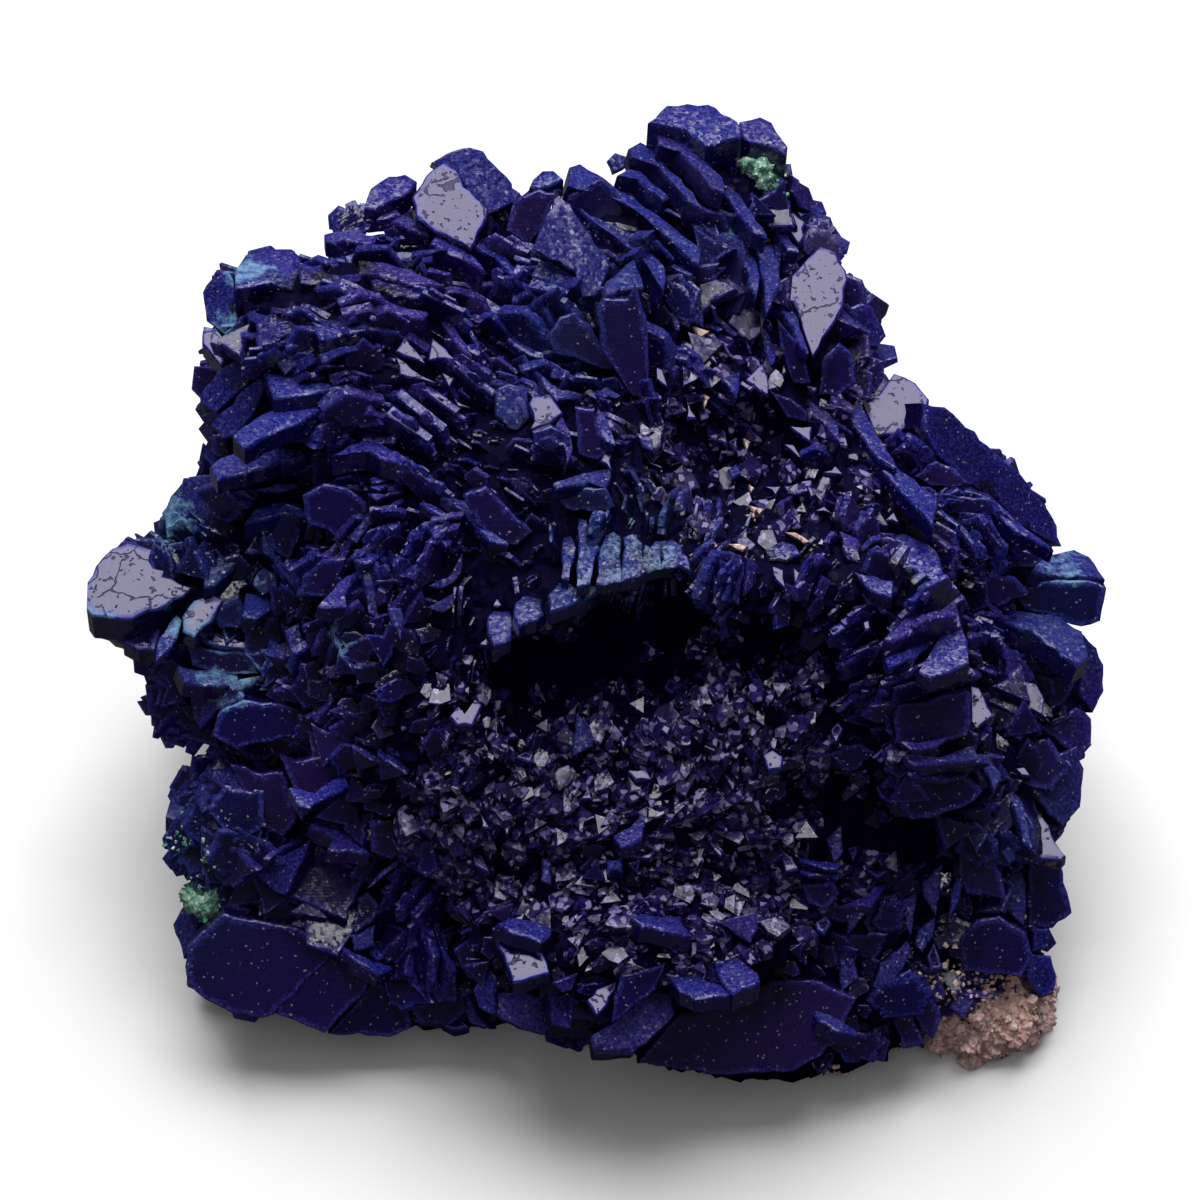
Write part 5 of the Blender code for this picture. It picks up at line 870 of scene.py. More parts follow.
def cut(obj, other):
    """Takes one closed shape out of another."""
    taken = obj.modifiers.new("cut", "BOOLEAN")
    taken.operation = "DIFFERENCE"
    taken.solver = "EXACT"
    taken.object = other
    settle(obj)
    bpy.data.objects.remove(other)
    return obj


APART = 61.7  # puts the hearts of neighbouring facets into different cells of the noise


def crag(points, scale, tilt, seed):
    """How far a crystal-faced surface stands out at each point, in the points' unit.

    It has scale facets to a unit, and each is flat and leans its own way, up to half the tilt.
    """
    heights = np.empty(len(points))
    shift = Vector((seed * 3.7, seed * 1.9, seed * 5.3))
    middle = Vector((0.5, 0.5, 0.5))
    for index, point in enumerate(points):
        spot = Vector(point) * scale + shift
        centre = noise.voronoi(spot)[1][0]
        slope = noise.cell_vector(centre * APART) - middle
        heights[index] = (spot - centre).dot(slope) * tilt / scale
    return heights


def stand_flat(points):
    """Nothing reaches below the flat break, or out of the solids' box."""
    return np.clip(points, np.array(CAD_BOX[0]), np.array(CAD_BOX[1]))


def massive_azurite(voxel):
    """The massive azurite that the crystals stand on, with its hollows, as a closed surface."""
    body = fuse(balls("azurite_massive", LOBES), 2 * voxel)
    hollows = fuse(balls("hollows", HOLLOWS), 2 * voxel)
    cut(body, hollows)
    fuse(body, voxel)
    smooth = body.modifiers.new("smooth", "SMOOTH")
    smooth.factor = 0.5
    smooth.iterations = 4
    return settle(body)


def flat_break(obj):
    """Cuts the object off at the height that it stands at, and closes the cut."""
    bm = bmesh.new()
    bm.from_mesh(obj.data)
    everything = bm.verts[:] + bm.edges[:] + bm.faces[:]
    bmesh.ops.bisect_plane(bm, geom=everything, plane_co=(0, 0, 0), plane_no=(0, 0, 1), clear_inner=True)
    rim = [edge for edge in bm.edges if edge.is_boundary]
    bmesh.ops.triangle_fill(bm, use_beauty=True, edges=rim, normal=(0, 0, -1))
    bmesh.ops.recalc_face_normals(bm, faces=bm.faces)
    bm.to_mesh(obj.data)
    bm.free()


def blade_axes(trace, lean):
    """A plate's turn: its X along the trace, its Y out of the rock, its Z off its large face."""
    along = Vector((math.cos(trace), math.sin(trace), 0))
    across = Vector((-math.sin(trace), math.cos(trace), 0))
    up = math.cos(lean) * across + math.sin(lean) * Vector((0, 0, 1))
    return Matrix((along, up, along.cross(up))).transposed().to_4x4()


# Outlines of tabular crystals: the angle of each corner, and how far out it lies
LONG_HEXAGON = ((8, 1.0), (58, 1.06), (122, 1.06), (180, 1.0), (236, 1.04), (304, 1.04))
SLAT = ((14, 1.0), (66, 1.08), (138, 1.08), (204, 1.1), (328, 1.16))
WEDGE = ((20, 1.0), (95, 1.0), (170, 1.0), (270, 1.1))
RHOMB = ((28, 1.0), (84, 1.15), (150, 1.0), (215, 0.9), (325, 0.9))
TOOTH = ((88, 1.25), (200, 1.0), (335, 1.0))
LEAF = ((10, 1.15), (62, 0.8), (118, 0.85), (176, 1.1), (242, 0.75), (300, 0.8))
STEEP = 30  # degrees of lean past which a plate shows its edge more than its face

# A slab's rings, from its face to its side: inset and rise as shares of its edge, and how worn it is there
BEVELLED = ((1.0, 0.0, 1.0), (0.0, 1.0, 1.0))
GLASSY = ((1.0, 0.0, 0.0), (0.0, 1.0, 0.2))
SCALE_RIM = ((5.0, 0.0, 0.0), (1.0, 0.0, 1.0), (0.0, 1.0, 1.0))


def worn_rim(band):
    """A slab's rings with a band of wear inside its rim; band is its width as a share of the edge."""
    return ((1 + band, -0.01, 0.0), (1.0, 0.0, 1.0), (0.25, 0.35, 1.0), (0.0, 1.0, 1.0))


def outline(rng, length, depth, corners_at, steps, notch):
    """A tabular crystal's outline, with small steps of growth between its corners."""
    corners = []
    for angle, reach in corners_at:
        turn = math.radians(angle + rng.uniform(-12, 12))
        reach *= rng.uniform(0.9, 1.06)
        across, up = 0.5 * length * reach * math.cos(turn), 0.5 * depth * reach * math.sin(turn)
        corners.append(np.array((across, up)))
    ring = []
    for here, corner in enumerate(corners):
        after = corners[(here + 1) % len(corners)]
        ring.append(corner)
        side = after - corner
        inward = np.array((-side[1], side[0])) / max(np.linalg.norm(side), 1e-9)
        inward *= 1 if inward @ corner < 0 else -1
        shares = sorted(rng.uniform(0.15, 0.85) for _ in range(rng.randint(0, steps)))
        for share in shares:
            nip = notch * rng.uniform(0.3, 1.0)
            ring.append(corner + side * share)
            ring.append(corner + side * min(share + 0.06, 0.95) + inward * nip)
    return np.array(ring)


class Growth:
    """Collects slabs as they grow, and makes one mesh of them."""

    def __init__(self):
        self.points, self.faces, self.uvs = [], [], []
        self.rim, self.tone = [], []
        self.count = 0

    def add_rings(self, rings, uvs, wear, tone):
        """Rings of points, from a slab's back face round its side to its front face, in metres."""
        total = len(rings[0])
        start = self.count
        for points in rings:
            self.points.append(points)
        for ring in range(len(rings) - 1):
            for here in range(total):
                after = (here + 1) % total
                low, high = start + ring * total, start + (ring + 1) * total
                self.faces.append((low + here, low + after, high + after, high + here))
                self.uvs += [uvs[ring][here], uvs[ring][after], uvs[ring + 1][after], uvs[ring + 1][here]]
        last = start + (len(rings) - 1) * total
        self.faces.append(tuple(range(start + total - 1, start - 1, -1)))
        self.uvs += list(uvs[0][::-1])
        self.faces.append(tuple(range(last, last + total)))
        self.uvs += list(uvs[-1])
        for share in wear:
            self.rim += [share] * total
        self.tone += [tone] * (len(rings) * total)
        self.count += len(rings) * total

    def add_slab(self, place, corners, low, high, edge, tone, profile, taper=(0.0, 0.0)):
        """One flat slab between two heights; place takes its own millimetres to metres, and taper thins
        it across its length and towards its outer edge."""
        reach = np.maximum(np.linalg.norm(corners, axis=1, keepdims=True), 1e-6)
        span = np.abs(corners).max(axis=0)
        levels = [(inset, low + rise * edge, worn) for inset, rise, worn in profile]
        levels += [(inset, high - rise * edge, worn) for inset, rise, worn in reversed(profile)]
        rings, uvs = [], []
        for inset, height, worn in levels:
            flat = corners * (1 - np.minimum(inset * edge / reach, 0.6))
            across, outward = (flat / span).T
            thin = 1 - taper[0] * across - taper[1] * np.clip(outward + 0.3, 0, 1)
            middle = 0.5 * (low + high)
            local = np.column_stack((flat, middle + (height - middle) * thin, np.ones(len(corners))))
            rings.append((local @ place.T)[:, :3])
            uvs.append([(x + height * 0.3, y + height) for x, y in flat])
        self.add_rings(rings, uvs, [worn for _, _, worn in levels], tone)

    def mesh(self, name, labels=("rim", "tone")):
        """The slabs as one mesh with the attributes that their finish reads."""
        made = bpy.data.meshes.new(name)
        made.from_pydata(np.vstack(self.points).tolist(), [], self.faces)
        layer = made.uv_layers.new(name="grain")
        layer.data.foreach_set("uv", np.array(self.uvs, np.float32).ravel())
        for label in labels:
            put_attribute(made, label, getattr(self, label))
        return made


def grow_crystal(growth, rng, place, size, corners_at, layers):
    """A crystal of several plates in parallel growth, each with its own outline."""
    length, depth, thickness = size
    shares = [rng.uniform(0.5, 1.5) for _ in range(layers)]
    level = -0.5 * thickness
    widest = rng.randrange(layers)
    tone = rng.random()
    for layer in range(layers):
        share = shares[layer] / sum(shares) * thickness
        shrink = 1.0 if layer == widest else rng.uniform(0.72, 0.98)
        corners = outline(rng, length * shrink, depth * shrink, corners_at, 3, 0.3)
        slide = np.array((rng.uniform(-0.1, 0.1) * length, rng.uniform(-0.06, 0.08) * depth))
        edge = min(0.34 * share, rng.uniform(0.1, 0.2))
        growth.add_slab(place, corners + slide * (layer != widest), level - 0.1 * share, level + share, edge,
                        min(1, max(0, tone + rng.uniform(-0.25, 0.25))), worn_rim(0.5 / edge),
                        (rng.uniform(-0.3, 0.3), rng.uniform(0.1, 0.5)))
        level += share


def grow_rim(growth, rng, place, size, spacing):
    """Small pointed crystals in parallel growth along a plate's outer edge."""
    length, depth, thickness = size
    count = int((length + depth) / spacing)
    for spot in range(count):
        turn = math.radians(-15 + 210 * (spot + rng.random()) / count)
        x, y = 0.4 * length * math.cos(turn), 0.4 * depth * math.sin(turn)
        z = rng.uniform(-0.4, 0.4) * thickness
        bit = rng.uniform(0.5, 1.2)
        lean = Euler((rng.gauss(0, 0.06), rng.gauss(0, 0.06), 0.5 * (turn - math.pi / 2) + rng.gauss(0, 0.3)))
        local = np.array(Matrix.Translation((x, y, z)) @ lean.to_matrix().to_4x4())
        corners = outline(rng, bit * rng.uniform(0.8, 1.6), bit, RHOMB, 0, 0)
        rise = rng.uniform(0.1, 0.28)
        growth.add_slab(place @ local, corners, -rise, rise, 0.06, rng.random(), BEVELLED,
                        (rng.uniform(-0.3, 0.3), rng.uniform(0.3, 0.7)))


def inside(places, corners):
    """Which places lie inside an outline."""
    across, up = places[:, 0], places[:, 1]
    odd = np.zeros(len(places), bool)
    for (x0, y0), (x1, y1) in zip(corners, corners[1:] + corners[:1]):
        slant = (x1 - x0) / (y1 - y0) if y1 != y0 else 0.0
        odd ^= ((y0 > up) != (y1 > up)) & (across < slant * (up - y0) + x0)
    return odd


def grow_facet(growth, rng, facet, tree):
    """A plate with the outline that it shows, on the massive azurite's tree."""
    lie, lift, thickness, corners = facet
    facing = Vector(FACINGS[lie][0]).normalized()
    face_wear_and_painted_light = FACINGS[lie][1]
    flat = np.array(corners, float)
    middle = flat.mean(axis=0)
    slope = np.array(facing.xy) / facing.z
    checked = (*(0.85 * flat + 0.15 * middle), *(0.45 * flat + 0.55 * middle), middle)
    out = lift + max(depth_at(tree, *spot) + (spot - middle) @ slope for spot in checked)
    ring = []
    for here, corner in enumerate(flat):
        side = flat[(here + 1) % len(flat)] - corner
        length = np.linalg.norm(side)
        steps = max(1, round(length / 0.5))
        for step in range(steps):
            shift = rng.gauss(0, 0.05) if step else 0.0
            ring.append(corner + side * step / steps + np.array((-side[1], side[0])) / length * shift)
    ring = np.array(ring)
    if np.cross(ring[1] - ring[0], middle - ring[0]) < 0:
        ring = ring[::-1]
    away = ring - middle
    reach = np.maximum(np.linalg.norm(away, axis=1, keepdims=True), 1e-6)
    rings, uvs, wear = [], [], []
    edge = min(0.1, 0.25 * thickness)
    # The rim is worn pale; inside it, the face takes its lie's paleness, partly wear and partly painted light
    levels = [
        (1.2, -thickness, 0.0), (0.0, edge - thickness, 0.0), (0.0, -min(0.3, 0.5 * thickness), 0.0),
        (0.0, -edge, 1.0), (0.5, -0.3 * edge, 1.0), (1.0, 0.0, 1.0), (1.0 + 0.45 / edge, 0.002, face_wear_and_painted_light),
    ]
    for inset, rise, worn in levels:
        spot = middle + away * (1 - np.minimum(inset * edge / reach, 0.6))
        height = out - (spot - middle) @ slope
        spot = AIM + (spot - AIM) * (1 - np.maximum(height, 0)[:, None] / VIEW_DISTANCE)
        local = np.column_stack((spot, height)) + np.array(facing) * rise
        rings.append(np.column_stack((local, np.ones(len(local)))) @ np.array(FACE).T[:, :3])
        uvs.append([(x, y) for x, y in spot])
        wear.append(worn)
    growth.add_rings(rings, uvs, wear, rng.random())


def unit(vectors):
    """Vectors brought to a length of one."""
    return vectors / np.maximum(np.linalg.norm(vectors, axis=-1, keepdims=True), 1e-9)


def zone(places, spots):
    """How strongly each place on the show face lies in a set of round zones, from 0 to 1."""
    total = np.zeros(len(places))
    for (across, up), reach, strength in spots:
        away = np.hypot(places[:, 0] - across, places[:, 1] - up) / reach
        total = np.maximum(total, strength * np.clip(1.5 - away, 0, 1))
    return total


def plate_list():
    """Every plate of the show face: place, trace, lean, size and lift, with the books opened out."""
    rng = random.Random(11)
    plates = []
    for across, up, trace, lean, length, depth, thickness, lift in BLADES:
        plates.append(((across, up), trace, lean, (length, depth, thickness), lift))
    for first, last, traces, leans, length, depth, thickness, count, lift in BOOKS:
        leaves = 2 * count - 1
        for leaf in range(leaves):
            share = leaf / max(leaves - 1, 1)
            place = tuple(a + (b - a) * share for a, b in zip(first, last))
            trace = traces[0] + (traces[1] - traces[0]) * share + rng.uniform(-4, 4)
            lean = leans[0] + (leans[1] - leans[0]) * share + rng.uniform(-5, 5)
            size = (length * rng.uniform(0.8, 1.12), depth * rng.uniform(0.9, 1.1),
                    thickness * rng.uniform(0.45, 0.7))
            plates.append((place, trace, lean, size, lift))
    return plates


def growth_field(obj, seeds):
    """For each corner of the massive azurite, which way a plate there faces and which way it grows."""
    mesh = obj.data
    points, normals = points_of(mesh), normals_of(mesh)
    places = on_face(points)
    turn = np.array(FACE.to_3x3()) / MM
    faces, grows, spots = [], [], []
    for place, trace, lean, _, _ in seeds:
        axes = np.array(blade_axes(math.radians(trace), math.radians(lean)))[:3, :3]
        faces.append(turn @ axes[:, 2])
        grows.append(turn @ axes[:, 1])
        spots.append(place)
    faces, grows, spots = np.array(faces), np.array(grows), np.array(spots)
    away = np.linalg.norm(places[:, None, :2] - spots[None], axis=2)
    weight = 1 / (away ** 2 + 0.7) ** 2
    nearest = faces[np.argmin(away, axis=1)]
    sign = np.sign(np.einsum("pk,sk->ps", nearest, faces))
    face = unit(np.einsum("ps,sk->pk", weight * sign, faces))
    sign = np.sign(grows @ np.array(OUT))
    grow = unit(np.einsum("ps,sk->pk", weight * sign[None], grows))
    shown = np.clip((normals @ np.array(OUT)) * 3 + 0.4, 0, 1)[:, None]
    hearts = np.array([FACE @ Vector(heart) for heart in FAR_ROSETTES])
    apart = np.linalg.norm(points[:, None] - hearts[None], axis=2)
    heart = hearts[np.argmin(apart, axis=1)]
    petal = unit(np.cross(normals, points - heart))
    petal *= np.sign(np.einsum("pk,pk->p", petal, face))[:, None]
    face = unit(face * shown + petal * (1 - shown))
    grow = unit(grow * shown * 0.8 + normals * (1 - shown * 0.55))
    grow = unit(grow - face * np.einsum("pk,pk->p", grow, face)[:, None])
    return places, normals, face, grow, shown[:, 0]


def crystal_sizes(places):
    """The length of the crystals between the plates, in mm, blended from the nearest named places."""
    total, weights = np.zeros(len(places)), np.zeros(len(places))
    for (across, up), reach, size in CRYSTAL_SIZES:
        away = np.hypot(places[:, 0] - across, places[:, 1] - up) / reach
        weight = 1 / (away ** 2 + 0.15) ** 2
        total += weight * size
        weights += weight
    return total / weights


CRYSTAL_KINDS = 12  # different crystals in a set


class Nodes:
    """A node tree in the making, with short calls for the nodes that come up often."""

    def __init__(self, tree):
        self.tree = tree

    def make(self, kind, inputs=(), **settings):
        """Adds a node by type, sets its properties and inputs, and returns it."""
        node = self.tree.nodes.new(kind)
        for key, value in settings.items():
            setattr(node, key, value)
        for key, value in dict(inputs).items():
            if isinstance(value, bpy.types.NodeSocket):
                self.tree.links.new(value, node.inputs[key])
            else:
                node.inputs[key].default_value = value
        return node

    def math(self, operation, first, second=0.0, clamp=False):
        node = self.make("ShaderNodeMath", {0: first, 1: second}, operation=operation, use_clamp=clamp)
        return node.outputs[0]

    def vector(self, operation, inputs):
        return self.make("ShaderNodeVectorMath", inputs, operation=operation).outputs

    def ramp(self, value, low, high, to_low=0.0, to_high=1.0):
        return self.make("ShaderNodeMapRange", {0: value, 1: low, 2: high, 3: to_low, 4: to_high}).outputs[0]


def scatter_tree():
    """Geometry Nodes that stand crystals on a surface, turned as its face_way and grow_way say."""
    tree = bpy.data.node_groups.new("Stand crystals", "GeometryNodeTree")
    sockets = (
        ("Surface", "NodeSocketGeometry", None), ("Crystals", "NodeSocketCollection", None),
        ("Spacing", "NodeSocketFloat", MM), ("Smallest", "NodeSocketFloat", 0.7),
        ("Largest", "NodeSocketFloat", 1.3), ("Sway", "NodeSocketFloat", 0.2),
        ("Sink", "NodeSocketFloat", 0.1), ("Seed", "NodeSocketInt", 1),
        ("Finish", "NodeSocketMaterial", None),
    )
    for name, kind, default in sockets:
        socket = tree.interface.new_socket(name, in_out="INPUT", socket_type=kind)
        if default is not None:
            socket.default_value = default
    tree.interface.new_socket("Crystal growth", in_out="OUTPUT", socket_type="NodeSocketGeometry")
    made = Nodes(tree)
    make = made.make
    given = make("NodeGroupInput").outputs

    def named(label, kind):
        return make("GeometryNodeInputNamedAttribute", {"Name": label}, data_type=kind).outputs["Attribute"]

    def chance(kind, low, high, salt):
        seed = make("FunctionNodeInputInt", integer=salt).outputs[0]
        mixed = made.math("ADD", given["Seed"], seed)
        least, most, out = {"FLOAT": (2, 3, 1), "FLOAT_VECTOR": (0, 1, 0), "INT": (4, 5, 2)}[kind]
        inputs = {least: low, most: high, "Seed": mixed}
        return make("FunctionNodeRandomValue", inputs, data_type=kind).outputs[out]

    dense = made.math("DIVIDE", made.math("DIVIDE", 3.0, given["Spacing"]), given["Spacing"])
    points = make("GeometryNodeDistributePointsOnFaces", {
        "Mesh": given["Surface"], "Distance Min": given["Spacing"], "Density Max": dense,
        "Density Factor": named("keep", "FLOAT"), "Seed": given["Seed"]}, distribute_method="POISSON")
    stand = make("FunctionNodeAxesToRotation", {
        "Primary Axis": named("face_way", "FLOAT_VECTOR"),
        "Secondary Axis": named("grow_way", "FLOAT_VECTOR"),
    }, primary_axis="Z", secondary_axis="Y")
    sway = chance("FLOAT_VECTOR", (-1, -1, -1), (1, 1, 1), 5)
    sway = made.vector("SCALE", {0: sway, "Scale": given["Sway"]})[0]
    swayed = make("FunctionNodeEulerToRotation", {0: sway}).outputs[0]
    turned = make("FunctionNodeRotateRotation", {0: stand.outputs[0], 1: swayed}, rotation_space="LOCAL")
    size = chance("FLOAT", given["Smallest"], given["Largest"], 9)
    size = made.math("MULTIPLY", size, named("size", "FLOAT"))
    kinds = make("GeometryNodeCollectionInfo", {
        "Collection": given["Crystals"], "Separate Children": True, "Reset Children": True})
    pick = chance("INT", 0, CRYSTAL_KINDS - 1, 3)
    stood = make("GeometryNodeInstanceOnPoints", {
        "Points": points.outputs["Points"], "Instance": kinds.outputs[0], "Pick Instance": True,
        "Instance Index": pick, "Rotation": turned.outputs[0], "Scale": size})
    depth = made.math("MULTIPLY", made.math("MULTIPLY", size, given["Sink"]), -1.0)
    down = make("ShaderNodeCombineXYZ", {"Y": depth}).outputs[0]
    sunk = make("GeometryNodeTranslateInstances", {"Instances": stood.outputs[0], "Translation": down,
                                                   "Local Space": True})
    toned = make("GeometryNodeStoreNamedAttribute", {
        "Geometry": sunk.outputs[0], "Name": "tone", "Value": chance("FLOAT", 0.0, 1.0, 17)},
        data_type="FLOAT", domain="INSTANCE")
    real = make("GeometryNodeRealizeInstances", {"Geometry": toned.outputs[0]})
    done = make("GeometryNodeSetMaterial", {"Geometry": real.outputs[0], "Material": given["Finish"]})
    make("NodeGroupOutput", {0: done.outputs[0]})
    return tree


def crystal_kinds(name, habits, layers, thick, edge, profile, steps, seed):
    """A set of crystals of unit length for the scatter to pick from."""
    rng = random.Random(seed)
    kinds = bpy.data.collections.new(name)
    bpy.context.scene.collection.children.link(kinds)
    for kind in range(CRYSTAL_KINDS):
        growth = Growth()
        level = -0.5 * thick[0]
        for layer in range(1 + kind % layers):
            shrink = rng.uniform(0.75, 1.0)
            corners = outline(rng, shrink, shrink * rng.uniform(0.7, 1.0), habits[kind % len(habits)], steps,
                              0.08)
            corners += np.array((rng.uniform(-0.1, 0.1), rng.uniform(-0.1, 0.1))) * (layer > 0)
            rise = rng.uniform(*thick)
            growth.add_slab(np.eye(4), corners, level, level + rise, edge, 0.5, profile,
                            (rng.uniform(-0.3, 0.3), rng.uniform(0.2, 0.7)))
            level += rise * 0.9
        obj = bpy.data.objects.new(f"{name}_{kind}", growth.mesh(f"{name}_{kind}", ("rim",)))
        kinds.objects.link(obj)
    return kinds


def scatter(name, surface, kinds, finish, **values):
    """Stands crystals on a surface and returns them as one plain mesh."""
    tree = bpy.data.node_groups.get("Stand crystals") or scatter_tree()
    obj = new_object(name, surface.data.copy())
    grown = obj.modifiers.new("crystals", "NODES")
    grown.node_group = tree
    values |= {"Crystals": kinds, "Finish": finish}
    for item in tree.interface.items_tree:
        if item.in_out == "INPUT" and item.name in values:
            grown[item.identifier] = values[item.name]
    settle(obj)
    for kind in list(kinds.objects):
        bpy.data.objects.remove(kind)
    bpy.data.collections.remove(kinds)
    return obj


def shader_group(name, inputs, outputs):
    """An empty shader node group with named number, vector and colour sockets."""
    group = bpy.data.node_groups.new(name, "ShaderNodeTree")
    for label, kind, default in inputs:
        socket = group.interface.new_socket(label, in_out="INPUT", socket_type=f"NodeSocket{kind}")
        if default is not None:
            socket.default_value = default
    for label, kind in outputs:
        group.interface.new_socket(label, in_out="OUTPUT", socket_type=f"NodeSocket{kind}")
    made = Nodes(group)
    return made, made.make("NodeGroupInput").outputs


def facet_group():
    """Crystal facets too small to model: flat cells, each leaning its own way, as a height in mm."""
    made, given = shader_group(
        "Crystal facets", (("Place", "Vector", None), ("Cells per mm", "Float", 3.0), ("Lean", "Float", 0.5)),
        (("Height", "Float"), ("Chance", "Float")))
    cells = made.make("ShaderNodeTexVoronoi", {"Vector": given["Place"], "Scale": given["Cells per mm"]})
    away = made.vector("SUBTRACT", {0: given["Place"], 1: cells.outputs["Position"]})[0]
    way = made.vector("SUBTRACT", {0: cells.outputs["Color"], 1: (0.5, 0.5, 0.5)})[0]
    slope = made.vector("DOT_PRODUCT", {0: away, 1: way})["Value"]
    chance = made.make("ShaderNodeSeparateColor", {0: cells.outputs["Color"]}).outputs[0]
    made.make("NodeGroupOutput", {0: made.math("MULTIPLY", slope, given["Lean"]), 1: chance})
    return made.tree


def growth_line_group():
    """Fine growth lines along a plate's length, as a height."""
    made, given = shader_group(
        "Growth lines", (("Grain", "Vector", None), ("Lines per mm", "Float", 6.0)), (("Height", "Float"),))
    along = made.make("ShaderNodeMapping", {"Vector": given["Grain"], "Scale": (0.12, 1.0, 1.0)}).outputs[0]
    lines = made.make("ShaderNodeTexNoise", {
        "Vector": along, "Scale": given["Lines per mm"], "Detail": 1.0, "Roughness": 0.7,
    }, noise_dimensions="2D")
    made.make("NodeGroupOutput", {0: lines.outputs[0]})
    return made.tree


def dust_group():
    """Where powder or fine crust lies: thick where the amount is high, broken up at its edge."""
    made, given = shader_group(
        "Mineral dust",
        (("Place", "Vector", None), ("Amount", "Float", 0.0), ("Patches per mm", "Float", 1.2)),
        (("Mask", "Float"),))
    patch = made.make("ShaderNodeTexNoise", {
        "Vector": given["Place"], "Scale": given["Patches per mm"], "Detail": 4.0, "Roughness": 0.8,
    }).outputs[0]
    above = made.math("SUBTRACT", patch, made.math("SUBTRACT", 0.78, given["Amount"]))
    made.make("NodeGroupOutput", {0: made.ramp(above, 0.0, 0.2)})
    return made.tree


def crack_group():
    """Thin wandering cracks and cleavage steps across bright faces."""
    made, given = shader_group("Cracks", (("Place", "Vector", None),), (("Mask", "Float"),))
    place = given["Place"]

    def cloud(scale, detail):
        return made.make("ShaderNodeTexNoise", {"Vector": place, "Scale": scale, "Detail": detail}).outputs

    bend = made.vector("SCALE", {0: cloud(1.1, 2.0)["Color"], "Scale": 1.1})[0]
    spot = made.vector("ADD", {0: place, 1: bend})[0]
    cells = made.make("ShaderNodeTexVoronoi", {"Vector": spot, "Scale": 0.42}, feature="DISTANCE_TO_EDGE")
    line = made.ramp(cells.outputs[0], 0.008, 0.022, 1.0, 0.0)
    line = made.math("MULTIPLY", line, made.ramp(cloud(0.5, 1.0)[0], 0.48, 0.54))
    pits = made.ramp(cloud(3.2, 3.0)[0], 0.62, 0.68)
    made.make("NodeGroupOutput", {0: made.math("MAXIMUM", line, pits)})
    return made.tree


def finish_group(build):
    """A shared shader group, built the first time that it is asked for."""
    names = {facet_group: "Crystal facets", growth_line_group: "Growth lines", dust_group: "Mineral dust",
             crack_group: "Cracks"}
    return bpy.data.node_groups.get(names[build]) or build()


class Finish(Nodes):
    """A material in the making, with short calls for what its finish is built from."""

    def __init__(self, name):
        self.material = bpy.data.materials.new(name)
        self.material.use_nodes = True
        super().__init__(self.material.node_tree)
        self.shader = self.tree.nodes["Principled BSDF"]
        place = self.make("ShaderNodeTexCoord").outputs["Object"]
        self.place = self.make("ShaderNodeMapping", {"Vector": place, "Scale": (1 / MM,) * 3}).outputs[0]

    def attribute(self, name):
        return self.make("ShaderNodeAttribute", attribute_name=name).outputs["Fac"]

    def group(self, build, **inputs):
        inputs = {key.replace("_", " "): value for key, value in inputs.items()}
        return self.make("ShaderNodeGroup", inputs, node_tree=finish_group(build)).outputs

    def noise(self, scale, detail=3.0, roughness=0.5):
        return self.make("ShaderNodeTexNoise", {
            "Vector": self.place, "Scale": scale, "Detail": detail, "Roughness": roughness,
        }).outputs[0]

    def mix(self, share, first, second):
        ends = [end if isinstance(end, bpy.types.NodeSocket) else (*end[:3], 1) for end in (first, second)]
        return self.make("ShaderNodeMix", {0: share, 6: ends[0], 7: ends[1]}, data_type="RGBA").outputs[2]

    def feed(self, socket, value):
        self.tree.links.new(value, self.shader.inputs[socket])

    def bump(self, height, strength=1.0):
        node = self.make("ShaderNodeBump", {"Strength": strength, "Distance": MM, "Height": height})
        self.tree.links.new(node.outputs[0], self.shader.inputs["Normal"])

    def set(self, **values):
        for key, value in values.items():
            self.shader.inputs[key.replace("_", " ")].default_value = value


def azurite_colour(made, colours, rim, tone):
    """Indigo to sea blue azurite with paler worn edges, faces painted paler where they met the light, and
    painted shade low in the gaps: its colour, its wear with painted light, and its dust.
    """
    cloud = made.noise(0.5, 4.0, 0.65)
    sugar = made.noise(4.0, 2.0, 0.7)
    drift = made.math("ADD", made.math("MULTIPLY", tone, 0.55), made.math("MULTIPLY", cloud, 0.5))
    sea = made.math("MULTIPLY", made.attribute("sea"), made.ramp(drift, 0.2, 0.9, 0.5, 1.3), clamp=True)
    dust = made.attribute("dust")
    face = made.mix(made.ramp(drift, 0.3, 0.8), colours.indigo, colours.violet)
    face = made.mix(sea, face, colours.sea_dark)
    edge = made.mix(made.ramp(drift, 0.25, 0.85), colours.edge, colours.violet_edge)
    edge = made.mix(sea, edge, colours.sea_edge)
    spread = made.math("MULTIPLY", made.math("MAXIMUM", dust, sea), 0.3)
    reach = made.math("ADD", made.math("MULTIPLY", sugar, 1.1), spread)
    # How pale the azurite turns: from worn edges, and from faces painted pale where they met the light
    worn = made.ramp(made.math("ADD", rim, reach), 0.95, 1.6)
    colour = made.mix(worn, face, edge)
    grit = made.noise(8.0, 1.0, 0.6)
    colour = made.mix(made.ramp(grit, 0.62, 0.74, 0.0, 0.5), colour, edge)
    colour = made.mix(made.ramp(grit, 0.46, 0.32, 0.0, 0.75), colour, colours.indigo)
    frost = made.math("MULTIPLY", worn, made.ramp(grit, 0.48, 0.7, 0.0, 0.75))
    frost = made.math("MULTIPLY", frost, made.ramp(sea, 0.0, 1.0, 1.0, 0.4))
    colour = made.mix(frost, colour, colours.frost)
    # Painted shade: crystals turn near-black low over the massive azurite, where the gaps between them lie in
    # shade
    colour = made.mix(made.ramp(made.attribute("rise"), -0.2, 1.15, 1.0, 0.0), colour, colours.gap)
    thick = made.math("MULTIPLY", dust, made.ramp(rim, 0.0, 1.0, 0.2, 0.48))
    powder = made.group(dust_group, Place=made.place, Amount=thick)["Mask"]
    colour = made.mix(made.math("MULTIPLY", powder, 0.7), colour, colours.dust)
    return colour, worn, powder


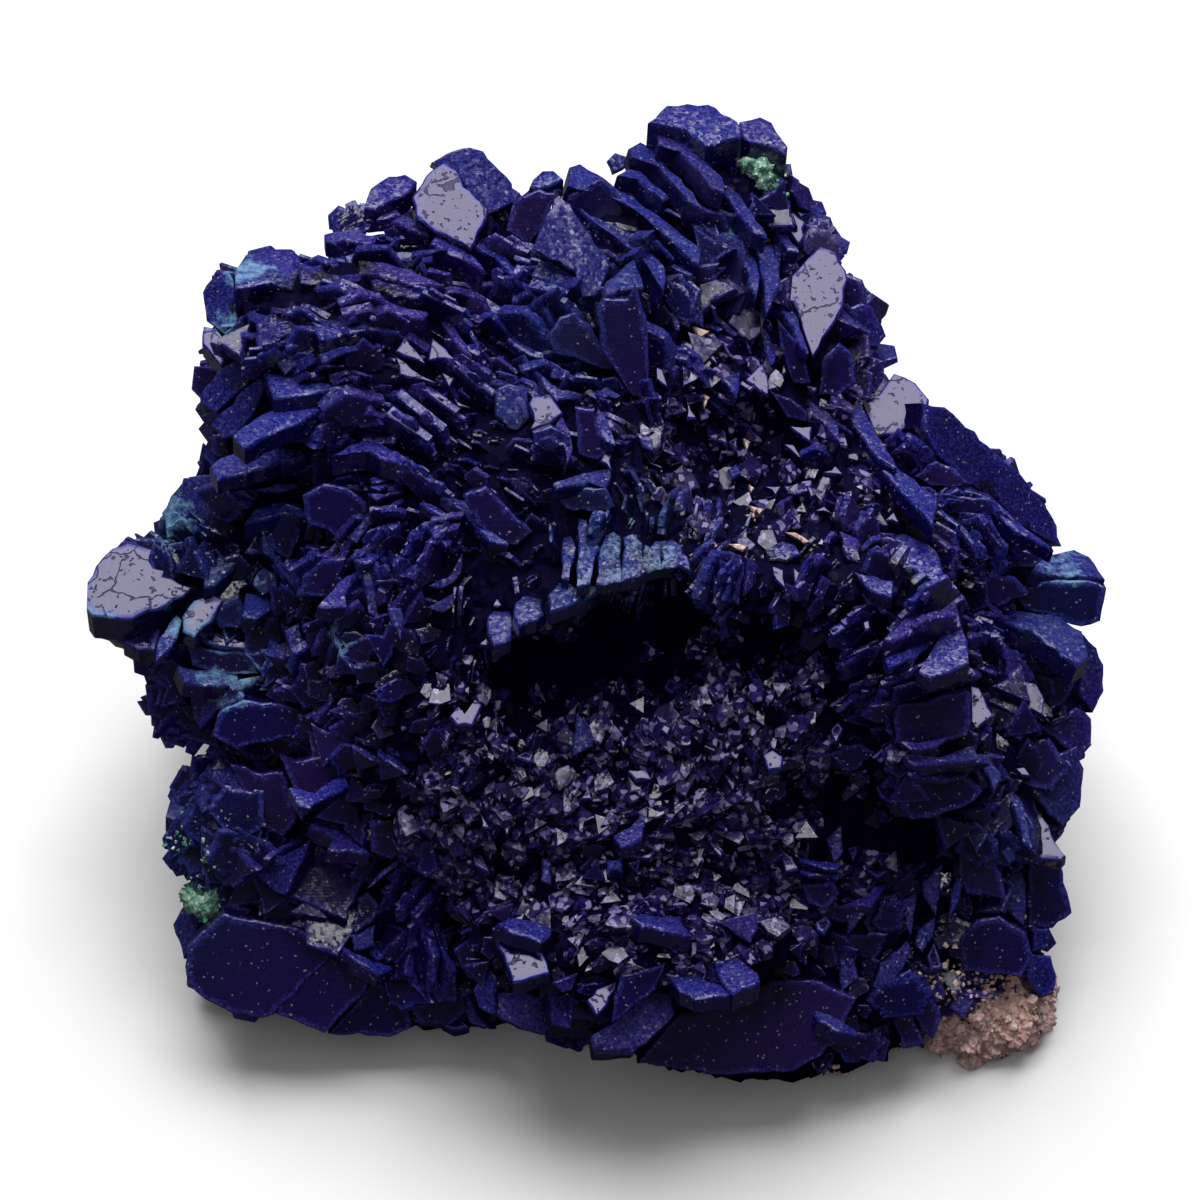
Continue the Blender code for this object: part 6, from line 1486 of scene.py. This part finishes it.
def azurite_finish(colours, druse=False):
    """Azurite crystals: glassy faces, sugary edges, azure dust, and in a druse bluer facets and painted
    glints.
    """
    name = "azurite_druse" if druse else "azurite_crystal"
    if name in bpy.data.materials:
        return bpy.data.materials[name]
    made = Finish(name)
    rim, tone = made.attribute("rim"), made.attribute("tone")
    colour, worn, powder = azurite_colour(made, colours, rim, tone)
    facets = made.group(facet_group, Place=made.place, Cells_per_mm=5.5, Lean=1.1)
    glitter = made.ramp(facets["Chance"], 0.7, 0.76)
    grains = made.group(facet_group, Place=made.place, Cells_per_mm=11.0)["Chance"]
    colour = made.mix(made.ramp(grains, 0.988, 0.993, 0.0, 0.8), colour, colours.speck)
    if druse:
        # In a druse, some facets turn a brighter violet blue, and the palest are painted glints, pale grey as
        # if they caught the light
        pale = made.group(facet_group, Place=made.place, Cells_per_mm=3.4)["Chance"]
        colour = made.mix(made.ramp(pale, 0.25, 0.6, 0.0, 0.8), colour, colours.druse)
        colour = made.mix(made.ramp(pale, 0.74, 0.9), colour, colours.painted_glint)
    gloss = made.mix(tone, (0.1,) * 3, (0.34,) * 3)
    rough = made.mix(worn, gloss, (0.42,) * 3)
    rough = made.mix(made.math("MULTIPLY", glitter, worn), rough, (0.2,) * 3)
    rough = made.mix(powder, rough, (0.75,) * 3)
    made.feed("Base Color", colour)
    made.feed("Roughness", rough)
    grain = made.make("ShaderNodeUVMap", uv_map="grain").outputs[0]
    lines = made.group(growth_line_group, Grain=grain)
    height = made.math("MULTIPLY", facets["Height"], made.ramp(rim, 0.0, 1.0, 0.1, 0.4))
    made.bump(made.math("ADD", height, made.math("MULTIPLY", lines["Height"], 0.012)), 0.9)
    made.set(Specular_IOR_Level=0.36, IOR=1.7)
    return made.material


def mirror_finish(colours):
    """The brightest azurite faces: glassy, with cracks and pits, and worn at the edge."""
    made = Finish("azurite_mirror")
    rim, tone = made.attribute("rim"), made.attribute("tone")
    colour, worn, powder = azurite_colour(made, colours, rim, tone)
    crack = made.group(crack_group, Place=made.place)["Mask"]
    rough = made.mix(worn, (0.1,) * 3, (0.42,) * 3)
    rough = made.mix(crack, rough, (0.6,) * 3)
    rough = made.mix(powder, rough, (0.75,) * 3)
    made.feed("Base Color", made.mix(crack, colour, colours.indigo))
    made.feed("Roughness", rough)
    wave = made.math("MULTIPLY", made.noise(0.8, 2.0), 0.05)
    made.bump(made.math("SUBTRACT", wave, made.math("MULTIPLY", crack, 0.03)), 0.9)
    made.set(Specular_IOR_Level=0.4, IOR=1.7, Specular_Tint=(0.84, 0.8, 1.0, 1.0))
    return made.material


def ground_finish(colours):
    """The massive azurite between the crystals, painted near-black as the shade in the gaps."""
    made = Finish("azurite_ground")
    facets = made.group(facet_group, Place=made.place, Cells_per_mm=2.6, Lean=1.0)
    drift = made.ramp(made.noise(1.2, 4.0, 0.6), 0.35, 0.65, 0.0, 0.3)
    # Painted shade: mostly the near-black of the gaps, with faint patches of indigo
    made.feed("Base Color", made.mix(drift, colours.gap, colours.indigo))
    made.feed("Roughness", made.ramp(facets["Chance"], 0.8, 0.9, 0.8, 0.4))
    made.bump(made.math("MULTIPLY", facets["Height"], 0.6), 0.9)
    made.set(Specular_IOR_Level=0.05)
    return made.material


def host_rock_finish(colours):
    """Pinkish brown, granular host rock with darker and bluer grains."""
    if "host_rock_grain" in bpy.data.materials:
        return bpy.data.materials["host_rock_grain"]
    made = Finish("host_rock_grain")
    grains = made.group(facet_group, Place=made.place, Cells_per_mm=5.0, Lean=0.8)
    blotch = made.ramp(made.noise(0.9, 4.0, 0.6), 0.35, 0.7)
    colour = made.mix(blotch, colours.rock_pale, colours.rock_brown)
    colour = made.mix(made.ramp(grains["Chance"], 0.7, 0.95), colour, colours.rock_white)
    stain = made.ramp(made.noise(1.6, 5.0, 0.7), 0.58, 0.64)
    colour = made.mix(stain, colour, colours.indigo)
    made.feed("Base Color", colour)
    made.feed("Roughness", made.ramp(made.noise(6.0), 0.3, 0.7, 0.7, 0.95))
    height = made.math("ADD", grains["Height"], made.math("MULTIPLY", made.noise(5.0, 6.0, 0.7), 0.15))
    made.bump(height)
    made.set(Specular_IOR_Level=0.3)
    return made.material


def malachite_finish(colours):
    """Powdery malachite, from pale to deep green."""
    made = Finish("malachite_powder")
    patch = made.ramp(made.noise(1.6, 4.0, 0.6), 0.35, 0.65)
    colour = made.mix(patch, colours.malachite_deep, colours.malachite_pale)
    grains = made.group(facet_group, Place=made.place, Cells_per_mm=7.0, Lean=0.6)
    colour = made.mix(made.ramp(grains["Chance"], 0.75, 0.95), colour, colours.malachite_white)
    made.feed("Base Color", colour)
    made.feed("Roughness", made.ramp(made.noise(5.0), 0.3, 0.7, 0.65, 0.9))
    made.bump(made.math("ADD", grains["Height"], made.math("MULTIPLY", made.noise(7.0, 5.0), 0.1)))
    made.set(Specular_IOR_Level=0.3)
    return made.material


def floor_finish(colours):
    """A pale, faintly mottled table."""
    made = Finish("table")
    mottle = made.ramp(made.noise(0.05, 3.0), 0.3, 0.7)
    pale = made.mix(mottle, colours.table, [0.97 * share for share in colours.table[:3]])
    seen = made.make("ShaderNodeLightPath").outputs["Is Camera Ray"]
    made.feed("Base Color", made.mix(seen, colours.table_bounce, pale))
    made.feed("Roughness", made.ramp(made.noise(0.4, 4.0), 0.3, 0.7, 0.65, 0.8))
    return made.material


def length(name, description, default):
    """A property for a length in metres."""
    return FloatProperty(name=name, description=description, default=default, unit="LENGTH", precision=5)


def colour(name, description, default):
    """A property for a colour."""
    return FloatVectorProperty(name=name, description=description, default=default, subtype="COLOR", size=3,
                               min=0.0, max=1.0)


class AzuriteHabit(bpy.types.PropertyGroup):
    """How coarse the crystals are and how closely they stand."""

    detail: length("Surface detail", "Grid of the massive azurite under the crystals", 0.00045)
    lamina: length("Plate layer", "Thickness of one layer of a plate in parallel growth", 0.00042)
    show_spacing: length("Show side spacing", "Least distance between the show side's small plates", 0.00082)
    far_spacing: length("Far side spacing", "Least distance between the plates of the far side", 0.0012)
    druse_spacing: length("Druse spacing", "Least distance between the crystals of the druse", 0.00033)
    seed: IntProperty(name="Seed", description="Picks another random growth", default=4)


class AzuriteColours(bpy.types.PropertyGroup):
    """The colours of the minerals and the table."""

    indigo: colour("Indigo", "Large azurite faces", (0.003, 0.0018, 0.048))
    violet: colour("Violet", "Large azurite faces that turn to violet", (0.011, 0.0018, 0.056))
    sea_dark: colour("Deep sea blue", "Large azurite faces that turn to sea blue", (0.0025, 0.007, 0.04))
    # The edge colours also colour the faces that are painted pale where they met the light
    edge: colour("Edge blue", "Azurite at worn edges", (0.005, 0.008, 0.21))
    violet_edge: colour("Edge violet", "Azurite at worn edges that turn to violet", (0.019, 0.007, 0.18))
    sea_edge: colour("Edge sea blue", "Azurite at worn edges that turn to sea blue", (0.004, 0.019, 0.12))
    # Painted shade: the near-black of the crystals' feet and of the massive azurite in the gaps
    gap: colour("Gap", "Massive azurite in the gaps", (0.0012, 0.0006, 0.010))
    speck: colour("Speck", "Single pale grains", (0.24, 0.22, 0.27))
    frost: colour("Frost", "The finest pale grains on worn azurite", (0.056, 0.058, 0.17))
    druse: colour("Druse", "Facets of the druse", (0.022, 0.012, 0.11))
    # Painted glints: the palest druse facets, painted pale grey as if they mirrored the light
    painted_glint: colour("Glint", "The palest facets of the druse", (0.20, 0.18, 0.36))
    dust: colour("Azure dust", "Weathered azurite", (0.16, 0.36, 0.55))
    rock_pale: colour("Pale rock", "Host rock, the lighter grains", (0.93, 0.62, 0.56))
    rock_brown: colour("Brown rock", "Host rock, the darker grains", (0.60, 0.36, 0.31))
    rock_white: colour("White rock", "Host rock, single bright grains", (0.97, 0.84, 0.80))
    malachite_pale: colour("Pale malachite", "Malachite powder", (0.27, 0.55, 0.40))
    malachite_deep: colour("Deep malachite", "Malachite in its hollows", (0.05, 0.25, 0.16))
    malachite_white: colour("White malachite", "The palest malachite grains", (0.75, 0.78, 0.68))
    table: colour("Table", "The pale table", (0.82, 0.82, 0.83))
    table_bounce: colour("Table bounce", "What the table throws back at the specimen", (0.040, 0.036, 0.045))


class AzuriteStudio(bpy.types.PropertyGroup):
    """The camera and the lights."""

    lens: FloatProperty(name="Lens", description="Focal length in mm", default=200.0)
    distance: length("Camera distance", "From the middle of the show face", VIEW_DISTANCE * MM)
    aim_across: length("Aim across", "Where the camera aims, to the right of the middle", AIM[0] * MM)
    aim_up: length("Aim up", "Where the camera aims, up the show face", AIM[1] * MM)
    softbox: FloatProperty(name="Softbox power", description="Overhead light", default=6.4, unit="POWER")
    fill: FloatProperty(name="Fill power", description="Front light that no face mirrors", default=0.85,
                        unit="POWER")
    room: FloatProperty(name="Room light", description="Strength of the light from all round", default=0.05)


def habit():
    """The scene's crystal sizes and spacings."""
    return bpy.context.scene.azurite_habit


def colours():
    """The scene's colours."""
    return bpy.context.scene.azurite_colours


def piece(obj, slot, *nodes):
    """Hands a finished piece over to the frame."""
    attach(obj, BODY)
    if nodes:
        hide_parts(*nodes)


CELLS = 128  # of half a millimetre each, across the show face and up it
FAR_OFF = 60.0  # mm, further than the specimen reaches to either side of the show face


def ground_cells(places):
    """Which half-millimetre cell of the show face each place is in."""
    return tuple(np.clip((places[:, :2].T + CELLS / 4) * 2, 0, CELLS - 1).astype(int))


def surface_masks(obj):
    """Stores how dusty and how sea blue each corner is, and its rise above the massive azurite in mm, which
    the finish turns into painted shade low in the gaps.
    """
    mesh = obj.data
    places = on_face(points_of(mesh))
    ground = on_face(points_of(bpy.data.objects["azurite_massive"].data))
    heights = np.full((CELLS, CELLS), -FAR_OFF)
    np.maximum.at(heights, ground_cells(ground), ground[:, 2])
    rise = places[:, 2] - heights[ground_cells(places)]
    round_the_back = -3
    put_attribute(mesh, "rise", np.where(rise < round_the_back, 1.0, rise))
    clean_behind, thins_over = 12, 8
    near = np.clip((places[:, 2] + clean_behind) / thins_over, 0, 1)
    put_attribute(mesh, "dust", zone(places, DUST) * near)
    put_attribute(mesh, "sea", zone(places, SEA_BLUE))


def close_up(obj):
    """Last touches on an azurite piece: kept in its box, and sharp at its edges."""
    mesh = obj.data
    put_points(mesh, stand_flat(points_of(mesh)))
    mesh.shade_smooth()
    mesh.set_sharp_from_angle(angle=math.radians(28))


def tree_of(obj):
    """The object's surface, ready for rays."""
    bm = bmesh.new()
    bm.from_mesh(obj.data)
    made = BVHTree.FromBMesh(bm)
    bm.free()
    return made


def depth_at(tree, across, up):
    """How far out of the show face the massive azurite stands at one place on it, in mm."""
    start = FACE @ Vector((across, up, FAR_OFF))
    point = tree.ray_cast(start, -OUT)[0]
    if point is None:
        usual_depth = -4
        point = tree.find_nearest(FACE @ Vector((across, up, usual_depth)))[0]
    return (FACE.inverted() @ point).z


class AZURITE_OT_massive(bpy.types.Operator):
    """Makes the massive azurite that carries the crystals"""

    bl_idname = "azurite.massive"
    bl_label = "Massive azurite"

    def execute(self, context):
        body = massive_azurite(habit().detail)
        mesh = body.data
        places, normals, face, grow, shown = growth_field(body, plate_list())
        points = points_of(mesh)
        coarse = crag(points / MM, scale=0.8, tilt=0.9, seed=1)
        relief = coarse + crag(points / MM, scale=2.2, tilt=0.7, seed=2)
        put_attribute(mesh, "face_way", face)
        put_attribute(mesh, "grow_way", grow)
        put_attribute(mesh, "shown", shown)
        put_attribute(mesh, "size", crystal_sizes(places) * MM)
        put_attribute(mesh, "open_ground", 1.0 - covered(places) * (shown > 0.5))
        under_crystals = 0.25
        put_points(mesh, points + normals * (relief - under_crystals)[:, None] * MM)
        flat_break(body)
        mesh.materials.append(ground_finish(colours()))
        close_up(body)
        piece(body, "azurite", "azurite_cluster")
        return {"FINISHED"}


class AZURITE_OT_plates(bpy.types.Operator):
    """Grows the large plates of the show side, each in its own place"""

    bl_idname = "azurite.plates"
    bl_label = "Large plates"

    def execute(self, context):
        rng = random.Random(habit().seed)
        tree = tree_of(bpy.data.objects["azurite_massive"])
        growth, points = Growth(), Growth()
        for place, trace, lean, size, lift in plate_list():
            if covered(np.array([(*place, 0.0)]))[0]:
                continue
            axes = blade_axes(math.radians(trace), math.radians(lean))
            out = depth_at(tree, *place) + lift
            spot = np.array(FACE @ Matrix.Translation((*place, out)) @ axes)
            layers = max(1, round(size[2] * MM / habit().lamina))
            corners_at = SLAT if abs(lean) > STEEP else LONG_HEXAGON
            grow_crystal(growth, rng, spot, size, corners_at, min(layers, 3))
            grow_rim(points, rng, spot, size, 1.3)
        mirrors, specks = Growth(), Growth()
        for facet in FACETS:
            grow_facet(mirrors if facet[0] == "mirror" else growth, rng, facet, tree)
        for facet in ROCK_SPECKS:
            grow_facet(specks, rng, facet, tree)
        azurite = azurite_finish(colours())
        made = (("azurite_plates", growth, azurite), ("azurite_points", points, azurite),
                ("azurite_mirrors", mirrors, mirror_finish(colours())),
                ("host_rock_specks", specks, host_rock_finish(colours())))
        for name, grown, finish in made:
            plates = new_object(name, grown.mesh(name))
            plates.data.materials.append(finish)
            surface_masks(plates)
            close_up(plates)
            piece(plates, "host_rock" if grown is specks else "azurite")
        return {"FINISHED"}


def covered(places):
    """Which places lie behind a plate of the facets or behind the side that it shows under it."""
    hidden = np.zeros(len(places), bool)
    side_share, round_the_back = 0.8, -14
    for lie, _, thickness, corners in FACETS:
        drop = side_share * thickness * FACINGS[lie][0][1]
        for shift in (0.0, 0.5 * drop, drop):
            hidden |= inside(places + np.array((0.0, shift, 0.0)), corners)
    return hidden & (places[:, 2] > round_the_back)


def small_growth(name, keep, kinds, seed, druse=False, **values):
    """A piece of small crystals, stood where keep says from a place, how shown it is and its height.

    The crystals of a druse face the light.
    """
    massive = bpy.data.objects["azurite_massive"]
    surface = new_object(name + "_ground", massive.data.copy())
    mesh = surface.data
    places = on_face(points_of(mesh))
    shown = np.empty(len(places), np.float32)
    mesh.attributes["shown"].data.foreach_get("value", shown)
    heights = points_of(mesh)[:, 2] / MM
    open_ground = np.empty(len(places), np.float32)
    mesh.attributes["open_ground"].data.foreach_get("value", open_ground)
    put_attribute(mesh, "keep", keep(places, shown, heights) * open_ground)
    if druse:
        way = np.array(FACE.to_3x3() @ Vector(SKYWARD)) / MM
        put_attribute(mesh, "face_way", np.tile(way, (len(places), 1)))
    kinds = crystal_kinds(name + "_kinds", *kinds, seed)
    grown = scatter(name, surface, kinds, azurite_finish(colours(), druse), Seed=seed, **values)
    bpy.data.objects.remove(surface)
    surface_masks(grown)
    close_up(grown)
    piece(grown, "azurite")
    return grown


def druse_share(places):
    """How far a place belongs to the glittering druse instead of the plates."""
    return zone(places, (
        ((9.0, 7.8), 5.6, 1.0), ((0.0, -8.8), 7.2, 1.0), ((7.0, -7.0), 4.4, 1.0),
        ((-4.0, -12.0), 4.6, 1.0), ((4.0, -13.6), 6.0, 1.0), ((11.0, -13.0), 4.0, 1.0),
    ))


def under_lip(places):
    """How far a place lies in the dark under an overhang, where no crystals show."""
    return zone(places, (
        ((-5.7, 0.5), 1.4, 0.9), ((-3.6, -4.0), 2.4, 1.0), ((0.6, -3.0), 3.2, 1.0), ((4.0, -2.0), 2.6, 1.0),
        ((8.6, -2.8), 1.6, 0.8), ((10.6, -11.2), 1.6, 0.8), ((13.0, -11.6), 2.2, 1.0),
        ((16.0, -12.6), 1.8, 0.9),
    ))


class AZURITE_OT_small_plates(bpy.types.Operator):
    """Grows the small plates between the large ones on the show side"""

    bl_idname = "azurite.small_plates"
    bl_label = "Small plates"

    def execute(self, context):
        middle, foot = 2.5, 3.0

        def common(places, shown):
            open_place = (1 - under_lip(places)).clip(0, 1) * (1 - zone(places, MALACHITE_CLEARINGS))
            return (shown > 0.5) * (1 - druse_share(places)).clip(0.25, 1) * open_place

        def upper(places, shown, heights):
            return common(places, shown) * (places[:, 1] > middle)

        def lower(places, shown, heights):
            return common(places, shown) * (places[:, 1] <= middle) * (heights > foot)

        for name, keep, seed in (("azurite_ribs_upper", upper, 21), ("azurite_ribs_lower", lower, 22)):
            kinds = ((RHOMB, LEAF, RHOMB, TOOTH), 2, (0.14, 0.32), 0.03, SCALE_RIM, 1)
            small_growth(name, keep, kinds, seed, Spacing=habit().show_spacing, Smallest=0.5, Largest=1.9,
                         Sway=0.45, Sink=-0.02)
        return {"FINISHED"}


class AZURITE_OT_druse(bpy.types.Operator):
    """Grows the glittering druse in the bowl and the hollow"""

    bl_idname = "azurite.druse"
    bl_label = "Druse"

    def execute(self, context):
        def keep(places, shown, heights):
            bowl = np.where(places[:, 1] < 1, 1.0, 0.3)
            ragged = druse_share(places) + 0.35 * crag(places, scale=0.5, tilt=1.0, seed=9) > 0.35
            patches = np.clip(0.6 + 1.2 * crag(places, scale=0.8, tilt=1.0, seed=12), 0.1, 1)
            return (shown > 0.4) * ragged * (1 - under_lip(places)).clip(0, 1) * bowl * patches

        kinds = ((TOOTH, LEAF, TOOTH, RHOMB), 1, (0.3, 0.7), 0.03, GLASSY, 0)
        small_growth("azurite_druse", keep, kinds, 31, Spacing=habit().druse_spacing, Smallest=0.3,
                     Largest=1.6, Sway=0.45, Sink=-0.05, druse=True)
        return {"FINISHED"}


class AZURITE_OT_far_side(bpy.types.Operator):
    """Grows the rosettes on the back and the ends"""

    bl_idname = "azurite.far_side"
    bl_label = "Far side"

    def execute(self, context):
        foot = 1.2

        def keep(places, shown, heights):
            return (shown <= 0.55) * (heights > foot)

        kinds = ((LONG_HEXAGON,), 2, (0.14, 0.26), 0.03, BEVELLED, 0)
        small_growth("azurite_far_side", keep, kinds, 41,
                     Spacing=habit().far_spacing, Smallest=1.0, Largest=2.0, Sway=0.25, Sink=0.0)
        return {"FINISHED"}


def grain_growth(name, ground, keep, slot, finish, seed, **values):
    """Blocky mineral grains strewn over a piece where keep says."""
    surface = new_object(name + "_ground", bpy.data.objects[ground].data.copy())
    places = on_face(points_of(surface.data))
    put_attribute(surface.data, "keep", keep(places))
    put_attribute(surface.data, "size", np.full(len(places), MM))
    for way in ("face_way", "grow_way"):
        put_attribute(surface.data, way, normals_of(surface.data))
    kinds = crystal_kinds(name + "_kinds", (WEDGE,), 1, (0.4, 0.8), 0.1, BEVELLED, 0, seed)
    grown = scatter(name, surface, kinds, finish, Seed=seed, Sway=3.0, **values)
    bpy.data.objects.remove(surface)
    put_points(grown.data, stand_flat(points_of(grown.data)))
    piece(grown, slot)
    return grown


def crust(name, shapes, grain, voxel, seed):
    """A lumpy crust of grown-together grains over a few ellipsoids, as a closed surface."""
    rng = random.Random(seed)
    lumps = list(shapes)
    for centre, radii in shapes:
        for _ in range(int(40 / grain)):
            way = Vector([rng.gauss(0, 1) for _ in range(3)]).normalized()
            spot = Vector(centre) + Vector([a * b for a, b in zip(way, radii)])
            size = grain * rng.uniform(0.6, 1.3)
            lumps.append((spot, (size, size, size)))
    return fuse(balls(name, lumps, 2), voxel)


def roughen(obj, scale, tilt, seed):
    """Gives a crust a crystal-faced relief."""
    points = points_of(obj.data)
    relief = crag(points / MM, scale, tilt, seed)
    put_points(obj.data, stand_flat(points + normals_of(obj.data) * relief[:, None] * MM))


class AZURITE_OT_host_rock(bpy.types.Operator):
    """Makes the corner of host rock and the grains that spread from it"""

    bl_idname = "azurite.host_rock"
    bl_label = "Host rock"

    def execute(self, context):
        rock = crust("host_rock_corner", ROCK, grain=0.5, voxel=0.00012, seed=51)
        roughen(rock, scale=2.0, tilt=1.0, seed=5)
        finish = host_rock_finish(colours())
        rock.data.materials.append(finish)
        rock.data.shade_smooth()
        rock.data.set_sharp_from_angle(angle=math.radians(30))
        piece(rock, "host_rock", "matrix_corner")

        def keep(places):
            return zone(places, ROCK_GRAINS) ** 2

        def everywhere(places):
            return np.ones(len(places))

        for name, ground, where, largest in (("host_rock_grains", "azurite_massive", keep, 0.7),
                                             ("host_rock_crumbs", "azurite_ribs_lower", keep, 0.4),
                                             ("host_rock_rubble", "host_rock_corner", everywhere, 0.9)):
            grain_growth(name, ground, where, "host_rock", finish, 52, Spacing=0.0003, Smallest=0.22,
                         Largest=largest, Sink=-0.5)
        return {"FINISHED"}


class AZURITE_OT_malachite(bpy.types.Operator):
    """Makes the malachite at the peak and at the lower left"""

    bl_idname = "azurite.malachite"
    bl_label = "Malachite"

    def execute(self, context):
        finish = malachite_finish(colours())
        for name, shapes in MALACHITE.items():
            lump = crust(name + "_crust", shapes, grain=0.25, voxel=0.00008, seed=61)
            roughen(lump, scale=2.4, tilt=1.4, seed=7)
            lump.data.materials.append(finish)
            lump.data.shade_smooth()
            piece(lump, "malachite", name)

        def keep(places):
            return zone(places, MALACHITE_CRUMBS) ** 2

        for ground in ("upper", "lower"):
            grain_growth("malachite_crumbs_" + ground, "azurite_ribs_" + ground, keep, "malachite", finish,
                         54, Spacing=0.00025, Smallest=0.15, Largest=0.45, Sink=-0.5)
        return {"FINISHED"}


class AZURITE_OT_studio(bpy.types.Operator):
    """Sets the table, the lights and the camera"""

    bl_idname = "azurite.studio"
    bl_label = "Studio"

    def execute(self, context):
        studio = context.scene.azurite_studio
        bm = bmesh.new()
        bmesh.ops.create_circle(bm, cap_ends=True, segments=64, radius=3.0)
        mesh = bpy.data.meshes.new("table")
        bm.to_mesh(mesh)
        bm.free()
        mesh.materials.append(floor_finish(colours()))
        table = new_object("table", mesh)
        hair_under = 0.0001
        table.location.z = -hair_under

        camera = bpy.data.cameras.new("camera")
        camera.lens = studio.lens
        camera.clip_start, camera.clip_end = 0.01, 20
        eye = new_object("camera", camera)
        aim = Vector((studio.aim_across, 0, FACE_CENTRE_HEIGHT * MM)) + UP * studio.aim_up
        turn = FACE.to_3x3().normalized().to_4x4()
        eye.matrix_world = Matrix.Translation(aim + OUT * studio.distance) @ turn
        context.scene.camera = eye

        overhead, in_front = (0.0, 0.205, 0.585), (0.0, -0.38, 0.5)
        self.lamp("softbox", studio.softbox, overhead)
        self.lamp("fill", studio.fill, in_front).visible_glossy = False
        world = bpy.data.worlds.new("room")
        context.scene.world = world
        world.use_nodes = True
        world.node_tree.nodes["Background"].inputs["Color"].default_value = (1, 1, 1, 1)
        world.node_tree.nodes["Background"].inputs["Strength"].default_value = studio.room
        context.scene.view_settings.view_transform = "Standard"
        return {"FINISHED"}

    def lamp(self, name, power, place):
        """A square light that looks at the specimen from a place."""
        light = bpy.data.lights.new(name, "AREA")
        light.energy, light.size = power, 0.6
        lamp = new_object(name, light)
        middle = Vector((0, 0, 0.02))
        turn = (middle - Vector(place)).to_track_quat("-Z", "Y").to_matrix().to_4x4()
        lamp.matrix_world = Matrix.Translation(place) @ turn
        return lamp


class AZURITE_PT_panel(bpy.types.Panel):
    """The specimen's pieces, in the order that they are made"""

    bl_label = "Azurite specimen"
    bl_idname = "AZURITE_PT_panel"
    bl_space_type = "VIEW_3D"
    bl_region_type = "UI"
    bl_category = "Azurite"

    def draw(self, context):
        for step in STEPS:
            self.layout.operator(step.bl_idname)
        scene = context.scene
        for group in (scene.azurite_habit, scene.azurite_colours, scene.azurite_studio):
            box = self.layout.box()
            for name in group.bl_rna.properties.keys():
                if name not in ("rna_type", "name"):
                    box.prop(group, name)


STEPS = (
    AZURITE_OT_massive, AZURITE_OT_plates, AZURITE_OT_small_plates, AZURITE_OT_druse, AZURITE_OT_far_side,
    AZURITE_OT_host_rock, AZURITE_OT_malachite, AZURITE_OT_studio,
)
GROUPS = {"azurite_habit": AzuriteHabit, "azurite_colours": AzuriteColours, "azurite_studio": AzuriteStudio}


def register():
    """Adds the classes and their values to Blender."""
    for group in (*GROUPS.values(), *STEPS, AZURITE_PT_panel):
        bpy.utils.register_class(group)
    for name, group in GROUPS.items():
        setattr(bpy.types.Scene, name, PointerProperty(type=group))


def unregister():
    """Takes the classes and their values out again."""
    for name in GROUPS:
        delattr(bpy.types.Scene, name)
    for group in reversed((*GROUPS.values(), *STEPS, AZURITE_PT_panel)):
        bpy.utils.unregister_class(group)


def main():
    """Makes every piece and the stage."""
    register()
    bpy.ops.azurite.massive()
    bpy.ops.azurite.plates()
    bpy.ops.azurite.small_plates()
    bpy.ops.azurite.druse()
    bpy.ops.azurite.far_side()
    bpy.ops.azurite.host_rock()
    bpy.ops.azurite.malachite()
    bpy.ops.azurite.studio()


if __name__ == "__main__":
    main()
